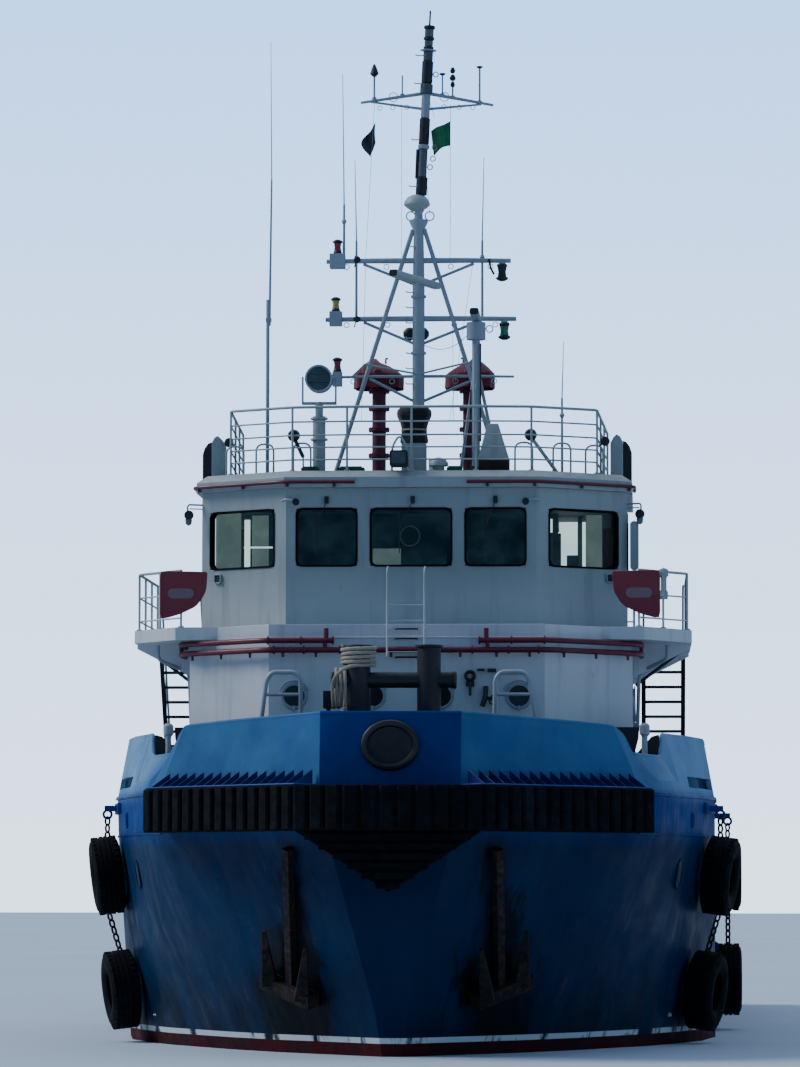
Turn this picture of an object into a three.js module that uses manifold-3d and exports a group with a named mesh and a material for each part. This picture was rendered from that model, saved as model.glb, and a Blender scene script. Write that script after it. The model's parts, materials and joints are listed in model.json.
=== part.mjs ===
// Anchor-handling tug, about 36 m long, in millimetres, +Z up.
// The bow points along -Y and port is +X. The origin is on the centreline at the waterline, amidships.
import * as THREE from 'three';
import { mergeVertices } from 'three/addons/utils/BufferGeometryUtils.js';
import Module from 'manifold-3d';

const wasm = await Module();
wasm.setup();

// Driving dimensions: levels above the waterline
const KEEL = -3300;
const BILGE = -2400;
const MAIN_DECK = 1700;
const FORE_DECK = 4150;
const BRIDGE_DECK = 7000;
const ROOF_UNDERSIDE = 9400;
const ROOF = 9700;
const MAST_TOP = 18100;

// Driving dimensions: places along and across the hull
const HALF_BEAM = 5190;
const STERN = 17600;
const BREAK = 800;
const BULWARK_TOP = 5150;
const CARGO_RAIL_TOP = 2950;
const HOUSE_HALF = 3750;
const HOUSE_FRONT = -11800;
const HOUSE_BACK = -900;
const BRIDGE_BACK = 300;
const WING_HALF = 4760;
const WHEELHOUSE_FRONT = -10300;
const WHEELHOUSE_BACK = -5000;
const WALL = 90;

// Gaps: a seat is a face that rests on its neighbour, a clearance is kept by what moves
const SEAT = 0.3;
const CLEARANCE = 20;

const PORT = 1;
const STARBOARD = -1;
const SIDES = [['port', PORT], ['starboard', STARBOARD]];

// Paints and finishes
const paint = (color, roughness, metalness = 0) =>
  new THREE.MeshStandardMaterial({ color, roughness, metalness });
const HULL_BLUE = paint(0x11509c, 0.5);
const HOUSE_WHITE = paint(0xd9dde0, 0.5);
const MAST_GREY = paint(0xc6cdd2, 0.5);
const DECK_GREEN = paint(0x2f6b4d, 0.8);
const PIPE_RED = paint(0x7a1420, 0.5);
const FENDER_BLACK = paint(0x15171a, 0.9);
const FITTING_BLACK = paint(0x1c2024, 0.6);
const WINCH_BLUE = paint(0x1d5fa8, 0.5);
const STEEL = paint(0x6d6a66, 0.5, 0.6);
const BRONZE = paint(0xa9793c, 0.35, 0.9);
const TIMBER = paint(0x7b5c3c, 0.9);
const GLASS = paint(0x1f3438, 0.1);
const ORANGE = paint(0xd9581c, 0.5);
const CONSOLE_GREY = paint(0x5a6066, 0.6);
const ANCHOR_BLACK = paint(0x2a2421, 0.8, 0.3);

// Makes a solid out of a closed three.js geometry
function solid(geometry) {
  const bare = new THREE.BufferGeometry();
  bare.setAttribute('position', geometry.attributes.position.clone());
  if (geometry.index) bare.setIndex(geometry.index.clone());
  const merged = mergeVertices(bare, 1e-3);
  const faces = [];
  for (let i = 0; i < merged.index.count; i += 3) {
    const [a, b, c] = [0, 1, 2].map((k) => merged.index.getX(i + k));
    if (a !== b && b !== c && c !== a) faces.push([a, b, c]);
  }
  const positions = merged.attributes.position;
  const corner = (i) => new THREE.Vector3().fromBufferAttribute(positions, i);
  const volume = faces.reduce(
    (sum, [a, b, c]) => sum + corner(a).dot(corner(b).cross(corner(c))), 0);
  const outward = volume < 0 ? faces.map(([a, b, c]) => [a, c, b]) : faces;
  return new wasm.Manifold(new wasm.Mesh({
    numProp: 3,
    vertProperties: new Float32Array(positions.array),
    triVerts: new Uint32Array(outward.flat()),
  }));
}

const join = (solids) => solids.reduce((whole, piece) => whole.add(piece));
const cut = (whole, tools) => tools.reduce((left, tool) => left.subtract(tool), whole);

// A box between two opposite corners, given in any order
function box(x0, x1, y0, y1, z0, z1) {
  const shape = new THREE.BoxGeometry(Math.abs(x1 - x0), Math.abs(y1 - y0), Math.abs(z1 - z0));
  shape.translate((x0 + x1) / 2, (y0 + y1) / 2, (z0 + z1) / 2);
  return solid(shape);
}

// Skins closed rings of points, one after the other, and closes both ends
function loft(rings) {
  const count = rings[0].length;
  const points = rings.flat();
  const faces = [];
  for (let r = 0; r + 1 < rings.length; r += 1) {
    for (let i = 0; i < count; i += 1) {
      const a = r * count + i;
      const b = r * count + (i + 1) % count;
      faces.push(a, b, b + count, a, b + count, a + count);
    }
  }
  const last = (rings.length - 1) * count;
  for (const [p, q, s] of capFaces(rings[0])) faces.push(p, s, q);
  for (const [p, q, s] of capFaces(rings[rings.length - 1])) faces.push(last + p, last + q, last + s);
  const geometry = new THREE.BufferGeometry();
  geometry.setAttribute('position', new THREE.Float32BufferAttribute(points.flat(), 3));
  geometry.setIndex(faces);
  return solid(geometry);
}

// Triangles of a flat ring in the ring's own order
function capFaces(ring) {
  const points = ring.map((p) => new THREE.Vector3(...p));
  const normal = new THREE.Vector3();
  for (let i = 0; i < points.length; i += 1) {
    normal.add(points[i].clone().cross(points[(i + 1) % points.length]));
  }
  normal.normalize();
  const across = new THREE.Vector3(1, 0, 0);
  if (Math.abs(normal.x) > 0.9) across.set(0, 1, 0);
  across.addScaledVector(normal, -across.dot(normal)).normalize();
  const up = normal.clone().cross(across);
  const flat = points.map((p) => new THREE.Vector2(p.dot(across), p.dot(up)));
  return THREE.ShapeUtils.triangulateShape(flat, []);
}

// Prisms of an outline: a plan raised from z0 to z1, a side view across X, a front view along Y
const planPrism = (outline, z0, z1) => loft([z0, z1].map((z) => outline.map(([x, y]) => [x, y, z])));
const sidePrism = (outline, x0, x1) => loft([x0, x1].map((x) => outline.map(([y, z]) => [x, y, z])));
const frontPrism = (outline, y0, y1) => loft([y0, y1].map((y) => outline.map(([x, z]) => [x, y, z])));

// A whole outline out of its port half, listed from the bow aft
const bothSides = (half) => [...half, ...half.map(([x, ...rest]) => [-x, ...rest]).reverse()];

// A pipe of even section through a list of points
function pipe(route, radius, sides = 6) {
  const points = route.map((p) => new THREE.Vector3(...p));
  const heading = points.map((p, i) => {
    const before = i > 0 ? p.clone().sub(points[i - 1]).normalize() : new THREE.Vector3();
    const after = i + 1 < points.length ? points[i + 1].clone().sub(p).normalize() : new THREE.Vector3();
    return before.add(after).normalize();
  });
  let normal = new THREE.Vector3(0, 0, 1);
  if (Math.abs(heading[0].z) > 0.9) normal.set(0, 1, 0);
  const rings = points.map((p, i) => {
    normal = normal.clone().addScaledVector(heading[i], -normal.dot(heading[i])).normalize();
    const side = heading[i].clone().cross(normal);
    return Array.from({ length: sides }, (_, k) => {
      const angle = ((k + 0.5) * 2 * Math.PI) / sides;
      return p.clone()
        .addScaledVector(normal, radius * Math.cos(angle))
        .addScaledVector(side, radius * Math.sin(angle))
        .toArray();
    });
  });
  return loft(rings);
}

const rod = (from, to, radius, sides = 8) => pipe([from, to], radius, sides);

// A turned piece: profile rows are [radius, height], starting and ending on the axis
function turned(profile, sides, axis, [x, y, z]) {
  const shape = new THREE.LatheGeometry(profile.map(([r, h]) => new THREE.Vector2(r, h)), sides);
  if (axis === 'x') shape.rotateZ(-Math.PI / 2);
  if (axis === 'z') shape.rotateX(Math.PI / 2);
  shape.translate(x, y, z);
  return solid(shape);
}

// A straight round bar along an axis, centred at a place
function bar(axis, centre, radius, length, sides = 12) {
  const half = length / 2;
  return turned([[0, -half], [radius, -half], [radius, half], [0, half]], sides, axis, centre);
}

// Hull: half outlines of six levels, each from the stem aft to the transom
const HULL_LEVELS = [
  // z, half outline as [x, y]
  [KEEL, [[150, -14000], [900, -12000], [1500, -10800], [2500, -8600], [3040, -7300], [3500, -6000],
    [4000, -3500], [4000, 11500], [3600, STERN]]],
  [BILGE, [[150, -15300], [1350, -13300], [2100, -12000], [3250, -9600], [3890, -8200], [4400, -6800],
    [4900, -4500], [4900, 12500], [4300, STERN]]],
  [0, [[150, -16400], [1850, -14500], [2750, -13200], [3950, -11000], [4490, -9600], [4920, -8200],
    [HALF_BEAM, -6000], [HALF_BEAM, 13000], [4700, STERN]]],
  [700, [[260, -16470], [2070, -14570], [2960, -13270], [4090, -11140], [4590, -9700], [4990, -8270],
    [HALF_BEAM, -6000], [HALF_BEAM, 13500], [4800, STERN]]],
  [3500, [[1000, -16950], [2950, -14903], [3850, -14050], [4570, -11600], [4900, -10150], [5130, -8700],
    [HALF_BEAM, -6500], [HALF_BEAM, 13500], [4800, STERN]]],
  [FORE_DECK, [[1100, -17000], [3000, -15050], [3900, -14000], [4600, -11600], [4930, -10150],
    [5150, -8700], [HALF_BEAM, -6500], [HALF_BEAM, 13500], [4800, STERN]]],
];

const SHAFT_X = 2350;
const SHAFT_Z = -2150;
const COUNTER_Z = -1000;
const HUB_FRONT = 13600;
const ROLLER = { x: 1700, y: 17450, z: 1350, radius: 430 };
const HATCH = { x: -2300, y: 5900, half: 450, coaming: 350 };

function hull() {
  const shell = loft(HULL_LEVELS.map(([z, half]) => bothSides(half).map(([x, y]) => [x, y, z])));
  const runUp = [[8500, KEEL - 100], [13200, COUNTER_Z], [STERN + 400, COUNTER_Z], [STERN + 400, KEEL - 100]];
  const skeg = [[8400, KEEL], [13200, KEEL], [14700, COUNTER_Z + 50], [12900, COUNTER_Z + 50]];
  const body = cut(shell, [
    box(-6000, 6000, BREAK, STERN + 400, MAIN_DECK, FORE_DECK + 100),
    sidePrism(runUp, -6000, 6000),
    box(-ROLLER.x - 50, ROLLER.x + 50, ROLLER.y - 500, STERN + 400, ROLLER.z - 500, MAIN_DECK + 100),
  ]);
  const cheeks = SIDES.map(([, side]) => sidePrism(
    [[16900, MAIN_DECK - 200], [STERN, MAIN_DECK - 900], [17900, 1100], [17900, 1750], [17500, 1950],
      [16900, MAIN_DECK + 60]],
    side * (ROLLER.x + 50), side * (ROLLER.x + 250)));
  const strakes = SIDES.map(([, side]) => frontPrism(
    [[side * (HALF_BEAM - 60), 1500], [side * (HALF_BEAM + 70), 1540], [side * (HALF_BEAM + 70), 1650],
      [side * (HALF_BEAM - 60), 1690]], -6000, 13400));
  const sterns = SIDES.flatMap(([, side]) => [
    bar('y', [side * SHAFT_X, (10000 + HUB_FRONT - SEAT) / 2, SHAFT_Z], 170, HUB_FRONT - SEAT - 10000, 10),
    box(side * SHAFT_X - 45, side * SHAFT_X + 45, 13210, 13550, SHAFT_Z, COUNTER_Z + 60),
  ]);
  const coaming = box(HATCH.x - HATCH.half, HATCH.x + HATCH.half, HATCH.y - HATCH.half,
    HATCH.y + HATCH.half, MAIN_DECK - 50, MAIN_DECK + HATCH.coaming);
  return join([body, sidePrism(skeg, -130, 130), ...cheeks, ...strakes, ...sterns, coaming]);
}

// Forward bulwark: it leans inwards, with a roller notch on each bow and a hawse in the middle
const FORE_BULWARK = [
  // bottom x, bottom y, top x, top y, top z, of the port half from the centreline aft
  [0, -17000, 0, -16850, 5330],
  [1100, -17000, 1100, -16800, 5330],
  [3000, -15050, 2700, -15170, 5250],
  [3900, -14000, 3450, -14400, 5200],
  [4031, -13550, 3620, -13640, 5070],
  [4165, -13090, 3760, -13060, 4790],
  [4225, -12890, 4150, -12890, 4380],
  [4560, -11740, 4500, -11740, 4380],
  [4600, -11600, 4290, -11600, BULWARK_TOP],
  [4930, -10150, 4700, -10150, BULWARK_TOP],
  [5150, -8700, 4960, -8700, BULWARK_TOP],
  [HALF_BEAM, -6500, 5010, -6500, BULWARK_TOP],
  [HALF_BEAM, BREAK, 5010, BREAK, BULWARK_TOP],
];
const PLATE = 80;
const HAWSE = { z: 4830, halfWidth: 390, halfHeight: 330 };

// A wall of plate that stands on the deck edge along a route of bottom and top points
function plateWall(rows, base) {
  const inward = rows.map((_, i) => {
    const [before, after] = [rows[Math.max(i - 1, 0)], rows[Math.min(i + 1, rows.length - 1)]];
    const along = new THREE.Vector2(after[0] - before[0], after[1] - before[1]).normalize();
    return [along.y, -along.x];
  });
  const sections = rows.map(([bx, by, tx, ty, tz], i) => {
    const [nx, ny] = inward[i];
    const side = Math.sign(nx * bx + ny * (by + 8000)) > 0 ? -1 : 1;
    const [dx, dy] = [nx * PLATE * side, ny * PLATE * side];
    return [[bx, by, base], [tx, ty, tz], [tx + dx, ty + dy, tz], [bx + dx, by + dy, base]];
  });
  return loft(sections);
}

function foreBulwark() {
  const starboard = FORE_BULWARK.slice(1).map(([bx, by, tx, ...rest]) => [-bx, by, -tx, ...rest]).reverse();
  const wall = plateWall([...starboard, ...FORE_BULWARK], FORE_DECK);
  const hawse = new THREE.CylinderGeometry(1, 1, 600, 14);
  hawse.scale(HAWSE.halfWidth, 1, HAWSE.halfHeight);
  hawse.translate(0, -16900, HAWSE.z);
  const slots = SIDES.map(([, side]) => {
    const slot = new THREE.BoxGeometry(500, 2300, 180);
    slot.rotateZ(side * -0.19);
    slot.translate(side * 4870, -9900, 4390);
    return solid(slot);
  });
  return cut(wall, [solid(hawse), ...slots]);
}

// Aft bulwark: a sloped end at the break, a heavy cargo rail and triangular stays
const AFT_BULWARK_STAYS = { first: 3400, last: 16600, pitch: 1650, depth: 330, thick: 60 };

function aftBulwark(side) {
  const [from, to] = [BREAK + SEAT, STERN - 250];
  const wall = plateWall([
    [side * HALF_BEAM, from, side * 5010, from, BULWARK_TOP],
    [side * HALF_BEAM, 2700, side * 5170, 2700, CARGO_RAIL_TOP],
    [side * HALF_BEAM, 13500, side * HALF_BEAM, 13500, CARGO_RAIL_TOP],
    [side * 4810, to, side * 4810, to, CARGO_RAIL_TOP],
  ], MAIN_DECK);
  const rail = pipe([[side * 5120, 2700, CARGO_RAIL_TOP], [side * 5140, 13480, CARGO_RAIL_TOP],
    [side * 4770, to - 5, CARGO_RAIL_TOP]], 110, 8);
  const { first, last, pitch, depth, thick } = AFT_BULWARK_STAYS;
  const stays = [];
  for (let y = first; y <= last; y += pitch) {
    const outer = y > 13500 ? HALF_BEAM - (y - 13500) * 0.0987 : HALF_BEAM;
    stays.push(frontPrism([[side * (outer - 40), MAIN_DECK], [side * (outer - 60), CARGO_RAIL_TOP],
      [side * (outer - depth), MAIN_DECK]], y, y + thick));
  }
  return join([wall, rail, ...stays]);
}

// Places at an even pitch along a route of [x, y], each with its heading
function along(route, pitch) {
  const places = [];
  for (let i = 0; i + 1 < route.length; i += 1) {
    const [[x0, y0], [x1, y1]] = [route[i], route[i + 1]];
    const length = Math.hypot(x1 - x0, y1 - y0);
    const count = Math.round(length / pitch);
    for (let k = 0; k < count; k += 1) {
      const t = (k + 0.5) / count;
      places.push([x0 + (x1 - x0) * t, y0 + (y1 - y0) * t, Math.atan2(y1 - y0, x1 - x0)]);
    }
  }
  return places;
}

// Bow fender: ribbed blocks round the stem, a V-shaped toe under the middle and gussets on top
const FENDER = { low: 3490, high: FORE_DECK + 60, ribPitch: 300, ribHalf: 100, ribDepth: 55 };
const GUSSET = { pitch: 225, half: 11, foot: 6, reach: 420, height: 260, lip: 30 };

function bowFender() {
  const { low, high, ribPitch, ribHalf, ribDepth } = FENDER;
  const inner = [[1100, -17000 - SEAT], [3000 + SEAT, -15050 - SEAT], [3760 + SEAT, -14163 - SEAT]];
  const outer = [[4095, -14440], [3380, -15390], [1450, -17720], [700, -18000]];
  const block = planPrism(bothSides([...inner, ...outer].reverse()), low, high);
  const toe = frontPrism([[-1450, 3500], [0, 2560], [1450, 3500]], -17700, -16960);
  const ribs = along(bothSides(outer), ribPitch).map(([x, y, turn]) => {
    const ring = [[-ribHalf, 40], [-ribHalf, -30], [-ribHalf * 0.7, -ribDepth], [ribHalf * 0.7, -ribDepth],
      [ribHalf, -30], [ribHalf, 40]].map(([a, b]) => [a, -b]);
    return planPrism(ring.map(([a, b]) => [x + a * Math.cos(turn) - b * Math.sin(turn),
      y + a * Math.sin(turn) + b * Math.cos(turn)]), low + 20, high - 20);
  });
  const { pitch, half, foot, reach, height, lip } = GUSSET;
  const gussets = along(inner, pitch).flatMap(([x, y, turn]) => SIDES.map(([, side]) => {
    const at = (out, across, z) => [side * (x + out * Math.sin(turn) + across * Math.cos(turn)),
      y - out * Math.cos(turn) + across * Math.sin(turn), z];
    return loft([-half, half].map((across) => [at(foot, across, high - 20), at(reach, across, high - 20),
      at(reach, across, high + lip), at(foot, across, high + height)]));
  }));
  return join([block, toe, ...ribs, ...gussets]);
}

// Tyre fenders: pairs hung one over the other from a bar that follows the deck edge
const TYRE = { radius: 670, hole: 320, half: 250, gap: 62 };
const TYRE_COLUMNS = [
  // y, x of the hanger, then height, x of the hull side, turn and lean of the upper and the lower tyre
  [-9500, 5029, [2870, 4923, 0.18, 0.127], [930, 4675, 0.265, 0.127]],
  [-1500, HALF_BEAM, [2870, HALF_BEAM, 0, 0], [930, HALF_BEAM, 0, 0]],
];
const HANGER = { low: 3880, high: 4060, thick: 50 };
const LINK = { pitch: 120, wide: 48, wire: 20, lap: 14 };
const HANGER_ROUTE = [
  // y, x of the hull side
  [-10000, 4953], [-8700, 5150], [-6500, HALF_BEAM], [-1200, HALF_BEAM],
];

function tyre(side, y, [z, x, turn, lean]) {
  const { radius, hole, half, gap } = TYRE;
  const profile = [[hole, -half * 0.8], [radius - 110, -half], [radius, -half * 0.5], [radius, half * 0.5],
    [radius - 110, half], [hole, half * 0.8], [hole, -half * 0.8]];
  const shape = new THREE.LatheGeometry(profile.map(([r, h]) => new THREE.Vector2(r, h)), 20);
  shape.rotateZ(Math.PI / 2).translate(half + gap, 0, 0);
  shape.rotateY(lean).rotateZ(-turn).scale(side, 1, 1);
  return solid(shape.translate(side * x, y, z));
}

// Chain links between two heights, each turned a quarter from the last
function chain([x0, y, z0], [x1, , z1]) {
  const { pitch, wide, wire, lap } = LINK;
  const count = Math.round((z0 - z1) / pitch);
  return Array.from({ length: count }, (_, k) => {
    const [x, z] = [x0 + ((x1 - x0) * (k + 0.5)) / count, z0 + ((z1 - z0) * (k + 0.5)) / count];
    const [dx, dy] = k % 2 ? [wide, wire] : [wire, wide];
    const tall = (z0 - z1) / count / 2 + lap;
    return box(x - dx, x + dx, y - dy, y + dy, z - tall, z + tall);
  });
}

function tyreFenders(side) {
  const { low, high, thick } = HANGER;
  const reach = TYRE.half + TYRE.gap;
  const { radius } = TYRE;
  const hanger = loft(HANGER_ROUTE.map(([y, x]) => [[side * (x + SEAT), y, low],
    [side * (x + thick), y, low], [side * (x + thick), y, high], [side * (x + SEAT), y, high]]));
  const columns = TYRE_COLUMNS.flatMap(([y, hangerX, upper, lower]) => {
    const [upperX, lowerX] = [side * (upper[1] + reach), side * (lower[1] + reach)];
    return [
      tyre(side, y, upper),
      tyre(side, y, lower),
      box(side * (hangerX + 20), upperX + side * 40, y - 60, y + 60, high - 140, high - 40),
      ...chain([upperX, y, high - 70], [upperX, y, upper[0] + radius - 90]),
      ...chain([upperX, y, upper[0] - radius + 90], [lowerX, y, lower[0] + radius - 90]),
    ];
  });
  return join([hanger, ...columns]);
}

// Stowed anchors: each lies flat on the facet beside the stem, between two hull levels
const ANCHOR = { x: 1600, low: 1070, high: 3250 };

function anchor(side) {
  const [[lowZ, low], [highZ, high]] = [HULL_LEVELS[3], HULL_LEVELS[4]];
  const stem = new THREE.Vector3(side * low[0][0], low[0][1], lowZ);
  const cheek = new THREE.Vector3(side * low[1][0], low[1][1], lowZ).sub(stem);
  const rise = new THREE.Vector3(side * high[0][0], high[0][1], highZ).sub(stem);
  const out = cheek.cross(rise).multiplyScalar(side).normalize();
  const up = new THREE.Vector3(0, out.z, -out.y).normalize();
  const y = stem.y + (out.x * (side * ANCHOR.x - stem.x) + out.z * (ANCHOR.low - lowZ)) / -out.y;
  const across = out.clone().cross(up);
  const basis = new THREE.Matrix4().makeBasis(across, out, up);
  basis.setPosition(side * ANCHOR.x, y, ANCHOR.low);
  const place = (shape) => solid(shape.applyMatrix4(basis));
  const length = (ANCHOR.high - ANCHOR.low) / up.z;
  const shank = new THREE.BoxGeometry(150, 130, length);
  shank.translate(0, 65 + SEAT, length / 2);
  const crown = new THREE.BoxGeometry(1150, 240, 230);
  crown.translate(0, 120 + SEAT, -40);
  const flukes = [-1, 1].map((hand) => {
    const fluke = new THREE.CylinderGeometry(40, 170, 900, 4);
    fluke.rotateX(Math.PI / 2);
    fluke.rotateY(hand * 0.12);
    fluke.translate(hand * 430, 190, 420);
    return place(fluke);
  });
  return join([place(shank), place(crown), ...flukes]);
}

// Bow bitt: two posts with a crossbar, for the tow line
const BITT = { x: 555, y: -15900, radius: 188, top: 6440, barZ: 5885, barHalf: 990 };

function bowBitt() {
  const { x, y, radius, top, barZ, barHalf } = BITT;
  const posts = SIDES.flatMap(([, side]) => [
    bar('z', [side * x, y, (FORE_DECK + 20 + top) / 2], radius, top - FORE_DECK - 20, 14),
    bar('z', [side * x, y, top - 60], radius + 35, 120, 14),
    sidePrism([[y + 100, FORE_DECK + 30], [y + 100, 5500], [y + 900, FORE_DECK + 30]],
      side * x - 40, side * x + 40),
  ]);
  const plate = box(-900, 900, y - 350, y + 950, FORE_DECK, FORE_DECK + 40);
  return join([plate, ...posts, bar('x', [0, y, barZ], 125, 2 * barHalf, 12)]);
}

// Winches: a frame with two cheeks, and a drum that turns between them on stub shafts
const WINDLASS = {
  y: -13900, base: FORE_DECK, axis: 4950, half: 650, cheek: 110, drum: 260, flange: 520, depth: 520,
};
const TOW_WINCH = {
  y: 3700, base: MAIN_DECK, axis: 3050, half: 1250, cheek: 160, drum: 480, flange: 1050, depth: 1050,
};

function winchFrame({ y, base, axis, half, cheek, flange, depth }) {
  const outline = [[y - depth, base + 60], [y - flange * 0.35, axis + flange * 0.45],
    [y + flange * 0.35, axis + flange * 0.45], [y + depth, base + 60]];
  const cheeks = SIDES.map(([, side]) => sidePrism(outline, side * half, side * (half + cheek)));
  const gearbox = box(half + cheek - 5, half + cheek + flange * 0.7, y - flange * 0.6, y + flange * 0.6,
    base + 50, axis + flange * 0.35);
  const bed = box(-half - cheek - 200, half + cheek + flange * 0.8, y - depth, y + depth, base, base + 80);
  return join([bed, gearbox, ...cheeks]);
}

function winchDrum({ y, axis, half, drum, flange }) {
  const end = half - SEAT;
  const face = half - CLEARANCE;
  const profile = [[0, -end], [drum * 0.4, -end], [drum * 0.4, -face], [flange, -face],
    [flange, -face + flange * 0.08], [drum, -face + flange * 0.08], [drum, face - flange * 0.08],
    [flange, face - flange * 0.08], [flange, face], [drum * 0.4, face], [drum * 0.4, end], [0, end]];
  return turned(profile, 18, 'x', [0, y, axis]);
}

// Pipe hoops beside the windlass, one a side, on the windlass bed
function hoop(side) {
  const [y, foot, top] = [-14650, FORE_DECK + 40, 6070];
  const route = [[side * 2330, y, foot], [side * 2110, y, top - 120], [side * 2020, y, top],
    [side * 1650, y, top], [side * 1560, y, top - 120], [side * 1540, y, foot]];
  return [pipe(route, 38, 6), rod([side * 1548, y, 5710], [side * 2160, y, 5710], 30, 6)];
}

function windlassFrame() {
  const bed = box(-2450, 2450, -14720, -14380, FORE_DECK, FORE_DECK + 80);
  return join([winchFrame(WINDLASS), bed, ...hoop(PORT), ...hoop(STARBOARD)]);
}

// Deckhouse: hollow walls on the forecastle deck, with a faceted front and a door aft
const HOUSE_OUTLINE = [[2300, HOUSE_FRONT], [HOUSE_HALF, -10400], [HOUSE_HALF, HOUSE_BACK]];
const WHEELHOUSE_OUTLINE = [[2130, WHEELHOUSE_FRONT], [3660, -9200], [3660, WHEELHOUSE_BACK]];
const HOUSE_DOOR = { x: 1500, half: 400, bottom: 4450, top: 6250 };

// The same outline moved inwards by the wall thickness
const inset = (half, by) => half.map(([x, y], i) => {
  const last = i === half.length - 1;
  return [x - by * (i === 0 ? 0.45 : 1), y + (last ? -by : by * (i === 0 ? 1 : 0.45))];
});

const ring = (half, thick, z0, z1) =>
  cut(planPrism(bothSides(half), z0, z1), [planPrism(bothSides(inset(half, thick)), z0 - 50, z1 + 50)]);

function deckhouseWalls() {
  const { x, half, bottom, top } = HOUSE_DOOR;
  const door = box(x - half, x + half, HOUSE_BACK - 300, HOUSE_BACK + 100, bottom, top);
  return cut(ring(HOUSE_OUTLINE, WALL, FORE_DECK, BRIDGE_DECK - 220), [door]);
}

// Doors: a leaf that fills its opening but for a running gap; the hinge line is at its edge
const DOOR_GAP = 6;

function houseDoor() {
  const { x, half, bottom, top } = HOUSE_DOOR;
  const leaf = box(x - half + DOOR_GAP, x + half - DOOR_GAP, HOUSE_BACK - 55, HOUSE_BACK,
    bottom + DOOR_GAP, top - DOOR_GAP);
  const handle = box(x - half + 90, x - half + 240, HOUSE_BACK - 5, HOUSE_BACK + 60, 5300, 5340);
  const hinges = [4700, 6000].map((z) =>
    box(x + half - 40, x + half - SEAT, HOUSE_BACK - 45, HOUSE_BACK - 10, z - 60, z + 60));
  return join([leaf, handle, ...hinges]);
}

// Bridge deck: the roof of the deckhouse, with a wing on each side on tapered brackets
const WING_FRONT = -10900;
const WING_CORNER = -9750;
const WING_BACK = -6600;

function bridgeDeck() {
  const half = [[2300, HOUSE_FRONT], [3230, WING_FRONT], [3950, WING_FRONT], [WING_HALF, WING_CORNER],
    [WING_HALF, WING_BACK], [3850, WING_BACK], [3850, BRIDGE_BACK]];
  const slab = planPrism(bothSides(half), BRIDGE_DECK - 220, BRIDGE_DECK);
  const brackets = SIDES.flatMap(([, side]) => [-9500, -8100, WING_BACK - 60].map((y) =>
    frontPrism([[side * (HOUSE_HALF + SEAT), 6200], [side * (HOUSE_HALF + SEAT), 6800],
      [side * (WING_HALF - 20), 6800], [side * (WING_HALF - 20), 6700]], y, y + 40)));
  const pillars = SIDES.map(([, side]) =>
    bar('z', [side * 3600, 100, (FORE_DECK + 6800) / 2], 70, 6800 - FORE_DECK, 8));
  return join([slab, ...brackets, ...pillars]);
}

// Rails: uprights and bars along a route at one level
function railing(route, heights, base, posts) {
  const bars = heights.map((height, i) =>
    pipe(route.map(([x, y]) => [x, y, base + height]), i === heights.length - 1 ? 30 : 20, 4));
  const top = heights[heights.length - 1];
  const uprights = posts.map(([x, y]) => rod([x, y, base], [x, y, base + top], 34, 4));
  return [...bars, ...uprights];
}

// Places evenly along a straight stretch, both ends included
const between = ([x0, y0], [x1, y1], count) => Array.from({ length: count }, (_, i) => {
  const t = i / (count - 1);
  return [x0 + (x1 - x0) * t, y0 + (y1 - y0) * t];
});

const RAIL_BARS = [350, 700, 1050];
const WING_BARS = [160, 560, 960];

// Wing rail with its screen: a flat panel on the front of the rail, rounded at its lower inner corner
const WING_SCREEN = [[3430, 7920], [4200, 7940], [4200, 7150], [3900, 7230], [3600, 7370], [3450, 7600]];

function wingRail(side) {
  const [inner, outer] = [side * 3860, side * (WING_HALF - 80)];
  const [front, corner, back] = [WING_FRONT + 80, WING_CORNER + 20, WING_BACK - 60];
  const route = [[inner, front], [outer, corner], [outer, back]];
  const posts = [[inner, front], [side * 4280, -10274], ...between([outer, corner], [outer, back], 4)];
  const screen = frontPrism(WING_SCREEN.map(([x, z]) => [side * x, z]), front - 60, front - 20);
  return join([...railing(route, WING_BARS, BRIDGE_DECK, posts), screen]);
}

// Rail round the after part of the bridge deck
function bridgeRail() {
  const [x, front, back] = [3770, -4900, BRIDGE_BACK - 80];
  const half = [[x, front], [x, back]];
  const route = [...half.map(([px, py]) => [-px, py]), ...half.slice().reverse()];
  const posts = [...between([-x, front], [-x, back], 5), ...between([-x, back], [x, back], 6).slice(1, -1),
    ...between([x, back], [x, front], 5)];
  return join(railing(route, RAIL_BARS, BRIDGE_DECK, posts));
}

// Rail along the break of the forecastle, with the ladder down to the main deck
function breakRail() {
  const y = BREAK - 100;
  const rail = railing([[-4850, y], [4850, y]], RAIL_BARS, FORE_DECK, between([-4850, y], [4850, y], 8));
  const stringers = [2900, 3400].map((x) => pipe([[x, y, 5200], [x, BREAK + 150, 4700],
    [x, BREAK + 150, MAIN_DECK + SEAT]], 28, 6));
  const rungs = [];
  for (let z = MAIN_DECK + 280; z < FORE_DECK; z += 300) {
    rungs.push(rod([2900, BREAK + 150, z], [3400, BREAK + 150, z], 16, 6));
  }
  return join([...rail, ...stringers, ...rungs]);
}

// Wheelhouse: windows all round, cut through the wall
const WINDOW = { sill: 8070, head: 9050 };
const FRONT_WINDOWS = [
  // centre x, half width, on the middle facet
  [0, 690], [1435, 515], [-1435, 515],
];
const SIDE_WINDOWS = [
  // centre y, half length, on both sides
  [-8620, 380], [-6150, 700],
];
const SIDE_DOOR = { y: -7500, half: 400, bottom: BRIDGE_DECK + 250, top: 9150 };

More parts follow.
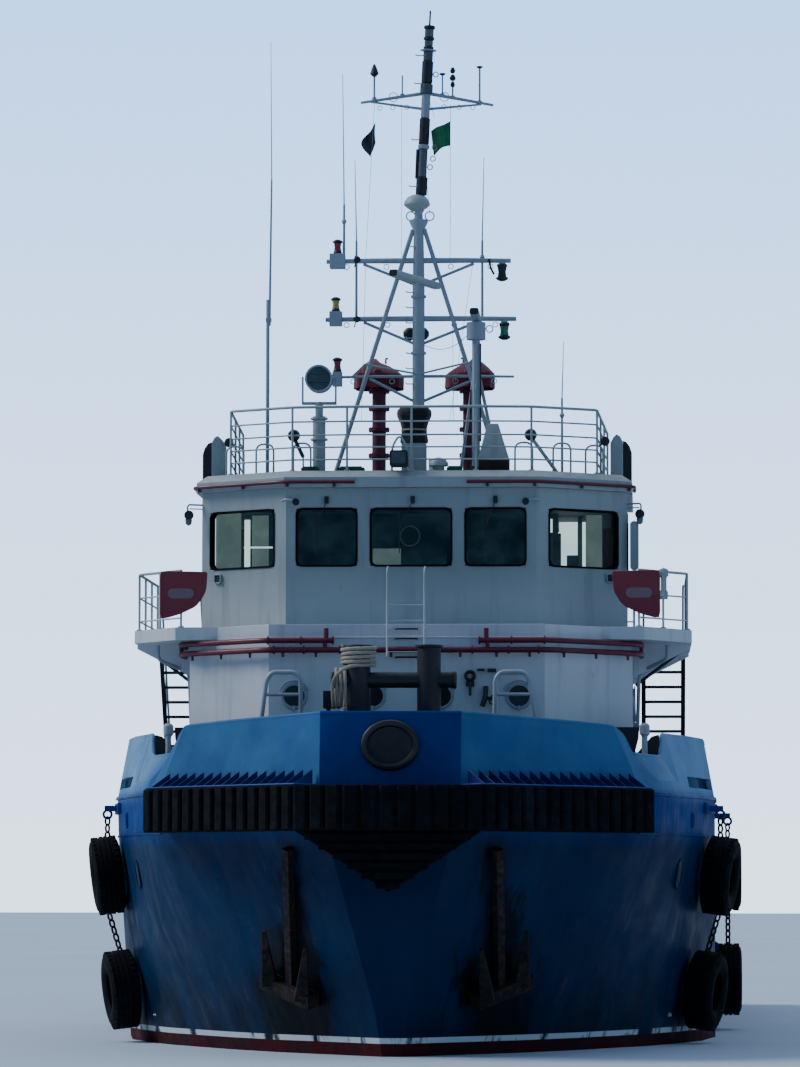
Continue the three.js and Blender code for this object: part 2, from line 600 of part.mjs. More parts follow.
function wheelhouseWalls() {
  const { sill, head } = WINDOW;
  const front = FRONT_WINDOWS.map(([x, half]) =>
    box(x - half, x + half, WHEELHOUSE_FRONT - 100, WHEELHOUSE_FRONT + 250, sill, head));
  const angled = SIDES.map(([, side]) => {
    const opening = new THREE.BoxGeometry(1430, 500, head - sill);
    opening.rotateZ(side * Math.atan2(1100, 1530));
    opening.translate(side * 2920, -9730, (sill + head) / 2);
    return solid(opening);
  });
  const sides = SIDE_WINDOWS.map(([y, half]) => box(-4000, 4000, y - half, y + half, sill, head));
  const back = [-2100, 2100].map((x) =>
    box(x - 900, x + 900, WHEELHOUSE_BACK - 200, WHEELHOUSE_BACK + 100, sill, head));
  const { y, half, bottom, top } = SIDE_DOOR;
  const doors = box(-4000, 4000, y - half, y + half, bottom, top);
  return cut(ring(WHEELHOUSE_OUTLINE, WALL, BRIDGE_DECK, ROOF_UNDERSIDE),
    [...front, ...angled, ...sides, ...back, doors]);
}

// Panes: a band of glass inside the wall before the side doors, and one behind them
function wheelhouseGlass(from, to) {
  const outer = inset(WHEELHOUSE_OUTLINE, WALL + SEAT);
  const band = ring(outer, 12, WINDOW.sill - 40, WINDOW.head + 40);
  const span = box(-4000, 4000, from, to, 8000, 9200);
  return band.intersect(span);
}

function wheelhouseDoor(side) {
  const { y, half, bottom, top } = SIDE_DOOR;
  const [skin, inner] = [side * 3660, side * 3605];
  const leaf = box(inner, skin, y - half + DOOR_GAP, y + half - DOOR_GAP, bottom + DOOR_GAP, top - DOOR_GAP);
  const light = box(side * 3500, side * 3800, y - 230, y + 230, 8150, 8950);
  const handle = box(side * 3650, side * 3710, y + half - 220, y + half - 90, 8000, 8040);
  const hinges = [7500, 8900].map((z) =>
    box(side * 3615, side * 3650, y - half + SEAT, y - half + 40, z - 60, z + 60));
  return join([cut(leaf, [light]), handle, ...hinges]);
}

// Helm console and chair on a low plinth
function helmConsole() {
  const plinth = box(-1500, 1500, -9500, -7500, BRIDGE_DECK, BRIDGE_DECK + 60);
  const desk = sidePrism([[-9500, 7050], [-9500, 8050], [-9250, 8150], [-8750, 7950], [-8750, 7050]],
    -1500, 1500);
  const pedestal = bar('z', [0, -8000, 7250], 70, 400, 8);
  const seat = box(-280, 280, -8260, -7740, 7430, 7560);
  const back = box(-260, 260, -7850, -7740, 7500, 8250);
  return join([plinth, desk, pedestal, seat, back]);
}

// Wheelhouse roof: a fascia that slopes back, with the pedestals and the sidelight housings on it
const ROOF_SET_BACK = 200;
const ROOF_PIPE = [[950, -10470], [2170, -10470], [3790, -9290], [3790, -8300]];
const ROOF_PIPE_BRACKETS = [[1300, -10470], [2100, -10470], [2900, -9930], [3740, -9290]];
const ROOF_BOXES = [
  // x, y, width, depth, height
  [-1750, -9800, 300, 300, 110], [-1050, -9800, 460, 300, 110], [760, -9800, 180, 300, 110],
];

function wheelhouseRoof() {
  const half = [[2160, -10420], [3760, -9260], [3760, -4780]];
  const slab = loft([[ROOF_UNDERSIDE, 0], [ROOF_UNDERSIDE + 40, 0], [ROOF, ROOF_SET_BACK]]
    .map(([z, back]) => bothSides(inset(half, back)).map(([x, y]) => [x, y, z])));
  const housings = SIDES.flatMap(([, side]) => [
    frontPrism([[side * 3400, ROOF - 10], [side * 3400, 10300], [side * 3480, 10470], [side * 3620, 10500],
      [side * 3700, 10430], [side * 3745, 10300], [side * 3745, ROOF_UNDERSIDE + 60]], -8250, -8200),
    box(side * 3400, side * 3740, -8210, -7700, ROOF_UNDERSIDE + 60, 10250),
  ]);
  const piping = SIDES.flatMap(([, side]) => [
    pipe(ROOF_PIPE.map(([x, y]) => [side * x, y, 9490]), 30, 8),
    ...ROOF_PIPE_BRACKETS.map(([x, y]) => box(side * (x - 25), side * (x + 25), y, y + 110, 9410, 9520)),
    rod([side * 3700, -9320, 9420], [side * 3860, -9340, 9050], 20, 6),
    bar('y', [side * 3860, -9340, 9000], 82, 130, 12),
    bar('z', [side * 3740, -8050, 9760], 85, 480, 12),
  ]);
  const boxes = ROOF_BOXES.map(([x, y, wide, deep, tall]) =>
    box(x - wide / 2, x + wide / 2, y - deep / 2, y + deep / 2, ROOF - 10, ROOF + tall));
  const locker = loft([[ROOF - 10, 265, 225], [9950, 265, 225], [10560, 75, 90]].map(([z, a, b]) =>
    [[-a, -b], [a, -b], [a, b], [-a, b]].map(([x, y]) => [1385 + x, -9475 + y, z])));
  const vent = turned([[0, -10], [100, -10], [100, 100], [170, 100], [165, 160], [110, 230], [0, 255]],
    12, 'z', [450, -9900, ROOF]);
  const floodlight = join([
    box(-360, -50, -10440, -10220, 9750, 10030),
    box(-240, -170, -10380, -10230, 9460, 9760),
  ]);
  const pads = join([
    bar('z', [-1620, -9500, (ROOF - 10 + 10700) / 2], 110, 10700 - ROOF + 10, 10),
    bar('z', [0, -9200, (ROOF - 10 + 10250) / 2], 180, 10250 - ROOF + 10, 10),
    bar('z', [340, -8600, 9850], 120, 340, 10),
  ]);
  return join([slab, pads, ...housings, ...piping, ...boxes, locker, vent, floodlight]);
}

// Standard compass under its cover
function compass() {
  const base = 10250;
  const profile = [[0, 0], [205, 0], [240, 130], [300, 420], [300, 510], [200, 610], [0, 650]];
  return turned(profile, 16, 'z', [0, -9200, base]);
}

// Rail round the roof, bowed across the front
function roofRail() {
  const half = [[1100, -10150], [2040, -10060], [3170, -9280], [3170, -5060]];
  const route = [...half.slice().reverse(), ...half.map(([x, y]) => [-x, y])];
  const posts = half.flatMap(([x, y]) => [[x, y], [-x, y]]);
  const along = SIDES.flatMap(([, side]) =>
    between([side * 3170, -9280], [side * 3170, -5060], 4).slice(1, -1));
  return join(railing(route, [200, 410, 620, 850, 1100], ROOF, [...posts, [0, -10150], ...along]));
}

// Side stairs from the forecastle deck up to each wing
function sideStairs(side) {
  const foot = [-4650, FORE_DECK];
  const head = [WING_BACK + 60, BRIDGE_DECK];
  const rise = 257;
  const stringers = [3940, 4640].map((x) => {
    const [y0, z0] = foot;
    const [y1, z1] = head;
    return sidePrism([[y0, z0], [y0 + 150, z0], [y1 + 150, z1], [y1, z1]], side * (x - 20), side * (x + 20));
  });
  const treads = [];
  for (let z = FORE_DECK + rise; z < BRIDGE_DECK - 100; z += rise) {
    const y = foot[0] + 75 + ((head[0] - foot[0]) * (z - FORE_DECK)) / (BRIDGE_DECK - FORE_DECK);
    treads.push(box(side * 3940, side * 4640, y - 80, y + 80, z - 20, z));
  }
  return join([...stringers, ...treads]);
}

// Ladder on the front of the house
function frontLadder() {
  const y = HOUSE_FRONT - 300;
  const stringers = SIDES.map(([, side]) => rod([side * 310, y, 6450], [side * 310, y, 7950], 22, 6));
  const rungs = [6520, 6780, 7040, 7300, 7560].map((z) => rod([-310, y, z], [310, y, z], 14, 6));
  const stays = SIDES.flatMap(([, side]) => [6480, 6900].map((z) =>
    box(side * 295, side * 325, y, HOUSE_FRONT - SEAT, z - 15, z + 15)));
  return join([...stringers, ...rungs, ...stays]);
}

// Spray pipes round the front of the house, in two levels joined by stubs
function sprayPipes() {
  const [low, high, radius] = [6560, 6720, 42];
  const half = [[2390, -11960], [3900, -10510], [3900, -9600]];
  const level = (inner, z, side) => [[side * inner, -11960], ...half.map(([x, y]) => [side * x, y])]
    .map(([x, y]) => [x, y, z]);
  const lower = pipe([...level(1, low, STARBOARD).reverse().slice(0, -1), ...level(1, low, PORT).slice(1)],
    radius, 8);
  const upper = SIDES.map(([, side]) => pipe(level(1200, high, side), radius, 8));
  const stubs = SIDES.flatMap(([, side]) => [[1350, -11960], [3900, -10300]].map(([x, y]) =>
    rod([side * x, y, low], [side * x, y, high], 34, 8)));
  const brackets = SIDES.flatMap(([, side]) => [
    ...[700, 1900].map((x) =>
      box(side * x, side * (x + 60), -11960, HOUSE_FRONT - SEAT, low - 20, low + 20)),
    box(side * 3900, side * (HOUSE_HALF + SEAT), -10200, -10140, low - 20, low + 20),
  ]);
  return join([lower, ...upper, ...stubs, ...brackets]);
}

// Mast: a column on three legs, with four yards and a platform for the main scanner
const MAST_Y = -7600;
const YARDS = [
  // z, half length, foot of its braces, shift to port
  [11580, 1590, 11150, 90], [12600, 1680, 12170, 40], [13630, 1625, 13220, 0], [16400, 1170, 15950, 150],
];
const POLE_BLOCKS = [
  // low, high, radius
  [14800, 15120, 100], [15700, 16170, 92], [16600, 16780, 112], [16790, 17190, 98], [17370, 17400, 146],
  [17560, 17620, 95], [17760, 17820, 100],
];
const AERIALS = [
  // x, top of the pole, radius of the head
  [-790, 16930, 79], [-294, 16850, 30], [416, 16900, 50], [597, 16720, 60], [1074, 17000, 55],
];
const LAMP = [[0, 0], [75, 0], [62, 0.24], [55, 0.48], [62, 0.72], [88, 0.8], [80, 0.98], [0, 1]];
const YARD_LAMPS = [
  // x, height of the foot, width of the box, height of the lamp, which hangs if negative
  [-1430, 13760, 270, 265], [-1460, 12740, 220, 265], [-1430, 11670, 170, 265], [1470, 13600, 120, -300],
  [1510, 12560, 120, -300],
];
const MAIN_SCANNER = { x: 0, y: -8820, z: 13150, half: 1000 };
const SECOND_SCANNER = { x: 1060, y: -9000, z: 12450, half: 1000 };

function mast() {
  const column = turned([[0, 0], [107, 0], [107, 3500], [90, 4300], [170, 4490], [170, 4650], [0, 4660]],
    14, 'z', [0, MAST_Y, ROOF]);
  const poleX = (z) => 20 + (z - 14300) * 0.0487;
  const pole = rod([poleX(14300), MAST_Y, 14300], [poleX(MAST_TOP), MAST_Y, MAST_TOP], 62, 8);
  const blocks = POLE_BLOCKS.map(([low, high, radius]) =>
    rod([poleX(low), MAST_Y, low], [poleX(high), MAST_Y, high], radius, 10));
  const aerials = AERIALS.flatMap(([x, top, head]) => [
    rod([x, MAST_Y, YARDS[3][0]], [x, MAST_Y, top], 24, 6),
    turned([[0, -20], [head * 0.6, 0], [head, 60], [head * 0.4, 160], [0, 170]], 8, 'z', [x, MAST_Y, top]),
  ]);
  const lamps = YARD_LAMPS.flatMap(([x, z, wide, tall]) => [
    box(x - wide / 2, x + wide / 2, MAST_Y - wide / 2, MAST_Y + wide / 2, z - (tall > 0 ? 250 : 10), z + 10),
    turned(LAMP.map(([r, h]) => [r, h * tall]), 10, 'z', [x, MAST_Y, z]),
  ]);
  const dome = turned([[0, 0], [235, 0], [190, 110], [90, 175], [0, 190]], 12, 'z', [-30, MAST_Y, 14630]);
  const legs = SIDES.map(([, side]) =>
    rod([side * 1500, MAST_Y + 1500, ROOF + 60], [side * 60, MAST_Y + 60, 14200], 52, 8));
  const feet = SIDES.map(([, side]) =>
    box(side * 1380, side * 1620, MAST_Y + 1380, MAST_Y + 1620, ROOF, ROOF + 90));
  const yards = YARDS.flatMap(([z, half, foot, shift]) => [
    rod([shift - half, MAST_Y, z], [shift + half, MAST_Y, z], 38, 6),
    ...SIDES.map(([, side]) =>
      rod([side * half * 0.6 + shift, MAST_Y, z], [shift * 0.6, MAST_Y, foot], 24, 6)),
  ]);
  const balls = [-160, 60].map((x) =>
    turned([[0, -120], [75, -95], [120, 0], [75, 95], [0, 120]], 10, 'z', [x, MAST_Y + 90, 12360]));
  const { y, z } = MAIN_SCANNER;
  const shelf = box(-230, 230, y - 250, MAST_Y, z - 420, z - 370);
  const prop = rod([0, y - 150, z - 400], [0, MAST_Y, z - 1050], 36, 6);
  const gearbox = bar('z', [0, y, z - 230], 165, 300, 12);
  return join([column, pole, ...blocks, dome, ...legs, ...feet, ...yards, ...aerials, ...lamps, ...balls,
    shelf, prop, gearbox]);
}

function scanner({ x, y, z, half }, turn) {
  const arm = new THREE.BoxGeometry(2 * half, 160, 130);
  arm.rotateZ(turn);
  arm.translate(x, y, z + 65);
  return join([solid(arm), bar('z', [x, y, z - 40 + SEAT / 2], 90, 80 - SEAT, 10)]);
}

// Second radar post, in front of the mast on the port side
function radarPost() {
  const { x, y, z } = SECOND_SCANNER;
  const top = z - 80;
  const post = rod([x, y, ROOF], [x, y, top - 250], 75, 8);
  const stays = [[-300, 500], [400, 350]].map(([dx, dy]) =>
    rod([x + dx, y + dy, ROOF + 40], [x, y, 11700], 30, 6));
  const base = box(x - 380, x + 480, y - 120, y + 600, ROOF, ROOF + 60);
  return join([base, post, ...stays, bar('z', [x, y, top - 150], 165, 300, 12)]);
}

// Searchlight: a yoke that pans on its pedestal, and a lamp that tilts in the yoke
const SEARCHLIGHT = { x: -1620, y: -9500, seat: 10700, z: 11340, radius: 230, arm: 270 };

function searchlightYoke() {
  const { x, y, seat, z, arm } = SEARCHLIGHT;
  const post = bar('z', [x, y, (seat + SEAT + seat + 250) / 2], 70, 250 - SEAT, 10);
  const cross = box(x - arm - 30, x + arm + 30, y - 40, y + 40, seat + 200, seat + 250);
  const arms = [-1, 1].map((hand) =>
    box(x + hand * arm, x + hand * (arm + 30), y - 40, y + 40, seat + 220, z + 50));
  return join([post, cross, ...arms]);
}

function searchlightLamp() {
  const { x, y, z, radius, arm } = SEARCHLIGHT;
  const profile = [[0, -180], [radius, -180], [radius, 60], [radius * 0.6, 190], [0, 210]];
  const drum = turned(profile, 16, 'y', [x, y, z]);
  return join([drum, bar('x', [x, y, z], 25, 2 * (arm - SEAT), 8)]);
}

// Fire monitors: risers on the roof joined by a header, and a covered head on each
const MONITOR = { x: 820, y: -5300, riser: 125, seat: 11600, top: 12170, radius: 540 };

function monitorRisers() {
  const { x, y, riser, seat } = MONITOR;
  const risers = SIDES.map(([, side]) => bar('z', [side * x, y, (ROOF + seat) / 2], riser, seat - ROOF, 12));
  return join([...risers, bar('x', [0, y, ROOF + 350], 90, 2 * x, 8)]);
}

function monitorHead(side) {
  const { x, y, seat, top, radius } = MONITOR;
  const profile = [[0, seat + SEAT], [radius * 0.85, seat + SEAT], [radius, seat + 80],
    [radius * 0.95, seat + 260], [radius * 0.62, top - 90], [radius * 0.25, top], [0, top]];
  return turned(profile, 14, 'z', [side * x, y, 0]);
}

// Funnels: two stacks with louvres, rising from one low casing on the bridge deck
const LOUVRES = [8000, 8120, 8240, 8360, 8480, 8600, 8720, 8840];

function funnels() {
  const [front, back, top, rake] = [-850, 120, 10150, 60];
  const casing = box(-3450, 3450, front, back, BRIDGE_DECK, BRIDGE_DECK + 700);
  const stacks = SIDES.flatMap(([, side]) => [
    loft([[BRIDGE_DECK + 50, 0], [top, rake]].map(([z, shift]) => [[2450, front], [3450, front], [3450, back],
      [2450, back]].map(([x, y]) => [side * x, y + shift, z]))),
    ...[2750, 3150].map((x) => bar('z', [side * x, (front + back) / 2, top + 50], 120, 300, 8)),
    ...LOUVRES.map((z) => box(side * 3440, side * 3490, front + 180, back - 120, z, z + 55)),
  ]);
  return join([casing, ...stacks]);
}

// Life rafts in a rack on the bridge deck, port side
function lifeRafts() {
  const rack = box(2000, 3400, -4300, -3300, BRIDGE_DECK, BRIDGE_DECK + 60);
  const cradles = [2100, 3240].map((x) => box(x, x + 60, -4250, -3350, BRIDGE_DECK + 40, BRIDGE_DECK + 300));
  const canisters = [-4060, -3540].map((y) => bar('x', [2700, y, BRIDGE_DECK + 480], 240, 1300, 12));
  return join([rack, ...cradles, ...canisters]);
}

// Rescue boat in its cradle, starboard side of the bridge deck
function rescueBoat() {
  const [x, bow, back] = [-2800, -4750, -1480];
  const sections = [[bow, 60, 120], [bow + 450, 480, 60], [bow + 1200, 650, 0], [back, 600, 0]];
  const hullForm = loft(sections.map(([y, half, lift]) => [[x - half, y, 8150],
    [x - half * 0.9, y, 7800 + lift], [x, y, 7500 + lift], [x + half * 0.9, y, 7800 + lift],
    [x + half, y, 8150]]));
  const well = box(x - 350, x + 350, bow + 900, back - 150, 7950, 8300);
  const cradle = [-3900, -2400].map((y) => box(x - 450, x + 450, y, y + 80, BRIDGE_DECK, 7720));
  const keel = box(x - 60, x + 60, -3900, -2320, BRIDGE_DECK, 7560);
  return join([cut(hullForm, [well]), ...cradle, keel]);
}

// Davit that slews the rescue boat over the side
const DAVIT = { x: -3300, y: -1200 };

function davit() {
  const { x, y } = DAVIT;
  const post = bar('z', [x, y, BRIDGE_DECK + SEAT + 1050], 110, 2100, 10);
  const foot = bar('z', [x, y, BRIDGE_DECK + SEAT + 60], 180, 120, 12);
  const jib = pipe([[x, y, 8900], [x + 80, y - 350, 9230], [x + 550, y - 2500, 9300]], 75, 8);
  const fall = rod([x + 530, y - 2400, 9290], [x + 530, y - 2400, 8600], 18, 6);
  return join([post, foot, jib, fall]);
}

// Working deck: timber sheathing, tow pins, capstans and the hatch lid
function deckSheathing() {
  const planks = box(-3900, 3900, 5200, 15600, MAIN_DECK, MAIN_DECK + 70);
  const { x, y, half } = HATCH;
  return cut(planks, [box(x - half - 30, x + half + 30, y - 1100, y + half + 30, MAIN_DECK - 50,
    MAIN_DECK + 200)]);
}

function hatchLid() {
  const { x, y, half, coaming } = HATCH;
  const seat = MAIN_DECK + coaming;
  const lid = box(x - half - 30, x + half + 30, y - half - 30, y + half + 30, seat + SEAT, seat + 60);
  const handle = box(x - 120, x + 120, y + half - 130, y + half - 100, seat + 50, seat + 120);
  return join([lid, handle]);
}

function towPins() {
  const plate = box(-1000, 1000, 15800, 16600, MAIN_DECK, MAIN_DECK + 60);
  const pins = SIDES.map(([, side]) =>
    turned([[0, 0], [130, 0], [130, 620], [180, 640], [180, 720], [0, 760]], 12, 'z',
      [side * 280, 16350, MAIN_DECK + 40]));
  const fork = cut(box(-330, 330, 15850, 15980, MAIN_DECK + 40, MAIN_DECK + 480),
    [box(-70, 70, 15800, 16050, MAIN_DECK + 220, MAIN_DECK + 600)]);
  return join([plate, ...pins, fork]);
}

const CAPSTAN = { x: 4300, y: 14600 };

function capstan(side) {
  const profile = [[0, 0], [300, 0], [300, 180], [190, 260], [160, 520], [230, 700], [230, 760], [0, 780]];
  return turned(profile, 14, 'z', [side * CAPSTAN.x, CAPSTAN.y, MAIN_DECK + SEAT]);
}

function sternRoller() {
  const { x, y, z, radius } = ROLLER;
  const end = x + 50 - SEAT;
  return turned([[0, -end], [140, -end], [140, -x + 10], [radius, -x + 10], [radius, x - 10], [140, x - 10],
    [140, end], [0, end]], 18, 'x', [0, y, z]);
}

// Propellers in their nozzles, and the rudders behind them
const NOZZLE = { inner: 1000, outer: 1130, front: 13650, back: 14750 };
const BLADES = 4;

function propeller(side) {
  const [x, y, z] = [side * SHAFT_X, HUB_FRONT, SHAFT_Z];
  const hub = turned([[0, 0], [210, 0], [230, 300], [170, 800], [60, 1000], [0, 1010]], 12, 'y', [x, y, z]);
  const stations = [
    // radius, half chord, half thickness
    [150, 120, 55], [500, 300, 40], [800, 330, 28], [950, 200, 16],
  ];
  const blades = Array.from({ length: BLADES }, (_, i) => {
    const turn = (i * 2 * Math.PI) / BLADES;
    return loft(stations.map(([radius, half, thick]) => {
      const pitch = Math.atan2(900, 2.6 * radius);
      const [c, s] = [Math.cos(pitch), Math.sin(pitch)];
      return [[-half, 0], [0, thick], [half, 0], [0, -thick]].map(([u, v]) => {
        const [across, along] = [u * c - v * s, u * s * 0.9 + v * c + 400];
        return [x + across * Math.cos(turn) + radius * Math.sin(turn), y + along,
          z - across * Math.sin(turn) + radius * Math.cos(turn)];
      });
    }));
  });
  return join([hub, ...blades]);
}

function nozzle(side) {
  const { inner, outer, front, back } = NOZZLE;
  const profile = [[inner + 60, front], [outer, front + 120], [outer - 60, back], [inner, back],
    [inner, front + 350], [inner + 60, front]];
  const band = turned(profile, 24, 'y', [side * SHAFT_X, 0, SHAFT_Z]);
  const headbox = box(side * SHAFT_X - 350, side * SHAFT_X + 350, front + 150, back - 200,
    SHAFT_Z + inner + 30, COUNTER_Z - SEAT);
  return join([band, headbox]);
}

const RUDDER = { y: 15350, top: -1060, bottom: -3180 };

function rudder(side) {
  const { y, top, bottom } = RUDDER;
  const section = [[0, -280], [110, 0], [70, 500], [15, 1100], [-15, 1100], [-70, 500], [-110, 0]];
  const blade = planPrism(section.map(([x, dy]) => [side * SHAFT_X + x, y + dy]), bottom, top);
  const stock = bar('z', [side * SHAFT_X, y, (top - 100 + COUNTER_Z - SEAT) / 2], 85,
    COUNTER_Z - SEAT - top + 100, 10);
  return join([blade, stock]);
}

// The scene graph: one named mesh for each piece
const tug = new THREE.Group();

function add(name, piece, material) {
  const { vertProperties, triVerts } = piece.getMesh();
  const geometry = new THREE.BufferGeometry();
  geometry.setAttribute('position', new THREE.BufferAttribute(vertProperties, 3));
  geometry.setIndex(new THREE.BufferAttribute(triVerts, 1));
  geometry.computeVertexNormals();
  const mesh = new THREE.Mesh(geometry, material);
  mesh.name = name;
  tug.add(mesh);
}

add('hull', hull(), HULL_BLUE);
add('fore_bulwark', foreBulwark(), HULL_BLUE);
add('bow_fender', bowFender(), FENDER_BLACK);
add('bow_bitt', bowBitt(), FITTING_BLACK);
add('windlass_frame', windlassFrame(), HOUSE_WHITE);
add('windlass_drum', winchDrum(WINDLASS), FITTING_BLACK);
add('deckhouse_walls', deckhouseWalls(), HOUSE_WHITE);
add('deckhouse_door', houseDoor(), HOUSE_WHITE);
add('bridge_deck', bridgeDeck(), HOUSE_WHITE);
add('bridge_rail', bridgeRail(), HOUSE_WHITE);
add('break_rail', breakRail(), HOUSE_WHITE);
add('wheelhouse_walls', wheelhouseWalls(), HOUSE_WHITE);
add('wheelhouse_glass_front', wheelhouseGlass(-11000, SIDE_DOOR.y - SIDE_DOOR.half - 10), GLASS);
add('wheelhouse_glass_aft', wheelhouseGlass(SIDE_DOOR.y + SIDE_DOOR.half + 10, -4000), GLASS);
add('wheelhouse_roof', wheelhouseRoof(), HOUSE_WHITE);
add('helm_console', helmConsole(), CONSOLE_GREY);
add('roof_rail', roofRail(), HOUSE_WHITE);
add('compass', compass(), FITTING_BLACK);
add('front_ladder', frontLadder(), HOUSE_WHITE);
add('spray_pipes', sprayPipes(), PIPE_RED);
add('mast', mast(), MAST_GREY);
add('main_scanner', scanner(MAIN_SCANNER, 1.22), HOUSE_WHITE);
add('radar_post', radarPost(), MAST_GREY);
add('second_scanner', scanner(SECOND_SCANNER, Math.PI / 2), HOUSE_WHITE);
add('searchlight_yoke', searchlightYoke(), MAST_GREY);
add('searchlight_lamp', searchlightLamp(), MAST_GREY);
add('monitor_risers', monitorRisers(), PIPE_RED);
add('funnels', funnels(), HULL_BLUE);
add('life_rafts', lifeRafts(), HOUSE_WHITE);
add('rescue_boat', rescueBoat(), ORANGE);
add('davit', davit(), HOUSE_WHITE);
add('deck_sheathing', deckSheathing(), TIMBER);
add('hatch_lid', hatchLid(), DECK_GREEN);
add('tow_winch_frame', winchFrame(TOW_WINCH), WINCH_BLUE);
add('tow_winch_drum', winchDrum(TOW_WINCH), STEEL);
add('tow_pins', towPins(), STEEL);
add('stern_roller', sternRoller(), STEEL);

for (const [label, side] of SIDES) {
  add(`aft_bulwark_${label}`, aftBulwark(side), HULL_BLUE);
  add(`tyre_fenders_${label}`, tyreFenders(side), FENDER_BLACK);
  add(`anchor_${label}`, anchor(side), ANCHOR_BLACK);
  add(`wing_rail_${label}`, wingRail(side), HOUSE_WHITE);
  add(`wheelhouse_door_${label}`, wheelhouseDoor(side), HOUSE_WHITE);
  add(`side_stairs_${label}`, sideStairs(side), HOUSE_WHITE);
  add(`monitor_head_${label}`, monitorHead(side), PIPE_RED);
  add(`capstan_${label}`, capstan(side), WINCH_BLUE);
  add(`propeller_${label}`, propeller(side), BRONZE);
  add(`nozzle_${label}`, nozzle(side), HULL_BLUE);
  add(`rudder_${label}`, rudder(side), HULL_BLUE);
}

export default tug;
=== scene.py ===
"""Anchor-handling tug seen bow on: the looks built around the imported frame, in metres.

The bow points along -Y, port is +X, and Z = 0 is the waterline.
"""

import json
import math

import bmesh
import bpy
import numpy as np
from mathutils import Matrix, Vector

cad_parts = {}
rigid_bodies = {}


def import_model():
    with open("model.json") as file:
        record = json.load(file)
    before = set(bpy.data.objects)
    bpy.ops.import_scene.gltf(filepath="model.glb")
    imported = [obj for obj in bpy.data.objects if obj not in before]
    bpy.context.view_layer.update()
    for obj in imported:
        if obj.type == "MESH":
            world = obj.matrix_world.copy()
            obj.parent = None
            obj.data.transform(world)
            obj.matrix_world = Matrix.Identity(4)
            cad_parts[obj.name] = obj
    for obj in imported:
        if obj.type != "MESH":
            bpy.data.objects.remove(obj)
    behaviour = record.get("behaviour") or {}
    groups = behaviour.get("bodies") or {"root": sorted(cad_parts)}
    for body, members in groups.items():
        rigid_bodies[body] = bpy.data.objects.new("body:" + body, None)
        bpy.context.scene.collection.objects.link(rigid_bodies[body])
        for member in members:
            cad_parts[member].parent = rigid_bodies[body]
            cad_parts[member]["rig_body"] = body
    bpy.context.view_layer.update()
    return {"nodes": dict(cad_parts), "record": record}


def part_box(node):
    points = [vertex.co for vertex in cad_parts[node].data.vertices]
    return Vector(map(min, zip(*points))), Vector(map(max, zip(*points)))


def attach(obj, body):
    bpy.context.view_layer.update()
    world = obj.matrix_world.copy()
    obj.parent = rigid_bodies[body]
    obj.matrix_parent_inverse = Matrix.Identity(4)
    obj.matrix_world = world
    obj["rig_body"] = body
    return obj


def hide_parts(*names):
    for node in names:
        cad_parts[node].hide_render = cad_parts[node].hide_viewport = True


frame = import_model()
NODES = frame["nodes"]

PORT, STARBOARD = 1, -1
SIDES = (("port", PORT), ("starboard", STARBOARD))

# Levels and places that the frame also uses
MAIN_DECK = 1.7
FORE_DECK = 4.15
BRIDGE_DECK = 7.0
ROOF = 9.7
HALF_BEAM = 5.19

# A hair that keeps faces apart where one thing stands on another
HAIR = 0.0003

# Camera: a long lens ahead of the bow, a little to port
IMAGE = (800, 1067)
FOCAL_PIXELS = 4745
CAMERA_PLACE = (3.865, -90.516, 2.631)
CAMERA_TURN_DEG = (94.264, -0.063, 2.887)
SENSOR_MM = 36


def camera():
    """Looks at the bow from far ahead and a little to port, level with the deck and tilted up to the mast."""
    data = bpy.data.cameras.new("camera")
    data.sensor_width = SENSOR_MM
    data.lens = FOCAL_PIXELS / IMAGE[1] * SENSOR_MM
    data.clip_start = 1
    data.clip_end = 500
    eye = bpy.data.objects.new("camera", data)
    eye.location = CAMERA_PLACE
    eye.rotation_euler = [math.radians(angle) for angle in CAMERA_TURN_DEG]
    bpy.context.scene.collection.objects.link(eye)
    bpy.context.scene.camera = eye


# Geometry: each function returns (points, faces)


def circle(count):
    """Angles at an even pitch round a full turn."""
    return [2 * math.pi * k / count for k in range(count)]


def block(x, y, z):
    """A box between (low, high) pairs, given in any order."""
    points = [(a, b, c) for c in z for b in y for a in x]
    faces = [(0, 1, 3, 2), (4, 5, 7, 6), (0, 1, 5, 4), (2, 3, 7, 6), (0, 2, 6, 4), (1, 3, 7, 5)]
    return points, faces


def box_at(centre, size):
    return block(*((c - s / 2, c + s / 2) for c, s in zip(centre, size)))


def prism(outline, axis, low, high):
    """An outline in the plane across an axis, drawn out from low to high."""
    place = {
        "x": lambda a, b, t: (t, a, b),
        "y": lambda a, b, t: (a, t, b),
        "z": lambda a, b, t: (a, b, t),
    }[axis]
    return loft([[place(a, b, t) for a, b in outline] for t in (low, high)])


def loft(rings, closed=False):
    """Skins rings of points; the two ends are capped unless the rings close on themselves."""
    count = len(rings[0])
    points = [tuple(p) for ring in rings for p in ring]
    faces = []
    for r in range(len(rings) if closed else len(rings) - 1):
        after = (r + 1) % len(rings)
        for i in range(count):
            j = (i + 1) % count
            faces.append((r * count + i, r * count + j, after * count + j, after * count + i))
    if not closed:
        faces.append(tuple(range(count)))
        faces.append(tuple((len(rings) - 1) * count + i for i in range(count)))
    return points, faces


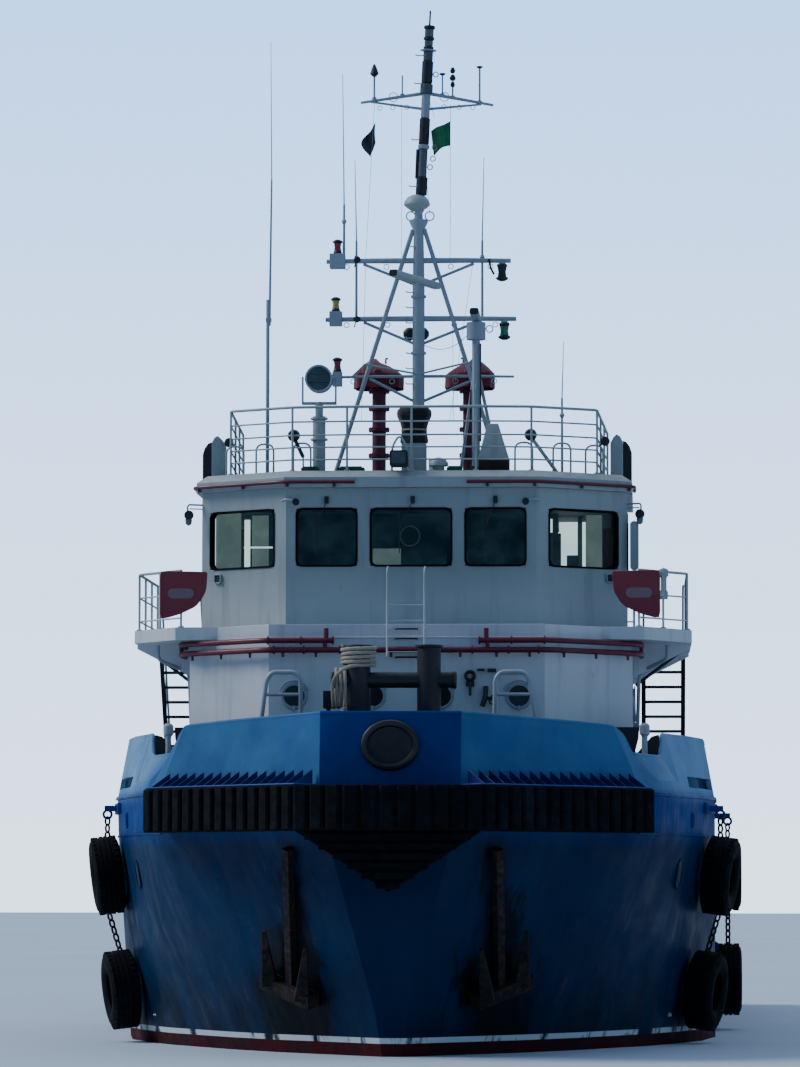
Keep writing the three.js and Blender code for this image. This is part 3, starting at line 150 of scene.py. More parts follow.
def tube(route, radius, sides=10, closed=False):
    """A round bar along a route; radius is one number or one for each point."""
    points = [Vector(p) for p in route]
    count = len(points)
    radii = radius if hasattr(radius, "__len__") else [radius] * count
    headings = []
    for i in range(count):
        before = points[i] - points[i - 1] if i > 0 or closed else Vector()
        after = points[(i + 1) % count] - points[i] if i + 1 < count or closed else Vector()
        headings.append((before.normalized() + after.normalized()).normalized())
    normal = Vector((0, 0, 1)) if abs(headings[0].z) < 0.9 else Vector((0, 1, 0))
    rings = []
    for point, heading, r in zip(points, headings, radii):
        normal = (normal - heading * normal.dot(heading)).normalized()
        across = heading.cross(normal)
        rings.append([point + (normal * math.cos(a) + across * math.sin(a)) * r for a in circle(sides)])
    return loft(rings, closed)


def rod(start, end, radius, sides=10):
    return tube([start, end], radius, sides)


def rounded(route, radius, steps=5):
    """The same route with its corners turned into bends."""
    points = [Vector(p) for p in route]
    smooth = [points[0]]
    for before, corner, after in zip(points, points[1:], points[2:]):
        back, ahead = before - corner, after - corner
        reach = min(radius, back.length * 0.45, ahead.length * 0.45)
        start, end = corner + back.normalized() * reach, corner + ahead.normalized() * reach
        for k in range(steps + 1):
            t = k / steps
            smooth.append(start * (1 - t) ** 2 + corner * 2 * t * (1 - t) + end * t**2)
    return smooth + [points[-1]]


def bent(route, bend, radius, sides=10, steps=5):
    """A round bar along a route whose corners are bends."""
    return tube(rounded(route, bend, steps), radius, sides)


def turned(profile, axis, centre, sides=28):
    """A turned shape: profile rows are (radius, height) and end on the axis or close on themselves."""
    spin = {
        "x": lambda r, a, h: (h, r * math.cos(a), r * math.sin(a)),
        "y": lambda r, a, h: (r * math.sin(a), h, r * math.cos(a)),
        "z": lambda r, a, h: (r * math.cos(a), r * math.sin(a), h),
    }[axis]
    solid = profile[0][0] < 1e-6
    rows = profile[1:-1] if solid else profile
    points = [spin(r, a, h) for r, h in rows for a in circle(sides)]
    faces = []
    for i in range(len(rows) - (1 if solid else 0)):
        low, high = i * sides, ((i + 1) % len(rows)) * sides
        faces += [(low + k, low + (k + 1) % sides, high + (k + 1) % sides, high + k) for k in range(sides)]
    if solid:
        for tip, base in ((profile[0], 0), (profile[-1], (len(rows) - 1) * sides)):
            points.append(spin(0, 0, tip[1]))
            faces += [(base + k, base + (k + 1) % sides, len(points) - 1) for k in range(sides)]
    return [tuple(Vector(p) + Vector(centre)) for p in points], faces


def symmetric(half):
    """A profile whose second half mirrors the first, from its low end up to the middle."""
    return [*half, *[(r, -h) for r, h in reversed(half)]]


def collar(axis, centre, radii, heights, sides=28):
    """A flat ring between an inner and an outer radius."""
    (inner, outer), (low, high) = radii, heights
    return turned([(inner, low), (outer, low), (outer, high), (inner, high)], axis, centre, sides)


def bar(axis, centre, radius, length, sides=16):
    half = length / 2
    return turned([(0, -half), (radius, -half), (radius, half), (0, half)], axis, centre, sides)


def hoop(axis, centre, radius, thick, sides=20):
    """A round ring of round bar."""
    section = [(radius + thick * math.cos(a), thick * math.sin(a)) for a in circle(8)]
    return turned(section, axis, centre, sides)


def rounded_box(width, height, radius, steps=4):
    """Outline of a rectangle with round corners, round the middle."""
    outline = []
    for turn, (sx, sz) in enumerate(((1, 1), (-1, 1), (-1, -1), (1, -1))):
        for k in range(steps + 1):
            a = (turn + k / steps) * math.pi / 2
            outline.append((sx * (width / 2 - radius) + radius * math.cos(a),
                            sz * (height / 2 - radius) + radius * math.sin(a)))
    return outline


def window_ring(width, height, radius, inside, outside, front, back):
    """A frame round a window, facing -Y, which covers the opening's corners."""
    outer = rounded_box(width + 2 * outside, height + 2 * outside, radius + outside)
    inner = rounded_box(width - 2 * inside, height - 2 * inside, radius)
    rows = ((outer, front), (outer, back), (inner, back), (inner, front))
    return loft([[(x, y, z) for x, z in outline] for outline, y in rows], True)


def chain(start, end, link=0.16, wire=0.016):
    """Links along a straight stretch, each turned a quarter from the last."""
    start, end = Vector(start), Vector(end)
    count = max(2, round((end - start).length / (link * 0.72)))
    heading = (end - start).normalized()
    side = heading.orthogonal().normalized()
    oval = [(math.cos(a) * link * 0.28, math.sin(a) * link * 0.42) for a in circle(10)]
    links = []
    for i in range(count):
        centre = start.lerp(end, (i + 0.5) / count)
        wide = side if i % 2 else heading.cross(side)
        links.append(tube([centre + wide * u + heading * v for u, v in oval], wire, 6, True))
    return links


def moved(part, matrix):
    points, faces = part
    return [tuple(matrix @ Vector(p)) for p in points], faces


def shifted(part, x, y, z):
    return moved(part, Matrix.Translation((x, y, z)))


def spun(part, angle, axis):
    return moved(part, Matrix.Rotation(angle, 4, axis))


def placed(parts, x, y, z, turn=0.0, lean=0.0, side=1):
    """Parts made round the origin, leant about Y, turned about Z and mirrored for starboard."""
    matrix = Matrix.Translation((x, y, z)) @ Matrix.Diagonal((side, 1, 1, 1))
    matrix = matrix @ Matrix.Rotation(turn, 4, "Z") @ Matrix.Rotation(lean, 4, "Y")
    return [moved(part, matrix) for part in parts]


def mirrored(parts):
    return [([(-x, y, z) for x, y, z in points], faces) for points, faces in parts]


def both(parts):
    return [*parts, *mirrored(parts)]


def on_side(groups, side):
    """Groups drawn for port, mirrored when they are wanted to starboard."""
    return [(material, parts if side == PORT else mirrored(parts)) for material, parts in groups]


def ship_wide(half):
    """A route right across the ship, given its port half from the middle outwards."""
    return [*[(-x, *rest) for x, *rest in reversed(half)], *half]


def fill(shape, groups, first=0):
    """Adds (material, parts) groups to a bmesh, each under its own material index, and lists the materials."""
    for index, (_, parts) in enumerate(groups, first):
        for points, faces in parts:
            corners = [shape.verts.new(p) for p in points]
            for face in faces:
                shape.faces.new([corners[i] for i in face]).material_index = index
    return [material for material, _ in groups]


def finished(shape, name, body, materials, bevel, replaces, crease):
    """Turns a bmesh into an object that rides on a body, smooth but for its sharp edges."""
    bmesh.ops.recalc_face_normals(shape, faces=shape.faces)
    for face in shape.faces:
        face.smooth = True
    for edge in shape.edges:
        edge.smooth = len(edge.link_faces) == 2 and edge.calc_face_angle(0) < math.radians(crease)
    mesh = bpy.data.meshes.new(name)
    for material in materials:
        mesh.materials.append(material)
    shape.to_mesh(mesh)
    shape.free()
    made = bpy.data.objects.new(name, mesh)
    bpy.context.scene.collection.objects.link(made)
    if bevel:
        edge = made.modifiers.new("edges", "BEVEL")
        edge.width = bevel
        edge.segments = 2
        edge.limit_method = "ANGLE"
        edge.angle_limit = math.radians(max(crease, 35))
        edge.harden_normals = True
    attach(made, body)
    if replaces:
        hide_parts(*replaces)
    return made


def piece(name, body, groups, bevel=0.0, replaces=(), crease=35):
    """Makes one object out of (material, parts) groups, which rides on a body."""
    shape = bmesh.new()
    materials = fill(shape, groups)
    return finished(shape, name, body, materials, bevel, replaces, crease)


def refined(node, bevel=0.012, crease=35, top=None, extra=()):
    """A node's own shape with merged facets, rounded edges, a coat for its upper faces, and extra parts."""
    row = next(row for row in frame["record"]["subparts"] if row["node"] == node)
    slot = row["material_slot"]
    shape = bmesh.new()
    shape.from_mesh(NODES[node].data)
    bmesh.ops.remove_doubles(shape, verts=shape.verts, dist=0.0002)
    bmesh.ops.dissolve_limit(shape, angle_limit=math.radians(0.5), verts=shape.verts, edges=shape.edges)
    for face in shape.faces:
        inboard = abs(face.calc_center_median().x) < HALF_BEAM
        face.material_index = int(top is not None and face.normal.z > 0.9 and inboard)
    materials = [SLOT_MATERIALS[slot], top or SLOT_MATERIALS[slot], *fill(shape, extra, 2)]
    body = NODES[node]["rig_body"]
    return finished(shape, node + "_finish", body, materials, bevel, [node], crease)


# Materials


class Nodes:
    """Short names for the nodes of one material."""

    def __init__(self, name):
        self.material = bpy.data.materials.new(name)
        self.material.use_nodes = True
        self.tree = self.material.node_tree
        self.shader = self.tree.nodes["Principled BSDF"]
        self.place = self.tree.nodes.new("ShaderNodeTexCoord").outputs["Object"]

    def link(self, value, socket):
        if isinstance(value, bpy.types.NodeSocket):
            self.tree.links.new(value, socket)
        else:
            socket.default_value = value

    def stretched(self, scale):
        node = self.tree.nodes.new("ShaderNodeMapping")
        node.inputs["Scale"].default_value = scale
        self.link(self.place, node.inputs["Vector"])
        return node.outputs["Vector"]

    def noise(self, scale, detail=4, stretch=None, roughness=0.55):
        node = self.tree.nodes.new("ShaderNodeTexNoise")
        self.link(self.stretched(stretch) if stretch else self.place, node.inputs["Vector"])
        node.inputs["Scale"].default_value = scale
        node.inputs["Detail"].default_value = detail
        node.inputs["Roughness"].default_value = roughness
        return node.outputs["Fac"]

    def voronoi(self, scale, stretch=None, feature="F1"):
        node = self.tree.nodes.new("ShaderNodeTexVoronoi")
        node.feature = feature
        self.link(self.stretched(stretch) if stretch else self.place, node.inputs["Vector"])
        node.inputs["Scale"].default_value = scale
        return node.outputs["Distance"]

    def remap(self, value, low, high, to_low=0.0, to_high=1.0):
        node = self.tree.nodes.new("ShaderNodeMapRange")
        node.interpolation_type = "SMOOTHSTEP"
        self.link(value, node.inputs["Value"])
        for name, number in (("From Min", low), ("From Max", high), ("To Min", to_low), ("To Max", to_high)):
            node.inputs[name].default_value = number
        return node.outputs["Result"]

    def maths(self, operation, first, second=0.0):
        node = self.tree.nodes.new("ShaderNodeMath")
        node.operation = operation
        self.link(first, node.inputs[0])
        self.link(second, node.inputs[1])
        return node.outputs[0]

    def times(self, *values):
        product = values[0]
        for value in values[1:]:
            product = self.maths("MULTIPLY", product, value)
        return product

    def band(self, value, low, high, soft=0.01):
        """One between low and high, and nothing outside."""
        above = self.remap(value, low - soft, low + soft)
        return self.times(above, self.remap(value, high - soft, high + soft, 1.0, 0.0))

    def mix(self, share, first, second):
        node = self.tree.nodes.new("ShaderNodeMix")
        node.data_type = "RGBA"
        self.link(share, node.inputs[0])
        self.link(colour(first), node.inputs[6])
        self.link(colour(second), node.inputs[7])
        return node.outputs[2]

    def axis(self, name):
        node = self.tree.nodes.new("ShaderNodeSeparateXYZ")
        self.link(self.place, node.inputs[0])
        return node.outputs[name]

    def bump(self, height, strength, distance):
        node = self.tree.nodes.new("ShaderNodeBump")
        node.inputs["Strength"].default_value = strength
        node.inputs["Distance"].default_value = distance
        self.link(height, node.inputs["Height"])
        self.link(node.outputs["Normal"], self.shader.inputs["Normal"])

    def finish(self, base, roughness, metallic=0.0):
        self.link(colour(base), self.shader.inputs["Base Color"])
        self.link(roughness, self.shader.inputs["Roughness"])
        self.link(metallic, self.shader.inputs["Metallic"])
        return self.material


def colour(value):
    """Turns an sRGB triple of 0 to 255 into Blender's linear colour, and leaves sockets alone."""
    if isinstance(value, bpy.types.NodeSocket):
        return value
    return tuple((c / 255) ** 2.2 for c in value) + (1,)


RUST = (92, 48, 26)
RUST_PALE = (140, 92, 58)


def coat(n, base, worn, rust, streaks, grime, grime_colour):
    """Ship's paint: faded in patches, with dirt that runs down, rust spots and rust runs."""
    tint = n.mix(n.remap(n.noise(0.5, 5), 0.35, 0.7), base, worn)
    runs = n.remap(n.noise(5.0, 5, (1, 1, 0.09)), 0.5, 0.8)
    tint = n.mix(n.times(runs, grime), tint, grime_colour)
    rusty = n.remap(n.noise(2.6, 8, (1, 1, 0.16), 0.7), 0.62, 0.74)
    tint = n.mix(n.times(rusty, streaks), tint, RUST_PALE)
    spots = n.times(n.remap(n.noise(9.0, 10, None, 0.75), 0.66, 0.72), rust)
    return n.mix(spots, tint, RUST), spots


def ship_finish(n, tint, spots, roughness):
    """Brushed-on paint: faint waves and grain, glossier in patches and dull where it rusts."""
    n.bump(n.maths("ADD", n.times(n.noise(1.6, 2), 6.0), n.noise(60.0, 3)), 0.25, 0.004)
    gloss = n.remap(n.noise(3.0, 6), 0.3, 0.75, roughness - 0.1, roughness + 0.18)
    return n.finish(tint, n.maths("ADD", gloss, n.times(spots, 0.3)))


def paint(name, base, worn, roughness=0.42, rust=0.35, streaks=0.35, grime=0.3, grime_colour=(70, 68, 62)):
    n = Nodes(name)
    tint, spots = coat(n, base, worn, rust, streaks, grime, grime_colour)
    return ship_finish(n, tint, spots, roughness)


WATERLINE = {"boot_top": 0.2, "line_top": 0.29, "stain_top": 1.9}


def anchor_stains_and_shade(n, height):
    """Share of the dark wedge down each bow under the anchors: partly rust and mud that the anchors have left,
    partly painted shade.
    """
    from_shank = n.maths("ABSOLUTE", n.maths("SUBTRACT", n.maths("ABSOLUTE", n.axis("X")), 1.6))
    ragged = n.remap(n.noise(1.7, 6, (1, 1, 0.45), 0.65), 0.3, 0.7, -0.3, 0.3)
    edge = n.maths("SUBTRACT", n.maths("ADD", from_shank, ragged), n.remap(height, 0.2, 3.4, 0.62, 0.12))
    forward = n.remap(n.axis("Y"), -14.6, -14.0, 1.0, 0.0)
    return n.times(n.remap(edge, -0.2, 0.2, 0.92, 0.0), forward, n.remap(height, 3.2, 3.5, 1.0, 0.0))


def hull_paint():
    """Deep blue over a white line and a red boot-top, dented between frames, with painted light and shade: a
    darker coat below the fender as painted shade, lighter side facets at the bow as painted sky reflection,
    paler shoulders that are partly faded and partly painted sunlight, and dark wedges under the anchors that
    are partly rust and partly painted shade.
    """
    n = Nodes("hull_blue")
    height = n.axis("Z")
    tint, spots = coat(n, (1, 50, 112), (2, 64, 130), 0.25, 0.2, 0.35, (4, 28, 48))
    # Painted reflection: the bow's facets outside the middle one are lightened to stand for the bright sky
    # they reflect.
    facets = n.times(n.remap(n.maths("ABSOLUTE", n.axis("X")), 1.08, 1.12), n.remap(height, 4.15, 4.25))
    tint = n.mix(n.times(facets, n.remap(n.noise(1.1, 5), 0.3, 0.65, 0.4, 0.62)), tint, (72, 124, 156))
    # Painted shade: the hull below the fender gets a darker coat for the shade it stands in.
    lower, _ = coat(n, (0, 38, 68), (1, 48, 80), 0.2, 0.2, 0.3, (2, 22, 32))
    tint = n.mix(n.remap(height, 3.2, 3.75, 1.0, 0.0), tint, lower)
    # Partly faded paint, partly painted sunlight: the bulwark above the fender aft of the notches is paler.
    faded_and_sunlit = n.times(n.remap(n.axis("Y"), -13.4, -11.4), n.remap(height, 3.95, 4.4))
    tint = n.mix(n.times(faded_and_sunlit, n.remap(n.noise(1.2, 6), 0.25, 0.6, 0.5, 0.9)), tint, (126, 160, 192))
    scuffs = n.times(n.remap(n.noise(1.3, 9, (1, 0.5, 1.6), 0.75), 0.6, 0.7), n.band(height, 0.6, 3.4, 0.5))
    tint = n.mix(n.times(scuffs, 0.25), tint, (40, 78, 98))
    low = n.remap(height, WATERLINE["line_top"], WATERLINE["stain_top"], 1.0, 0.0)
    tint = n.mix(n.times(low, n.remap(n.noise(1.4, 7, (1, 1, 0.3)), 0.3, 0.7), 0.75), tint, (1, 18, 26))
    # Dark wedges under the anchors: partly rust and mud, partly painted shade.
    tint = n.mix(anchor_stains_and_shade(n, height), tint, (15, 18, 21))
    line = n.band(height, WATERLINE["boot_top"], WATERLINE["line_top"], 0.004)
    broken = n.remap(n.noise(1.1, 6, (1, 1, 0.2), 0.7), 0.42, 0.5)
    tint = n.mix(n.times(line, broken, 0.9), tint, (214, 222, 224))
    under = n.remap(height, WATERLINE["boot_top"] - 0.004, WATERLINE["boot_top"] + 0.004, 1.0, 0.0)
    fouled = n.mix(n.remap(n.noise(2.2, 9, None, 0.7), 0.4, 0.65), (74, 24, 32), (50, 32, 34))
    tint = n.mix(under, tint, fouled)
    frames = n.remap(n.noise(1.0, 2, (0.35, 1.7, 0.35)), 0.3, 0.7)
    plates = n.remap(n.noise(0.8, 3), 0.3, 0.7)
    dents = n.times(n.maths("ADD", frames, plates), 2.0)
    n.bump(n.maths("ADD", dents, n.times(n.noise(40.0, 4), 0.12)), 0.6, 0.012)
    gloss = n.remap(n.noise(2.0, 6), 0.3, 0.75, 0.38, 0.6)
    n.shader.inputs["Specular IOR Level"].default_value = 0.1
    return n.finish(tint, n.maths("ADD", gloss, n.times(n.maths("ADD", spots, under), 0.25)))


def house_paint():
    """Off-white, turning greyer from the bridge deck up: painted shade on the wheelhouse walls."""
    n = Nodes("house_white")
    lower_white, spots = coat(n, (202, 206, 210), (188, 194, 200), 0.35, 0.4, 0.3, (92, 90, 86))
    # Painted shade: a greyer coat for the walls from the bridge deck up.
    upper_shaded, _ = coat(n, (152, 162, 162), (140, 152, 154), 0.3, 0.35, 0.3, (78, 82, 80))
    return ship_finish(n, n.mix(n.remap(n.axis("Z"), 6.9, 8.2), lower_white, upper_shaded), spots, 0.45)


def deck_paint(name, base, worn):
    """Deck paint walked down to bare rusty steel in places."""
    n = Nodes(name)
    tint = n.mix(n.remap(n.noise(0.7, 6), 0.35, 0.7), base, worn)
    walked = n.remap(n.noise(1.7, 9, None, 0.72), 0.56, 0.66)
    tint = n.mix(n.times(walked, 0.7), tint, (98, 84, 72))
    tint = n.mix(n.remap(n.noise(5.0, 9, None, 0.75), 0.62, 0.7), tint, RUST)
    n.bump(n.noise(90.0, 4, None, 0.7), 0.5, 0.003)
    return n.finish(tint, n.remap(n.noise(4.0, 5), 0.3, 0.7, 0.65, 0.9))


def rubber(name, base=(5, 12, 18), worn=(16, 26, 34)):
    n = Nodes(name)
    tint = n.mix(n.remap(n.noise(4.0, 8, None, 0.7), 0.5, 0.75), base, worn)
    tint = n.mix(n.times(n.remap(n.noise(1.2, 6), 0.55, 0.7), 0.25), tint, (34, 46, 54))
    n.shader.inputs["Specular IOR Level"].default_value = 0.15
    n.bump(n.noise(26.0, 8, None, 0.7), 0.5, 0.006)
    return n.finish(tint, n.remap(n.noise(7.0, 4), 0.3, 0.7, 0.72, 0.95))


def metal(name, base, worn, roughness=0.45, metallic=0.8, rust=0.5):
    n = Nodes(name)
    tint = n.mix(n.remap(n.noise(3.0, 8, None, 0.7), 0.35, 0.7), base, worn)
    spots = n.times(n.remap(n.noise(6.0, 9, None, 0.75), 0.5, 0.66), rust)
    tint = n.mix(spots, tint, RUST)
    n.bump(n.noise(40.0, 5, None, 0.7), 0.4, 0.003)
    shine = n.maths("SUBTRACT", metallic, n.times(spots, metallic))
    return n.finish(tint, n.remap(n.noise(9.0, 5), 0.3, 0.7, roughness - 0.1, roughness + 0.2), shine)


def fibre(name, base, worn, twist=(1, 1, 1), rise=0.006):
    """Rope, canvas or bunting: a fine woven surface, dull and a little faded."""
    n = Nodes(name)
    tint = n.mix(n.remap(n.noise(3.0, 6), 0.3, 0.7), base, worn)
    weave = n.voronoi(55.0, twist)
    tint = n.mix(n.times(n.remap(weave, 0.2, 0.8), 0.35), tint, tuple(int(c * 0.6) for c in base))
    n.bump(weave, 0.6, rise)
    n.shader.inputs["Sheen Weight"].default_value = 0.15
    return n.finish(tint, 0.9)


def timber():
    n = Nodes("timber")
    grain = n.noise(9.0, 7, (3.2, 0.25, 1), 0.65)
    tint = n.mix(n.remap(grain, 0.35, 0.65), (112, 88, 64), (70, 56, 44))
    tint = n.mix(n.times(n.remap(n.noise(0.9, 7), 0.5, 0.7), 0.6), tint, (96, 92, 84))
    n.bump(grain, 0.5, 0.006)
    return n.finish(tint, n.remap(grain, 0.3, 0.7, 0.75, 0.95))


def glass(name, tint, alpha, roughness=0.06):
    n = Nodes(name)
    smears = n.remap(n.noise(2.0, 6, (1, 1, 0.3)), 0.4, 0.8, roughness, roughness + 0.25)
    n.bump(n.noise(1.5, 1), 0.1, 0.002)
    n.shader.inputs["Alpha"].default_value = alpha
    return n.finish(n.mix(n.remap(n.noise(3.0, 6), 0.3, 0.8), tint, tuple(c + 14 for c in tint)), smears)


def lit_surface(n, tint, light, roughness):
    """A surface inside the cabin that also gives off the light let in by the windows all round."""
    n.link(tint, n.shader.inputs["Emission Color"])
    n.shader.inputs["Emission Strength"].default_value = light
    return n.finish(tint, roughness)


def cabin_side(name, base, worn):
    """Lining and furniture inside the cabin, which glow with painted daylight."""
    n = Nodes(name)
    tint = n.mix(n.remap(n.noise(1.6, 6, None, 0.65), 0.35, 0.65), base, worn)
    n.bump(n.noise(30.0, 3), 0.2, 0.002)
    return lit_surface(n, tint, 0.8, 0.7)


def daylight():
    """The bright side of the cabin, where the light of the far windows falls."""
    n = Nodes("daylight")
    tint = n.mix(n.remap(n.noise(2.0, 4), 0.3, 0.7), (196, 222, 220), (184, 212, 216))
    n.bump(n.noise(8.0, 3), 0.2, 0.002)
    return lit_surface(n, tint, 1.8, 0.6)


def lamp_glass(name, base):
    n = Nodes(name)
    n.bump(n.voronoi(60.0), 0.4, 0.002)
    pale = tuple(min(255, c + 40) for c in base)
    return n.finish(n.mix(n.remap(n.noise(12.0, 3), 0.3, 0.7), base, pale), 0.2)


HULL_BLUE = hull_paint()
TOP_BLUE = paint("topside_blue", (6, 58, 132), (14, 72, 142), 0.45, 0.45, 0.45, 0.4, (12, 30, 48))
HOUSE_WHITE = house_paint()
# A darker copy of the topside blue: painted shade on the gussets' sides.
GUSSET_BLUE = paint("gusset_blue", (2, 26, 96), (6, 34, 104), 0.45, 0.3, 0.2, 0.3, (8, 20, 40))
MAST_GREY = paint("mast_grey", (150, 162, 170), (134, 147, 156), 0.45, 0.3, 0.25, 0.3)
DECK_GREEN = deck_paint("deck_green", (34, 84, 64), (46, 94, 74))
PIPE_RED = paint("pipe_red", (88, 9, 42), (104, 18, 48), 0.45, 0.2, 0.1, 0.25, (44, 14, 18))
COVER_RED = fibre("cover_red", (92, 16, 38), (112, 28, 50))
COVER_BLACK = fibre("cover_black", (22, 27, 31), (36, 42, 46))
BLACK = paint("black_paint", (15, 20, 27), (26, 32, 40), 0.5, 0.35, 0.1, 0.2, (40, 42, 44))
WINCH_BLUE = paint("winch_blue", (20, 76, 146), (34, 88, 154), 0.5, 0.6, 0.4, 0.4)
ORANGE = paint("orange_moulding", (214, 78, 16), (200, 90, 34), 0.35, 0.0, 0.0, 0.2)
CONSOLE = paint("console_grey", (82, 88, 94), (72, 78, 84), 0.6, 0.0, 0.0, 0.1)
RUBBER = rubber("fender_rubber")
GASKET = rubber("window_gasket", (12, 14, 16), (30, 32, 34))
STEEL = metal("worn_steel", (120, 116, 110), (96, 90, 84))
IRON = metal("anchor_iron", (24, 22, 22), (36, 30, 27), 0.75, 0.2, 0.6)
BRONZE = metal("bronze", (176, 132, 66), (150, 112, 58), 0.35, 0.9, 0.1)
TIMBER = timber()
ROPE = fibre("rope", (150, 140, 122), (176, 168, 150), (1, 1, 3), 0.01)
BUNTING_GREEN = fibre("bunting_green", (18, 112, 70), (34, 128, 84))
BUNTING_DARK = fibre("bunting_dark", (44, 48, 54), (66, 70, 76))
GLASS = glass("window_glass", (20, 42, 48), 0.17)
CABIN_DARK = cabin_side("cabin_dark", (14, 26, 34), (34, 52, 60))
CABIN_PALE = cabin_side("cabin_pale", (104, 126, 120), (88, 108, 104))
DAYLIGHT = daylight()
GLASS_DARK = glass("porthole_glass", (26, 40, 42), 1.0, 0.1)
SCREEN_RED = paint("screen_red", (126, 46, 58), (108, 38, 52), 0.6, 0.2, 0.1, 0.3, (56, 24, 32))
SCREEN_FADED = paint("screen_faded", (124, 100, 108), (108, 82, 92), 0.7, 0.1, 0.1, 0.3, (70, 44, 52))
LENS = glass("lens_glass", (66, 80, 84), 0.9)
LAMP_RED = lamp_glass("lamp_red", (112, 14, 34))
LAMP_GREEN = lamp_glass("lamp_green", (10, 84, 58))
LAMP_YELLOW = lamp_glass("lamp_yellow", (150, 134, 44))

SLOT_MATERIALS = {
    "hull_paint": HULL_BLUE,
    "house_paint": HOUSE_WHITE,
    "mast_paint": MAST_GREY,
    "deck_paint": DECK_GREEN,
    "red_paint": PIPE_RED,
    "black_paint": BLACK,
    "winch_paint": WINCH_BLUE,
    "fender_rubber": RUBBER,
    "anchor_iron": IRON,
    "worn_steel": STEEL,
    "bronze": BRONZE,
    "deck_timber": TIMBER,
    "window_glass": GLASS,
    "console_plastic": CONSOLE,
    "orange_moulding": ORANGE,
}


def dress_frame():
    """Gives every node of the frame the material of its slot."""
    for row in frame["record"]["subparts"]:
        mesh = NODES[row["node"]].data
        mesh.materials.clear()
        mesh.materials.append(SLOT_MATERIALS[row["material_slot"]])


# Hull and bow

BULWARK = (
    # bottom x, bottom y, top x, top y, top z of the port half, from the stem aft
    (1.10, -17.00, 1.10, -16.80, 5.33),
    (3.00, -15.05, 2.70, -15.17, 5.25),
    (3.90, -14.00, 3.45, -14.40, 5.20),
    (4.031, -13.55, 3.62, -13.64, 5.07),
    (4.165, -13.09, 3.76, -13.06, 4.79),
    (4.225, -12.89, 4.15, -12.89, 4.38),
    (4.56, -11.74, 4.50, -11.74, 4.38),
    (4.60, -11.60, 4.29, -11.60, 5.15),
    (4.93, -10.15, 4.70, -10.15, 5.15),
    (5.15, -8.70, 4.96, -8.70, 5.15),
    (5.19, -6.50, 5.01, -6.50, 5.15),
    (5.19, 0.78, 5.01, 0.78, 5.15),
)
NOTCH_FILL = (
    # corners of the plates that bring the roller notch's sill up, on the port half
    ((4.15, -12.89, 4.37), (4.5, -11.74, 4.37), (4.24, -11.93, 4.77), (3.76, -13.06, 4.79)),
    ((4.5, -11.74, 4.37), (4.29, -11.6, 5.15), (4.262, -11.78, 5.15), (4.24, -11.93, 4.77)),
)
NOTCH_INWARD = Vector((-0.957, 0.29, 0.0))
KNUCKLE = (
    # x, y of the hull side at the deck edge and at the knuckle below it
    (1.10, -17.00, 1.00, -16.95),
    (3.00, -15.05, 2.95, -14.903),
    (3.90, -14.00, 3.85, -14.05),
    (4.60, -11.60, 4.57, -11.60),
    (4.93, -10.15, 4.90, -10.15),
    (5.15, -8.70, 5.13, -8.70),
    (5.19, -6.50, 5.19, -6.50),
    (5.19, 0.70, 5.19, 0.70),
)
KNUCKLE_Z = 3.5
STAY = {"foot": 4.16, "top": 5.1, "pitch": 1.15}
BOW_STAYS = ((1.1, -16.8), (3.0, -14.95), (3.8, -14.05))
FENDER = {"low": 3.5, "high": 4.2, "rib_pitch": 0.3, "gusset_pitch": 0.225, "gusset": 0.26}
FENDER_INNER = ((1.10, -17.0003), (3.0003, -15.0503), (3.7603, -14.1633))
FENDER_OUTER = ((0.70, -18.00), (1.45, -17.72), (3.38, -15.39), (4.095, -14.44))


def deck_edge(y):
    """Half breadth of the deck edge at a place along the ship."""
    return float(np.interp(y, [row[1] for row in BULWARK], [row[0] for row in BULWARK]))


def along(route, pitch):
    """Places at an even pitch along a plan route, with the direction of the stretch they lie on."""
    places = []
    for start, end in zip(route, route[1:]):
        start, end = Vector(start), Vector(end)
        count = max(1, round((end - start).length / pitch))
        heading = (end - start).normalized()
        places += [(start.lerp(end, (i + 0.5) / count), heading) for i in range(count)]
    return places


FENDER_TOP = ((1.13, -17.0), (3.0, -15.06), (3.76, -14.18))
FENDER_SHELF = ((1.1, -17.01), (3.0, -15.06), (3.76, -14.18), (4.07, -14.43), (3.36, -15.35), (1.44, -17.66))
TOE = {"tip": 2.56, "half": 1.37, "front": -17.745, "treads": 6, "pitch": 0.15}


def hull():
    refined("hull", 0.02, 38, DECK_GREEN)
    bars = [tube([(x, y, FORE_DECK) for x, y, _, _ in KNUCKLE], 0.035, 8)]
    bars.append(tube([(x, y, KNUCKLE_Z) for _, _, x, y in KNUCKLE[2:]], 0.022, 8))
    piece("knuckle_bars", "ship", [(HULL_BLUE, both(bars))])


def web(place, heading, outward, rows, half):
    """A thin upright plate square to a plan route; rows are (distance outward, z)."""
    corners = [(place + outward * reach, z) for reach, z in rows]
    return loft([[(*(p + heading * t), z) for p, z in corners] for t in (-half, half)])


def bulwark_stays():
    """Tapered stays inside the bulwark, along the side and along the faceted bow."""
    foot, top = STAY["foot"], STAY["top"]
    stays = []
    for y in np.arange(-10.9, 0.6, STAY["pitch"]):
        x = deck_edge(y) - 0.09
        section = [(x, foot), (x - 0.17, top), (x - 0.24, top), (x - 0.62, foot)]
        stays.append(prism(section, "y", y, y + 0.015))
    for place, heading in along(BOW_STAYS, 0.75):
        inward = Vector((-heading.y, heading.x))
        stays.append(web(place, heading, inward, ((0.1, foot), (0.22, top), (0.6, foot)), 0.008))
    return stays


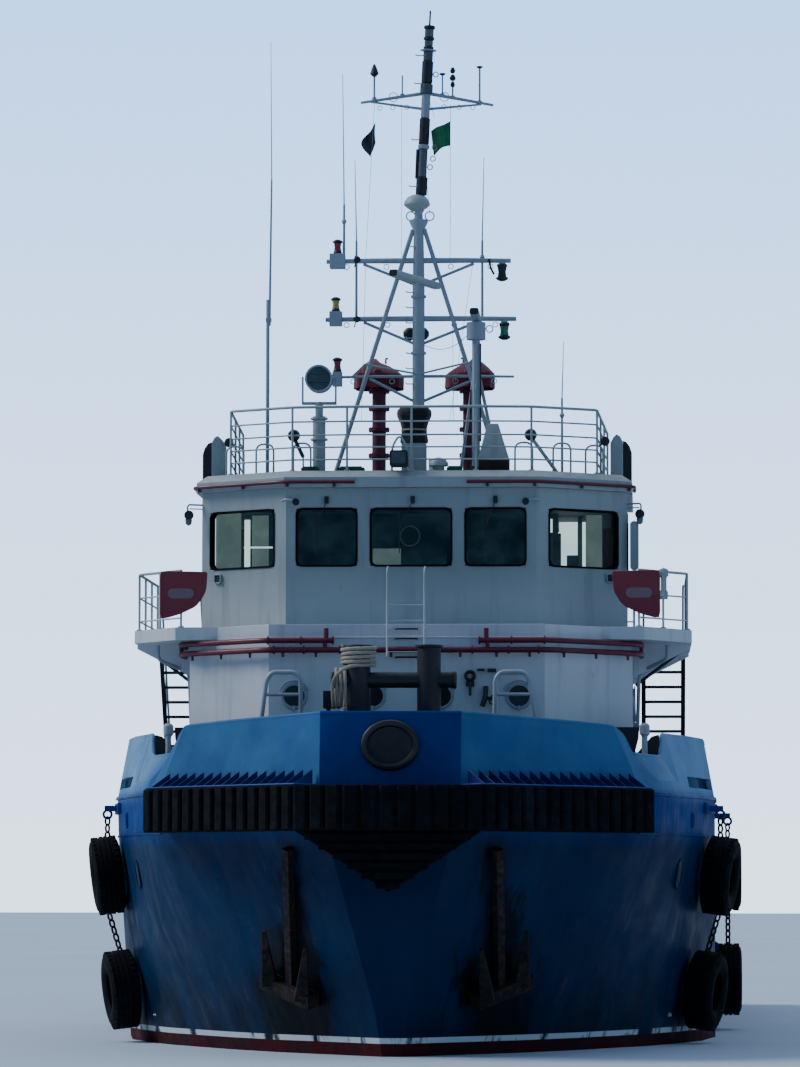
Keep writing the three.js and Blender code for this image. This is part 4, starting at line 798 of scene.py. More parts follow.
def fore_bulwark():
    """The bulwark with its round cap rail, its stays and the plates that raise the notches' sill."""
    refined("fore_bulwark", 0.015, 24)
    tops = [(tx, ty, tz) for _, _, tx, ty, tz in BULWARK]
    sill = [NOTCH_FILL[0][3], NOTCH_FILL[0][2], NOTCH_FILL[1][2]]
    cap = [(x - 0.03, y + 0.02, z) for x, y, z in (*tops[:4], *sill, *tops[7:])]
    middle = rod((-1.1, -16.78, 5.33), (1.1, -16.78, 5.33), 0.04)
    half = [bent(cap, 0.12, 0.04), *bulwark_stays()]
    for corners in NOTCH_FILL:
        faces = [[Vector(corner) + NOTCH_INWARD * depth for corner in corners] for depth in (0.004, 0.05)]
        half.append(loft(faces))
    piece("bulwark_cap", "ship", [(HULL_BLUE, [middle, *both(half)])])


ROLLER_STAND = (
    # x and z of the two dark cheeks behind each notch
    ((3.44, 4.16), (3.44, 5.28), (3.86, 5.28), (3.85, 5.1), (3.8, 4.9), (3.78, 4.16)),
    ((3.8, 4.16), (3.83, 4.86), (4.06, 5.12), (4.15, 5.15), (4.19, 5.15), (4.19, 4.16)),
)


ROLLER_PROFILE = (
    # radius, height
    (0, 4.8), (0.05, 4.8), (0.045, 4.98), (0.05, 5.12), (0.085, 5.16), (0.085, 5.3), (0.05, 5.34), (0, 5.34),
)


def notch_rollers():
    """The black stand with its upright guide roller behind each roller notch."""
    stand = [prism(list(outline), "y", -11.86, -11.82) for outline in ROLLER_STAND]
    stand.append(block((3.46, 4.18), (-11.95, -11.81), (4.16, 4.78)))
    stand.append(rod((3.95, -11.98, 4.16), (3.95, -11.98, 4.85), 0.03))
    roller = turned(ROLLER_PROFILE, "z", (3.95, -11.98, 0), 20)
    groups = [(BLACK, both(stand)), (MAST_GREY, both([roller]))]
    piece("notch_rollers", "ship", groups, 0.006)


HAWSE = {"y": -16.96, "z": 4.83}
HAWSE_PIPE = ((-16.94, 1.02), (-16.62, 1.02), (-16.62, 0.98), (-16.64, 0.0005))


def hawse():
    """The dark lip of the hawse in the stem, a closed black pipe behind it that is painted shade for the
    hawse's dark inside, and a fairlead seen inside it.
    """
    y, z = HAWSE.values()
    around = circle(32)
    lip = [(0.40 * math.cos(a), y + 0.035 * math.sin(a), z + 0.34 * math.sin(a)) for a in around]
    pipe = [[(r * 0.37 * math.cos(a), at, z + r * 0.31 * math.sin(a)) for a in around] for at, r in HAWSE_PIPE]
    profile = [(0, -0.16), (0.045, -0.15), (0.05, 0.12), (0.03, 0.16), (0, 0.16)]
    shelf = turned(profile, "x", (0.02, -16.86, 4.7), 18)
    # Painted shade: the pipe is black and closed at its ends, standing for the hawse's dark inside.
    groups = [(BLACK, [tube(lip, 0.06, 10, True), loft(pipe)]), (STEEL, [shelf])]
    piece("hawse_lip", "ship", groups)


def fender_block():
    """The rubber block round the bow with its upright ribs."""
    low, high, pitch = FENDER["low"], FENDER["high"], FENDER["rib_pitch"]
    half = [*FENDER_INNER, *reversed(FENDER_OUTER)]
    parts = [prism([*half, *[(-x, y) for x, y in reversed(half)]], "z", low, high)]
    wide, narrow = pitch * 0.4, pitch * 0.28
    section = [(-wide, 0.06), (-wide, -0.02), (-narrow, -0.055), (narrow, -0.055), (wide, -0.02), (wide, 0.06)]
    rib = prism(section, "z", low + 0.02, high - 0.02)
    for (x, y), heading in along([(-FENDER_OUTER[0][0], FENDER_OUTER[0][1]), *FENDER_OUTER], pitch):
        ribs = placed([rib], x, y, 0, math.atan2(heading.y, heading.x))
        parts += both(ribs) if x > FENDER_OUTER[0][0] else ribs
    return parts


def fender_toe():
    """The wedge below the middle of the fender, with a tread in steps."""
    low, tip, half = FENDER["low"], TOE["tip"], TOE["half"]
    parts = [prism([(-1.44, low), (1.44, low), (0, tip)], "y", -17.68, -16.96)]
    for i in range(TOE["treads"]):
        z = low - 0.02 - i * TOE["pitch"]
        wide = half * (z - tip) / (low - tip) - 0.06
        parts.append(block((-wide, wide), (TOE["front"], -17.66), (z - 0.125, z - 0.02)))
    return parts


def fender():
    """The pushing fender: a rubber block with ribs and a stepped toe, under steel gussets."""
    high = FENDER["high"]
    gussets = []
    for place, heading in along(FENDER_TOP, FENDER["gusset_pitch"]):
        outward = Vector((heading.y, -heading.x))
        rows = ((0.005, high + 0.01), (0.42, high + 0.01), (0.005, high + FENDER["gusset"]))
        gussets.append(web(place, heading, outward, rows, 0.011))
    ledge = prism(FENDER_SHELF, "z", high + 0.003, high + 0.03)
    rubbers = [*fender_block(), *fender_toe()]
    # The gussets take the darker blue, which is painted shade.
    groups = [(RUBBER, rubbers), (GUSSET_BLUE, both(gussets)), (TOP_BLUE, both([ledge]))]
    piece("bow_fender_set", "ship", groups, 0.012, ["bow_fender"])


TYRE = {"radius": 0.67, "half": 0.25, "gap": 0.062, "lugs": 36}
TYRE_COLUMNS = (
    # y, hanger x, then height, hull x, turn and lean of the upper and the lower tyre
    (-9.5, 5.029, (2.87, 4.923, 0.18, 0.127), (0.93, 4.675, 0.265, 0.127)),
    (-1.5, HALF_BEAM, (2.87, HALF_BEAM, 0.0, 0.0), (0.93, HALF_BEAM, 0.0, 0.0)),
)
HANGER_ROUTE = ((-10.0, 4.953), (-8.7, 5.15), (-6.5, HALF_BEAM), (-1.2, HALF_BEAM))
TYRE_PROFILE = (
    # radius, distance from the middle plane: bead, side wall, shoulder, tread with grooves
    (0.32, 0.19), (0.345, 0.215), (0.42, 0.243), (0.52, 0.25), (0.58, 0.236), (0.64, 0.19), (0.662, 0.15),
    (0.667, 0.1), (0.648, 0.094), (0.648, 0.074), (0.67, 0.068), (0.67, 0.012), (0.65, 0.006),
)
TYRE_INSIDE = ((0.62, 0.0), (0.6, 0.1), (0.5, 0.17), (0.4, 0.17), (0.33, 0.15))


def tyre():
    """A worn lorry tyre with a hollow inside, round the X axis."""
    profile = [(r, -h) for r, h in TYRE_PROFILE] + [(r, h) for r, h in reversed(TYRE_PROFILE)]
    profile += [*reversed(TYRE_INSIDE), *[(r, -h) for r, h in TYRE_INSIDE[1:]]]
    lugs = []
    for a in circle(TYRE["lugs"]):
        for hand in (-1, 1):
            lug = block((hand * 0.125, hand * 0.205), (-0.034, 0.034), (0.62, 0.666))
            lugs.append(spun(lug, a + hand * 0.04, "X"))
    return [turned(profile, "x", (0, 0, 0), 48), *lugs]


def tyre_fenders(label, side):
    """Two columns of two tyres, each column hung by chains from a bracket on the hull."""
    reach, hang = TYRE["half"] + TYRE["gap"], TYRE["radius"] - 0.1
    tyres, chains = [], []
    rows = ((0.0004, 3.88), (0.05, 3.88), (0.05, 4.06), (0.0004, 4.06))
    steel = [loft([[(x + depth, y, z) for depth, z in rows] for y, x in HANGER_ROUTE])]
    for y, hanger, upper, lower in TYRE_COLUMNS:
        for z, x, turn, lean in (upper, lower):
            tyres += placed([shifted(part, reach, 0, 0) for part in tyre()], x, y, z, -turn, lean)
        out = upper[1] + reach
        steel.append(block((hanger + 0.02, out + 0.05), (y - 0.03, y + 0.03), (3.92, 4.02)))
        steel.append(hoop("y", (out, y, 3.87), 0.07, 0.022, 14))
        chains += chain((out, y, 3.82), (out, y, upper[0] + hang), 0.17, 0.02)
        chains += chain((out, y, upper[0] - hang), (lower[1] + reach, y, lower[0] + 0.55), 0.17, 0.02)
    groups = on_side([(RUBBER, tyres), (IRON, chains), (HULL_BLUE, steel)], side)
    piece("tyre_set_" + label, "ship", groups, 0, ["tyre_fenders_" + label], 38)


def anchors(label, side):
    shackle = hoop("x", (side * 1.6, -15.36, 3.42), 0.11, 0.03, 18)
    links = chain((side * 1.6, -15.42, 3.5), (side * 1.55, -15.55, 3.88), 0.2, 0.026)
    refined("anchor_" + label, 0.02, 30, None, [(IRON, [shackle, *links])])


DISCHARGES = (
    # y, z, x, turn, lean, scale of the oval
    (-11.35, 2.86, 4.51, 0.29, 0.16, 1.0),
    (-10.9, 3.75, 4.745, 0.225, 0.03, 0.45),
)


def side_fittings():
    """Oval discharge recesses in the hull's sides, each a rim round a black disc that is painted shade for the
    opening, and zinc anodes under water.
    """
    rims, hole_shade_discs = [], []
    for y, z, x, turn, lean, scale in DISCHARGES:
        oval = (0.24 * scale, 0.46 * scale, 0.115 * scale)
        ring = window_ring(*oval, 0, 0.03, -0.02, 0.03)
        # Painted shade: a flat black disc stands for the dark inside of each opening.
        disc = prism(rounded_box(*oval), "y", -0.008, 0.02)
        rims += placed([spun(ring, math.pi / 2, "Z")], x, y, z, -turn, lean)
        hole_shade_discs += placed([spun(disc, math.pi / 2, "Z")], x, y, z, -turn, lean)
    piece("side_fittings", "ship", [(HULL_BLUE, both(rims)), (BLACK, both(hole_shade_discs))])
    zincs = [box_at((5.2, y, -1.1), (0.06, 0.5, 0.14)) for y in (-3.0, 1.0, 5.0, 9.0, 12.0)]
    piece("anodes", "ship", [(STEEL, both(zincs))], 0.02)


SEGMENTS = {
    # names of the bars that each numeral has
    "0": "abcdef", "2": "abged", "3": "abgcd", "4": "fgbc", "6": "afgedc", "8": "abcdefg",
}
BARS = {
    # x, z, width, height of each bar, in a cell two wide and four high
    "a": (0, 2, 2, 0.6), "b": (1, 1, 0.6, 2), "c": (1, -1, 0.6, 2), "d": (0, -2, 2, 0.6),
    "e": (-1, -1, 0.6, 2), "f": (-1, 1, 0.6, 2), "g": (0, 0, 2, 0.6),
}


def numeral(text, size):
    """Plain stencilled figures on the XZ plane."""
    bars = []
    for i, figure in enumerate(text):
        for name in SEGMENTS[figure]:
            x, z, width, height = (value * size / 4 for value in BARS[name])
            bars.append(box_at((x + i * size * 0.8, 0, z), (width, 0.012, height)))
    return bars


DRAUGHT_MARKS = (
    # y, then the hull's half breadth at 0.5 m and 2.5 m, turn of the side
    (-10.3, (4.31, 4.60), 1.25),
    (12.0, (5.195, 5.195), 1.571),
)


DRAUGHTS = ("38", "40", "42", "44", "46", "48")


def draught_marks():
    """Draught figures in decimetres, at bow and stern on each side."""
    marks = []
    for y, (low_x, high_x), turn in DRAUGHT_MARKS:
        for i, text in enumerate(DRAUGHTS):
            z = 0.55 + i * 0.3
            x = low_x + (high_x - low_x) * (z - 0.5) / 2
            lean = Matrix.Rotation(-(high_x - low_x) / 2, 4, "X")
            for side in (PORT, STARBOARD):
                facing = Matrix.Rotation(side * turn, 4, "Z") @ lean
                place = Matrix.Translation((side * (x + 0.012), y, z)) @ facing
                marks += [moved(part, place) for part in numeral(text, 0.14)]
    piece("draught_marks", "ship", [(HOUSE_WHITE, marks)])


# Deckhouse and wheelhouse

HOUSE_FRONT = -11.8
WHEELHOUSE_FRONT = -10.3
WINDOW = {"sill": 8.07, "head": 9.05, "round": 0.1}
FACET_TURN = math.atan2(1.1, 1.53)
WINDOWS = (
    # x, y, turn, width, on the port half and mirrored
    (1.435, WHEELHOUSE_FRONT, 0.0, 1.03),
    (2.92, -9.73, FACET_TURN, 1.43),
    (3.66, -8.62, math.pi / 2, 0.76),
    (3.66, -6.15, math.pi / 2, 1.4),
    (2.1, -5.0, math.pi, 1.8),
)
PORTHOLES = (
    # x, y, z, turn, on the port half and mirrored
    (0.565, HOUSE_FRONT, 5.8, 0.0),
    (1.87, HOUSE_FRONT, 5.8, 0.0),
    *((3.75, y, 5.8, math.pi / 2) for y in (-9.3, -7.9, -6.2, -3.6, -2.1)),
    (0.4, -0.9, 5.8, math.pi),
    (2.9, -0.9, 5.8, math.pi),
)


def windows():
    """Gaskets round the wheelhouse windows, the clear-view screen and the panes."""
    height, middle = WINDOW["head"] - WINDOW["sill"], (WINDOW["head"] + WINDOW["sill"]) / 2
    gaskets = []
    for x, y, turn, width in WINDOWS:
        ring = window_ring(width, height, WINDOW["round"], 0.02, 0.014, -0.018, 0.1)
        gaskets += placed([ring], x, y, middle, turn)
    centre = window_ring(1.38, height, WINDOW["round"], 0.02, 0.014, -0.018, 0.1)
    gaskets = both(gaskets) + placed([centre], 0, WHEELHOUSE_FRONT, middle)
    clear_view = collar("y", (0, 0.06, 0), (0.157, 0.178), (-0.02, 0.02), 32)
    screen = placed([clear_view], -0.02, WHEELHOUSE_FRONT, middle + 0.02)
    piece("window_gaskets", "ship", [(GASKET, gaskets), (CONSOLE, screen)], 0.006)
    refined("wheelhouse_glass_front", 0, 30)
    refined("wheelhouse_glass_aft", 0, 30)


def portholes():
    """Rims with a dog below and a rain brow above, and dark panes."""
    profile = [(0.175, -0.035), (0.215, -0.035), (0.23, 0.0), (0.175, 0.0)]
    arc = np.linspace(0.35, math.pi - 0.35, 13)
    brow = [(0.255 * math.cos(a), -0.035, 0.255 * math.sin(a)) for a in arc]
    rim = [
        turned(profile, "y", (0, 0, 0), 28),
        box_at((0, -0.04, -0.2), (0.04, 0.03, 0.08)),
        tube(brow, 0.014, 8),
    ]
    pane = bar("y", (0, -0.008, 0), 0.178, 0.014, 28)
    rims, panes = [], []
    for x, y, z, turn in PORTHOLES:
        rims += placed(rim, x, y, z, turn)
        panes += placed([pane], x, y, z, turn)
    piece("portholes", "ship", [(MAST_GREY, both(rims)), (GLASS_DARK, both(panes))], 0.004)


WIPERS = (
    # x, reach of the arm
    (-1.435, 0.36), (0.03, 0.45), (1.435, 0.36),
)
FACET_VENT = (3.36, -9.43, 7.91)


def wiper_arms():
    """A motor, an arm and a blade at each front window."""
    parts = []
    for x, reach in WIPERS:
        wiper = [
            box_at((0, -0.04, 0.63), (0.07, 0.08, 0.12)),
            rod((0, -0.07, 0.62), (-reach * 0.5, -0.075, 0.1), 0.009, 6),
            rod((-reach * 0.5, -0.06, 0.42), (-reach * 0.5, -0.06, -0.28), 0.011, 6),
        ]
        parts += placed(wiper, x, WHEELHOUSE_FRONT, 8.56)
    return parts


def wipers():
    """The wipers, and on each side a small lamp on a bent arm and a louvred vent in the facet."""
    arm = [(2.2, -10.33, 9.17), (2.12, -10.42, 9.2), (1.96, -10.45, 9.16)]
    louvres = [box_at((0, -0.012, z), (0.12, 0.02, 0.016)) for z in (-0.04, -0.01, 0.02, 0.05)]
    vent = [box_at((0, 0, 0), (0.12, 0.012, 0.12)), *louvres]
    rim = window_ring(0.12, 0.12, 0.01, 0, 0.02, -0.03, 0.03)
    black = [bar("y", (1.95, -10.47, 9.15), 0.06, 0.09), *placed(vent, *FACET_VENT, FACET_TURN)]
    white = [bent(arm, 0.05, 0.022, 8), *placed([rim], *FACET_VENT, FACET_TURN)]
    groups = [(BLACK, [*wiper_arms(), *both(black)]), (HOUSE_WHITE, both(white))]
    piece("wipers", "ship", groups, 0.004)


def side_lamps():
    """Dark lamps on bent arms at the wheelhouse corners, and the tall locker beside the port one."""
    route = [(3.66, -9.2, 9.2), (3.9, -9.32, 9.2), (3.9, -9.32, 9.05)]
    arms = [bent(route, 0.05, 0.017, 8), rod((3.66, -9.2, 9.13), (3.87, -9.3, 9.13), 0.012, 8)]
    shade = [(0, -0.07), (0.07, -0.06), (0.085, 0.05), (0.075, 0.06), (0, 0.055)]
    lens = [(0, 8.83), (0.05, 8.86), (0.06, 8.93), (0.05, 8.98), (0, 8.98)]
    locker = shifted(prism(rounded_box(0.15, 0.84, 0.07), "y", -9.32, -9.12), 3.785, 0, 8.48)
    groups = [
        (HOUSE_WHITE, [*both(arms), locker]),
        (BLACK, both([turned(shade, "y", (3.88, -9.34, 9.02), 18)])),
        (LENS, both([turned(lens, "z", (3.88, -9.34, 0), 16)])),
    ]
    piece("corner_lamps", "ship", groups, 0.006)


DRIP_BAR = ((2.3, HOUSE_FRONT - 0.012, 6.775), (3.23, -10.91, 6.775))


def house_front():
    """Fittings on the front of the deckhouse: an eye, a valve and a hoop, and drip bars over the edges."""
    y = HOUSE_FRONT - 0.07
    black = [
        hoop("y", (1.06, y, 6.13), 0.07, 0.03, 20),
        rod((1.06, y, 6.05), (1.06, y, 5.8), 0.022, 8),
        box_at((1.06, y + 0.02, 6.0), (0.14, 0.06, 0.09)),
        box_at((1.42, y, 6.22), (0.14, 0.09, 0.06)),
        box_at((1.24, y, 6.23), (0.12, 0.08, 0.04)),
        bent([(1.32, y, 5.95), (1.32, y - 0.05, 5.8), (1.26, y - 0.05, 5.62)], 0.08, 0.045),
        bent([(1.3, y - 0.03, 5.78), (1.42, y - 0.03, 5.74), (1.44, y, 5.8)], 0.05, 0.03, 8),
        hoop("y", (1.44, y - 0.06, 5.72), 0.06, 0.012, 18),
    ]
    pipe = [(1.5, HOUSE_FRONT - 0.01, 5.4), (1.5, y, 5.5), (1.5, y, 6.1), (1.56, y, 6.17), (1.95, y, 6.17)]
    (x, *level), _ = DRIP_BAR
    drips = [rod((-x, *level), (x, *level), 0.012, 6), *both([rod(*DRIP_BAR, 0.012, 6)])]
    white = [bent(pipe, 0.06, 0.02, 8), *drips]
    piece("house_front_fittings", "ship", [(BLACK, black), (HOUSE_WHITE, white)], 0.006)


CABIN_BOXES = (
    # material, low x, high x, low y, high y, low z, high z
    ("dark", -2.77, 2.42, -5.85, -5.8, 7.0, 9.36),
    ("dark", 2.77, 2.84, -5.2, -5.12, 7.0, 9.36),
    ("dark", 2.38, 2.52, -8.9, -8.75, 7.0, 8.72),
    ("dark", 2.62, 2.82, -8.9, -8.7, 7.0, 8.34),
    ("pale", -3.09, -2.77, -5.6, -5.3, 7.0, 9.36),
    ("pale", -3.59, -3.08, -8.3, -8.05, 7.0, 9.36),
    ("pale", 2.915, 3.2, -5.5, -5.2, 7.0, 9.36),
    ("pale", -0.67, -0.19, -9.95, -9.9, 8.1, 8.39),
    ("light", -3.2, -3.1, -5.92, -5.88, 8.1, 9.2),
    ("light", 2.43, 2.76, -5.3, -5.28, 8.3, 9.19),
    ("light", 2.845, 2.905, -5.3, -5.28, 8.1, 9.19),
    ("light", -3.52, -3.5, -8.33, -8.31, 8.1, 9.1),
    ("light", -3.18, -2.66, -6.3, -6.28, 8.66, 8.69),
    ("light", 2.27, 2.32, -5.92, -5.87, 8.96, 9.2),
    ("red", 3.25, 3.37, -8.62, -8.5, 7.0, 8.82),
    ("green", 3.39, 3.5, -8.6, -8.45, 7.0, 9.02),
)


CEILING = ((2.0, -10.1), (3.5, -9.05), (3.5, -5.15))


def cabin_items():
    """What shows through the wheelhouse windows: the ceiling, lockers, chairs and screens."""
    materials = {
        "dark": CABIN_DARK, "pale": CABIN_PALE, "light": DAYLIGHT, "red": PIPE_RED, "green": BUNTING_GREEN,
    }
    parts = {name: [] for name in materials}
    for name, low_x, high_x, low_y, high_y, low_z, high_z in CABIN_BOXES:
        parts[name].append(block((low_x, high_x), (low_y, high_y), (low_z, high_z)))
    ceiling = [*CEILING, *[(-x, y) for x, y in reversed(CEILING)]]
    parts["dark"].append(prism(ceiling, "z", 9.3, 9.38))
    screen = box_at((0, 0, 0), (0.42, 0.06, 0.3))
    for x, turn in ((-1.25, 0.2), (0.35, -0.05), (1.05, -0.2)):
        parts["dark"] += placed([screen], x, -9.2, 8.2, turn)
    parts["dark"].append(rod((-3.4, -9.0, 7.9), (3.4, -9.0, 7.9), 0.02, 8))
    groups = [(materials[name], made) for name, made in parts.items()]
    piece("cabin_items", "ship", groups, 0.012)
    refined("helm_console", 0.02)


ROOF_HALF = ((2.16, -10.42), (3.76, -9.26), (3.76, -4.78))


def inset(half, back):
    """The roof's outline on the port half and mirrored, drawn in by a distance."""
    (x0, y0), (x1, y1), (x2, y2) = half
    row = [(x0 - back * 0.45, y0 + back), (x1 - back, y1 + back * 0.45), (x2 - back, y2 - back)]
    return [*row, *[(-x, y) for x, y in reversed(row)]]


ROOF_EDGE = (
    # z, how far the outline is drawn in
    (9.4, 0.0), (9.42, 0.0), (9.58, 0.01), (ROOF, 0.19),
)
ROOF_LOCKER = (
    # z, half length, half breadth
    (9.69, 0.265, 0.225), (9.95, 0.265, 0.225), (10.56, 0.075, 0.09),
)
LAMP_PLATE = (
    # x, z of the white plate that carries a side light, to port
    (3.37, 9.69), (3.37, 10.34), (3.42, 10.44), (3.48, 10.495), (3.54, 10.46), (3.585, 10.37), (3.585, 9.66),
)
LAMP_SHADE = (
    # x, z of the dark screen beside it
    (3.587, 9.62), (3.587, 10.385), (3.65, 10.36), (3.71, 10.28), (3.745, 10.17), (3.745, 9.5),
)
SIDE_LIGHT = ((0, -0.08), (0.07, -0.06), (0.085, 0.03), (0.05, 0.09), (0, 0.09))


def frustum(x, y, rows):
    """A four-sided body on the roof; rows are (z, half length, half breadth)."""
    corners = ((-1, -1), (1, -1), (1, 1), (-1, 1))
    return loft([[(x + sx * a, y + sy * b, z) for sx, sy in corners] for z, a, b in rows])


def wheelhouse_roof():
    """The roof with its sloped edge, the pedestals and the locker on it, and the side lights."""
    white = [
        loft([[(x, y, z) for x, y in inset(ROOF_HALF, back)] for z, back in ROOF_EDGE]),
        bar("z", (-1.62, -9.5, 10.195), 0.11, 1.01, 28),
        bar("z", (0.34, -8.6, 9.85), 0.12, 0.34, 24),
        *[bar("z", (-1.62, -9.5, z), 0.15, 0.035, 28) for z in (9.72, 10.3, 10.66)],
        frustum(1.385, -9.475, ROOF_LOCKER),
        *both([prism(LAMP_PLATE, "y", -8.25, -7.72)]),
    ]
    black = [
        prism(LAMP_SHADE, "y", -8.22, -7.7),
        turned(SIDE_LIGHT, "y", (3.28, -8.3, 10.37), 16),
        rod((3.17, -8.28, 10.3), (3.28, -8.28, 10.33), 0.016, 8),
    ]
    green = [prism(inset(ROOF_HALF, 0.26), "z", ROOF - 0.01, ROOF + 0.0002)]
    groups = [(HOUSE_WHITE, white), (BLACK, both(black)), (DECK_GREEN, green)]
    piece("wheelhouse_roof_shell", "ship", groups, 0.01, ["wheelhouse_roof"])


WHEELHOUSE_DOOR = (3.66, -7.5, 8.55)
DECKHOUSE_DOOR = (1.5, -0.9, 5.35)


def doors():
    """Wheelhouse doors with a window and a lever, and the door aft with its dogs and stiffeners."""
    x, y, z = WHEELHOUSE_DOOR
    ring = window_ring(0.46, 0.8, 0.09, 0.01, 0.04, -0.022, 0.07)
    pane = prism(rounded_box(0.47, 0.81, 0.09), "y", 0.02, 0.03)
    lever = bent([(x, -7.2, 8.0), (x + 0.07, -7.2, 8.0), (x + 0.07, -7.34, 8.0)], 0.03, 0.014, 8)
    groups = [
        (GASKET, placed([ring], x, y, z, math.pi / 2)),
        (GLASS, placed([pane], x, y, z, math.pi / 2)),
        (STEEL, [lever]),
    ]
    for label, side in SIDES:
        refined("wheelhouse_door_" + label, 0.008, 35, None, on_side(groups, side))
    dogs = []
    for z in (4.75, 5.35, 5.95):
        for x in (1.16, 1.84):
            dogs += [box_at((x, -0.885, z), (0.035, 0.03, 0.16)), bar("y", (x, -0.885, z), 0.03, 0.04, 10)]
    panel = placed([window_ring(0.72, 1.7, 0.1, 0.05, 0, -0.02, 0)], *DECKHOUSE_DOOR, math.pi)
    stiff = [box_at((1.5, -0.893, z), (0.62, 0.014, 0.05)) for z in (4.95, 5.6)]
    refined("deckhouse_door", 0.008, 35, None, [(HOUSE_WHITE, [*panel, *stiff]), (STEEL, dogs)])


# Rails, ladders and pipes

RAILS = (
    # name, node, route on the port half from the middle outwards, base, bar heights, post places
    ("bridge_rail_tubes", "bridge_rail", ((3.77, 0.22), (3.77, -4.9)), BRIDGE_DECK, (0.35, 0.7, 1.05),
     ((3.77, -4.9), (3.77, -3.62), (3.77, -2.34), (3.77, -1.06), (3.77, 0.22), (2.262, 0.22), (0.754, 0.22))),
    ("break_rail_tubes", "break_rail", ((4.85, 0.7),), FORE_DECK, (0.35, 0.7, 1.05),
     ((4.85, 0.7), (3.464, 0.7), (2.079, 0.7), (0.693, 0.7))),
    ("roof_rail_tubes", "roof_rail", ((1.1, -10.15), (2.04, -10.06), (3.15, -9.4), (3.3, -5.06)), ROOF,
     (0.2, 0.41, 0.62, 0.85, 1.1),
     ((0.0, -10.15), (1.1, -10.15), (2.04, -10.06), (3.15, -9.4), (3.2, -7.87), (3.25, -6.47), (3.3, -5.06))),
)


WING_ROUTE = ((3.86, -10.82), (4.68, -9.73), (4.68, -6.66))
WING_POSTS = ((3.86, -10.82), (4.27, -10.275), (4.68, -9.73), (4.68, -8.71), (4.68, -7.68), (4.68, -6.66))


def railing(route, base, heights, posts):
    """Bars at their heights along a plan route, the top one thicker, and posts with a foot plate."""
    parts = []
    for height in heights:
        radius = 0.024 if height == heights[-1] else 0.015
        parts.append(bent([(x, y, base + height) for x, y in route], 0.12, radius))
    for x, y in posts:
        parts.append(rod((x, y, base), (x, y, base + heights[-1]), 0.021, 10))
        parts.append(bar("z", (x, y, base + 0.012), 0.05, 0.024, 12))
    return parts


WING_SCREEN = ((3.43, 7.92), (4.20, 7.94), (4.20, 7.15), (3.90, 7.23), (3.60, 7.37), (3.45, 7.60))


def break_ladder():
    """The ladder from the foredeck down to the working deck."""
    parts = [bent([(x, 0.7, 5.2), (x, 0.95, 4.9), (x, 0.95, 1.71)], 0.1, 0.024) for x in (2.9, 3.4)]
    return parts + [rod((2.9, 0.95, z), (3.4, 0.95, z), 0.013, 8) for z in np.arange(1.98, 4.15, 0.3)]


def rails():
    for name, node, half, base, heights, posts in RAILS:
        places = [*posts, *[(-x, y) for x, y in posts if x]]
        parts = railing(ship_wide(half), base, heights, places)
        if node == "break_rail":
            parts += break_ladder()
        piece(name, "ship", [(HOUSE_WHITE, parts)], 0, [node], 50)


def wing_rails():
    """The rails of the bridge wings, each with a red screen that has a faded patch on it."""
    screen = prism(WING_SCREEN, "y", -10.875, -10.845)
    rim = bent([(x, -10.86, z) for x, z in (*WING_SCREEN, WING_SCREEN[0])], 0.1, 0.018, 8)
    faded = shifted(prism(rounded_box(0.44, 0.17, 0.08), "y", -10.879, -10.874), 3.86, 0, 7.57)
    bars = railing(WING_ROUTE, BRIDGE_DECK, (0.16, 0.56, 0.96), WING_POSTS)
    groups = [(HOUSE_WHITE, bars), (SCREEN_RED, [screen, rim]), (SCREEN_FADED, [faded])]
    for label, side in SIDES:
        name = "wing_rail_tubes_" + label
        piece(name, "ship", on_side(groups, side), 0, ["wing_rail_" + label], 50)


SIGNAL_LAMP = (
    # radius, height
    (0, 7.5), (0.07, 7.5), (0.075, 7.62), (0.05, 7.66), (0.05, 7.86), (0.08, 7.9), (0.08, 8.0), (0, 8.04),
)


def wing_fittings():
    """A signal lamp on the port wing, and the drain pipe that runs down from each wing to the side deck."""
    lamp = turned(SIGNAL_LAMP, "z", (4.28, -10.2, 0), 20)
    drain = bent([(4.34, -9.9, 6.74), (4.34, -9.9, 6.5), (3.86, -9.3, 6.3), (3.83, -9.2, 5.3)], 0.12, 0.033)
    brace = tube([(3.8, -8.7, 6.1), (4.62, -8.7, 6.72)], 0.03)
    groups = [(MAST_GREY, [lamp, *both([drain])]), (BLACK, both([brace]))]
    piece("wing_fittings", "ship", groups, 0.004)


STAIR_SIDES = (3.94, 4.64)
STAIR = {"steps": 10, "rise": 0.257, "foot": -4.575, "run": 1.89}


def stair_handrail(x):
    """One handrail of the side stairs with its posts, to port."""
    route = [(x, -4.6, 4.2), (x, -4.6, 5.1), (x, -6.45, 7.95), (x, -6.62, 7.95)]
    parts = [bent(route, 0.12, 0.02)]
    for t in (0.25, 0.5, 0.75):
        foot = Vector((x, -4.57, 4.2)).lerp(Vector((x, -6.42, 7.0)), t)
        parts.append(rod(foot, foot + Vector((0, 0, 0.92)), 0.016, 8))
    return parts


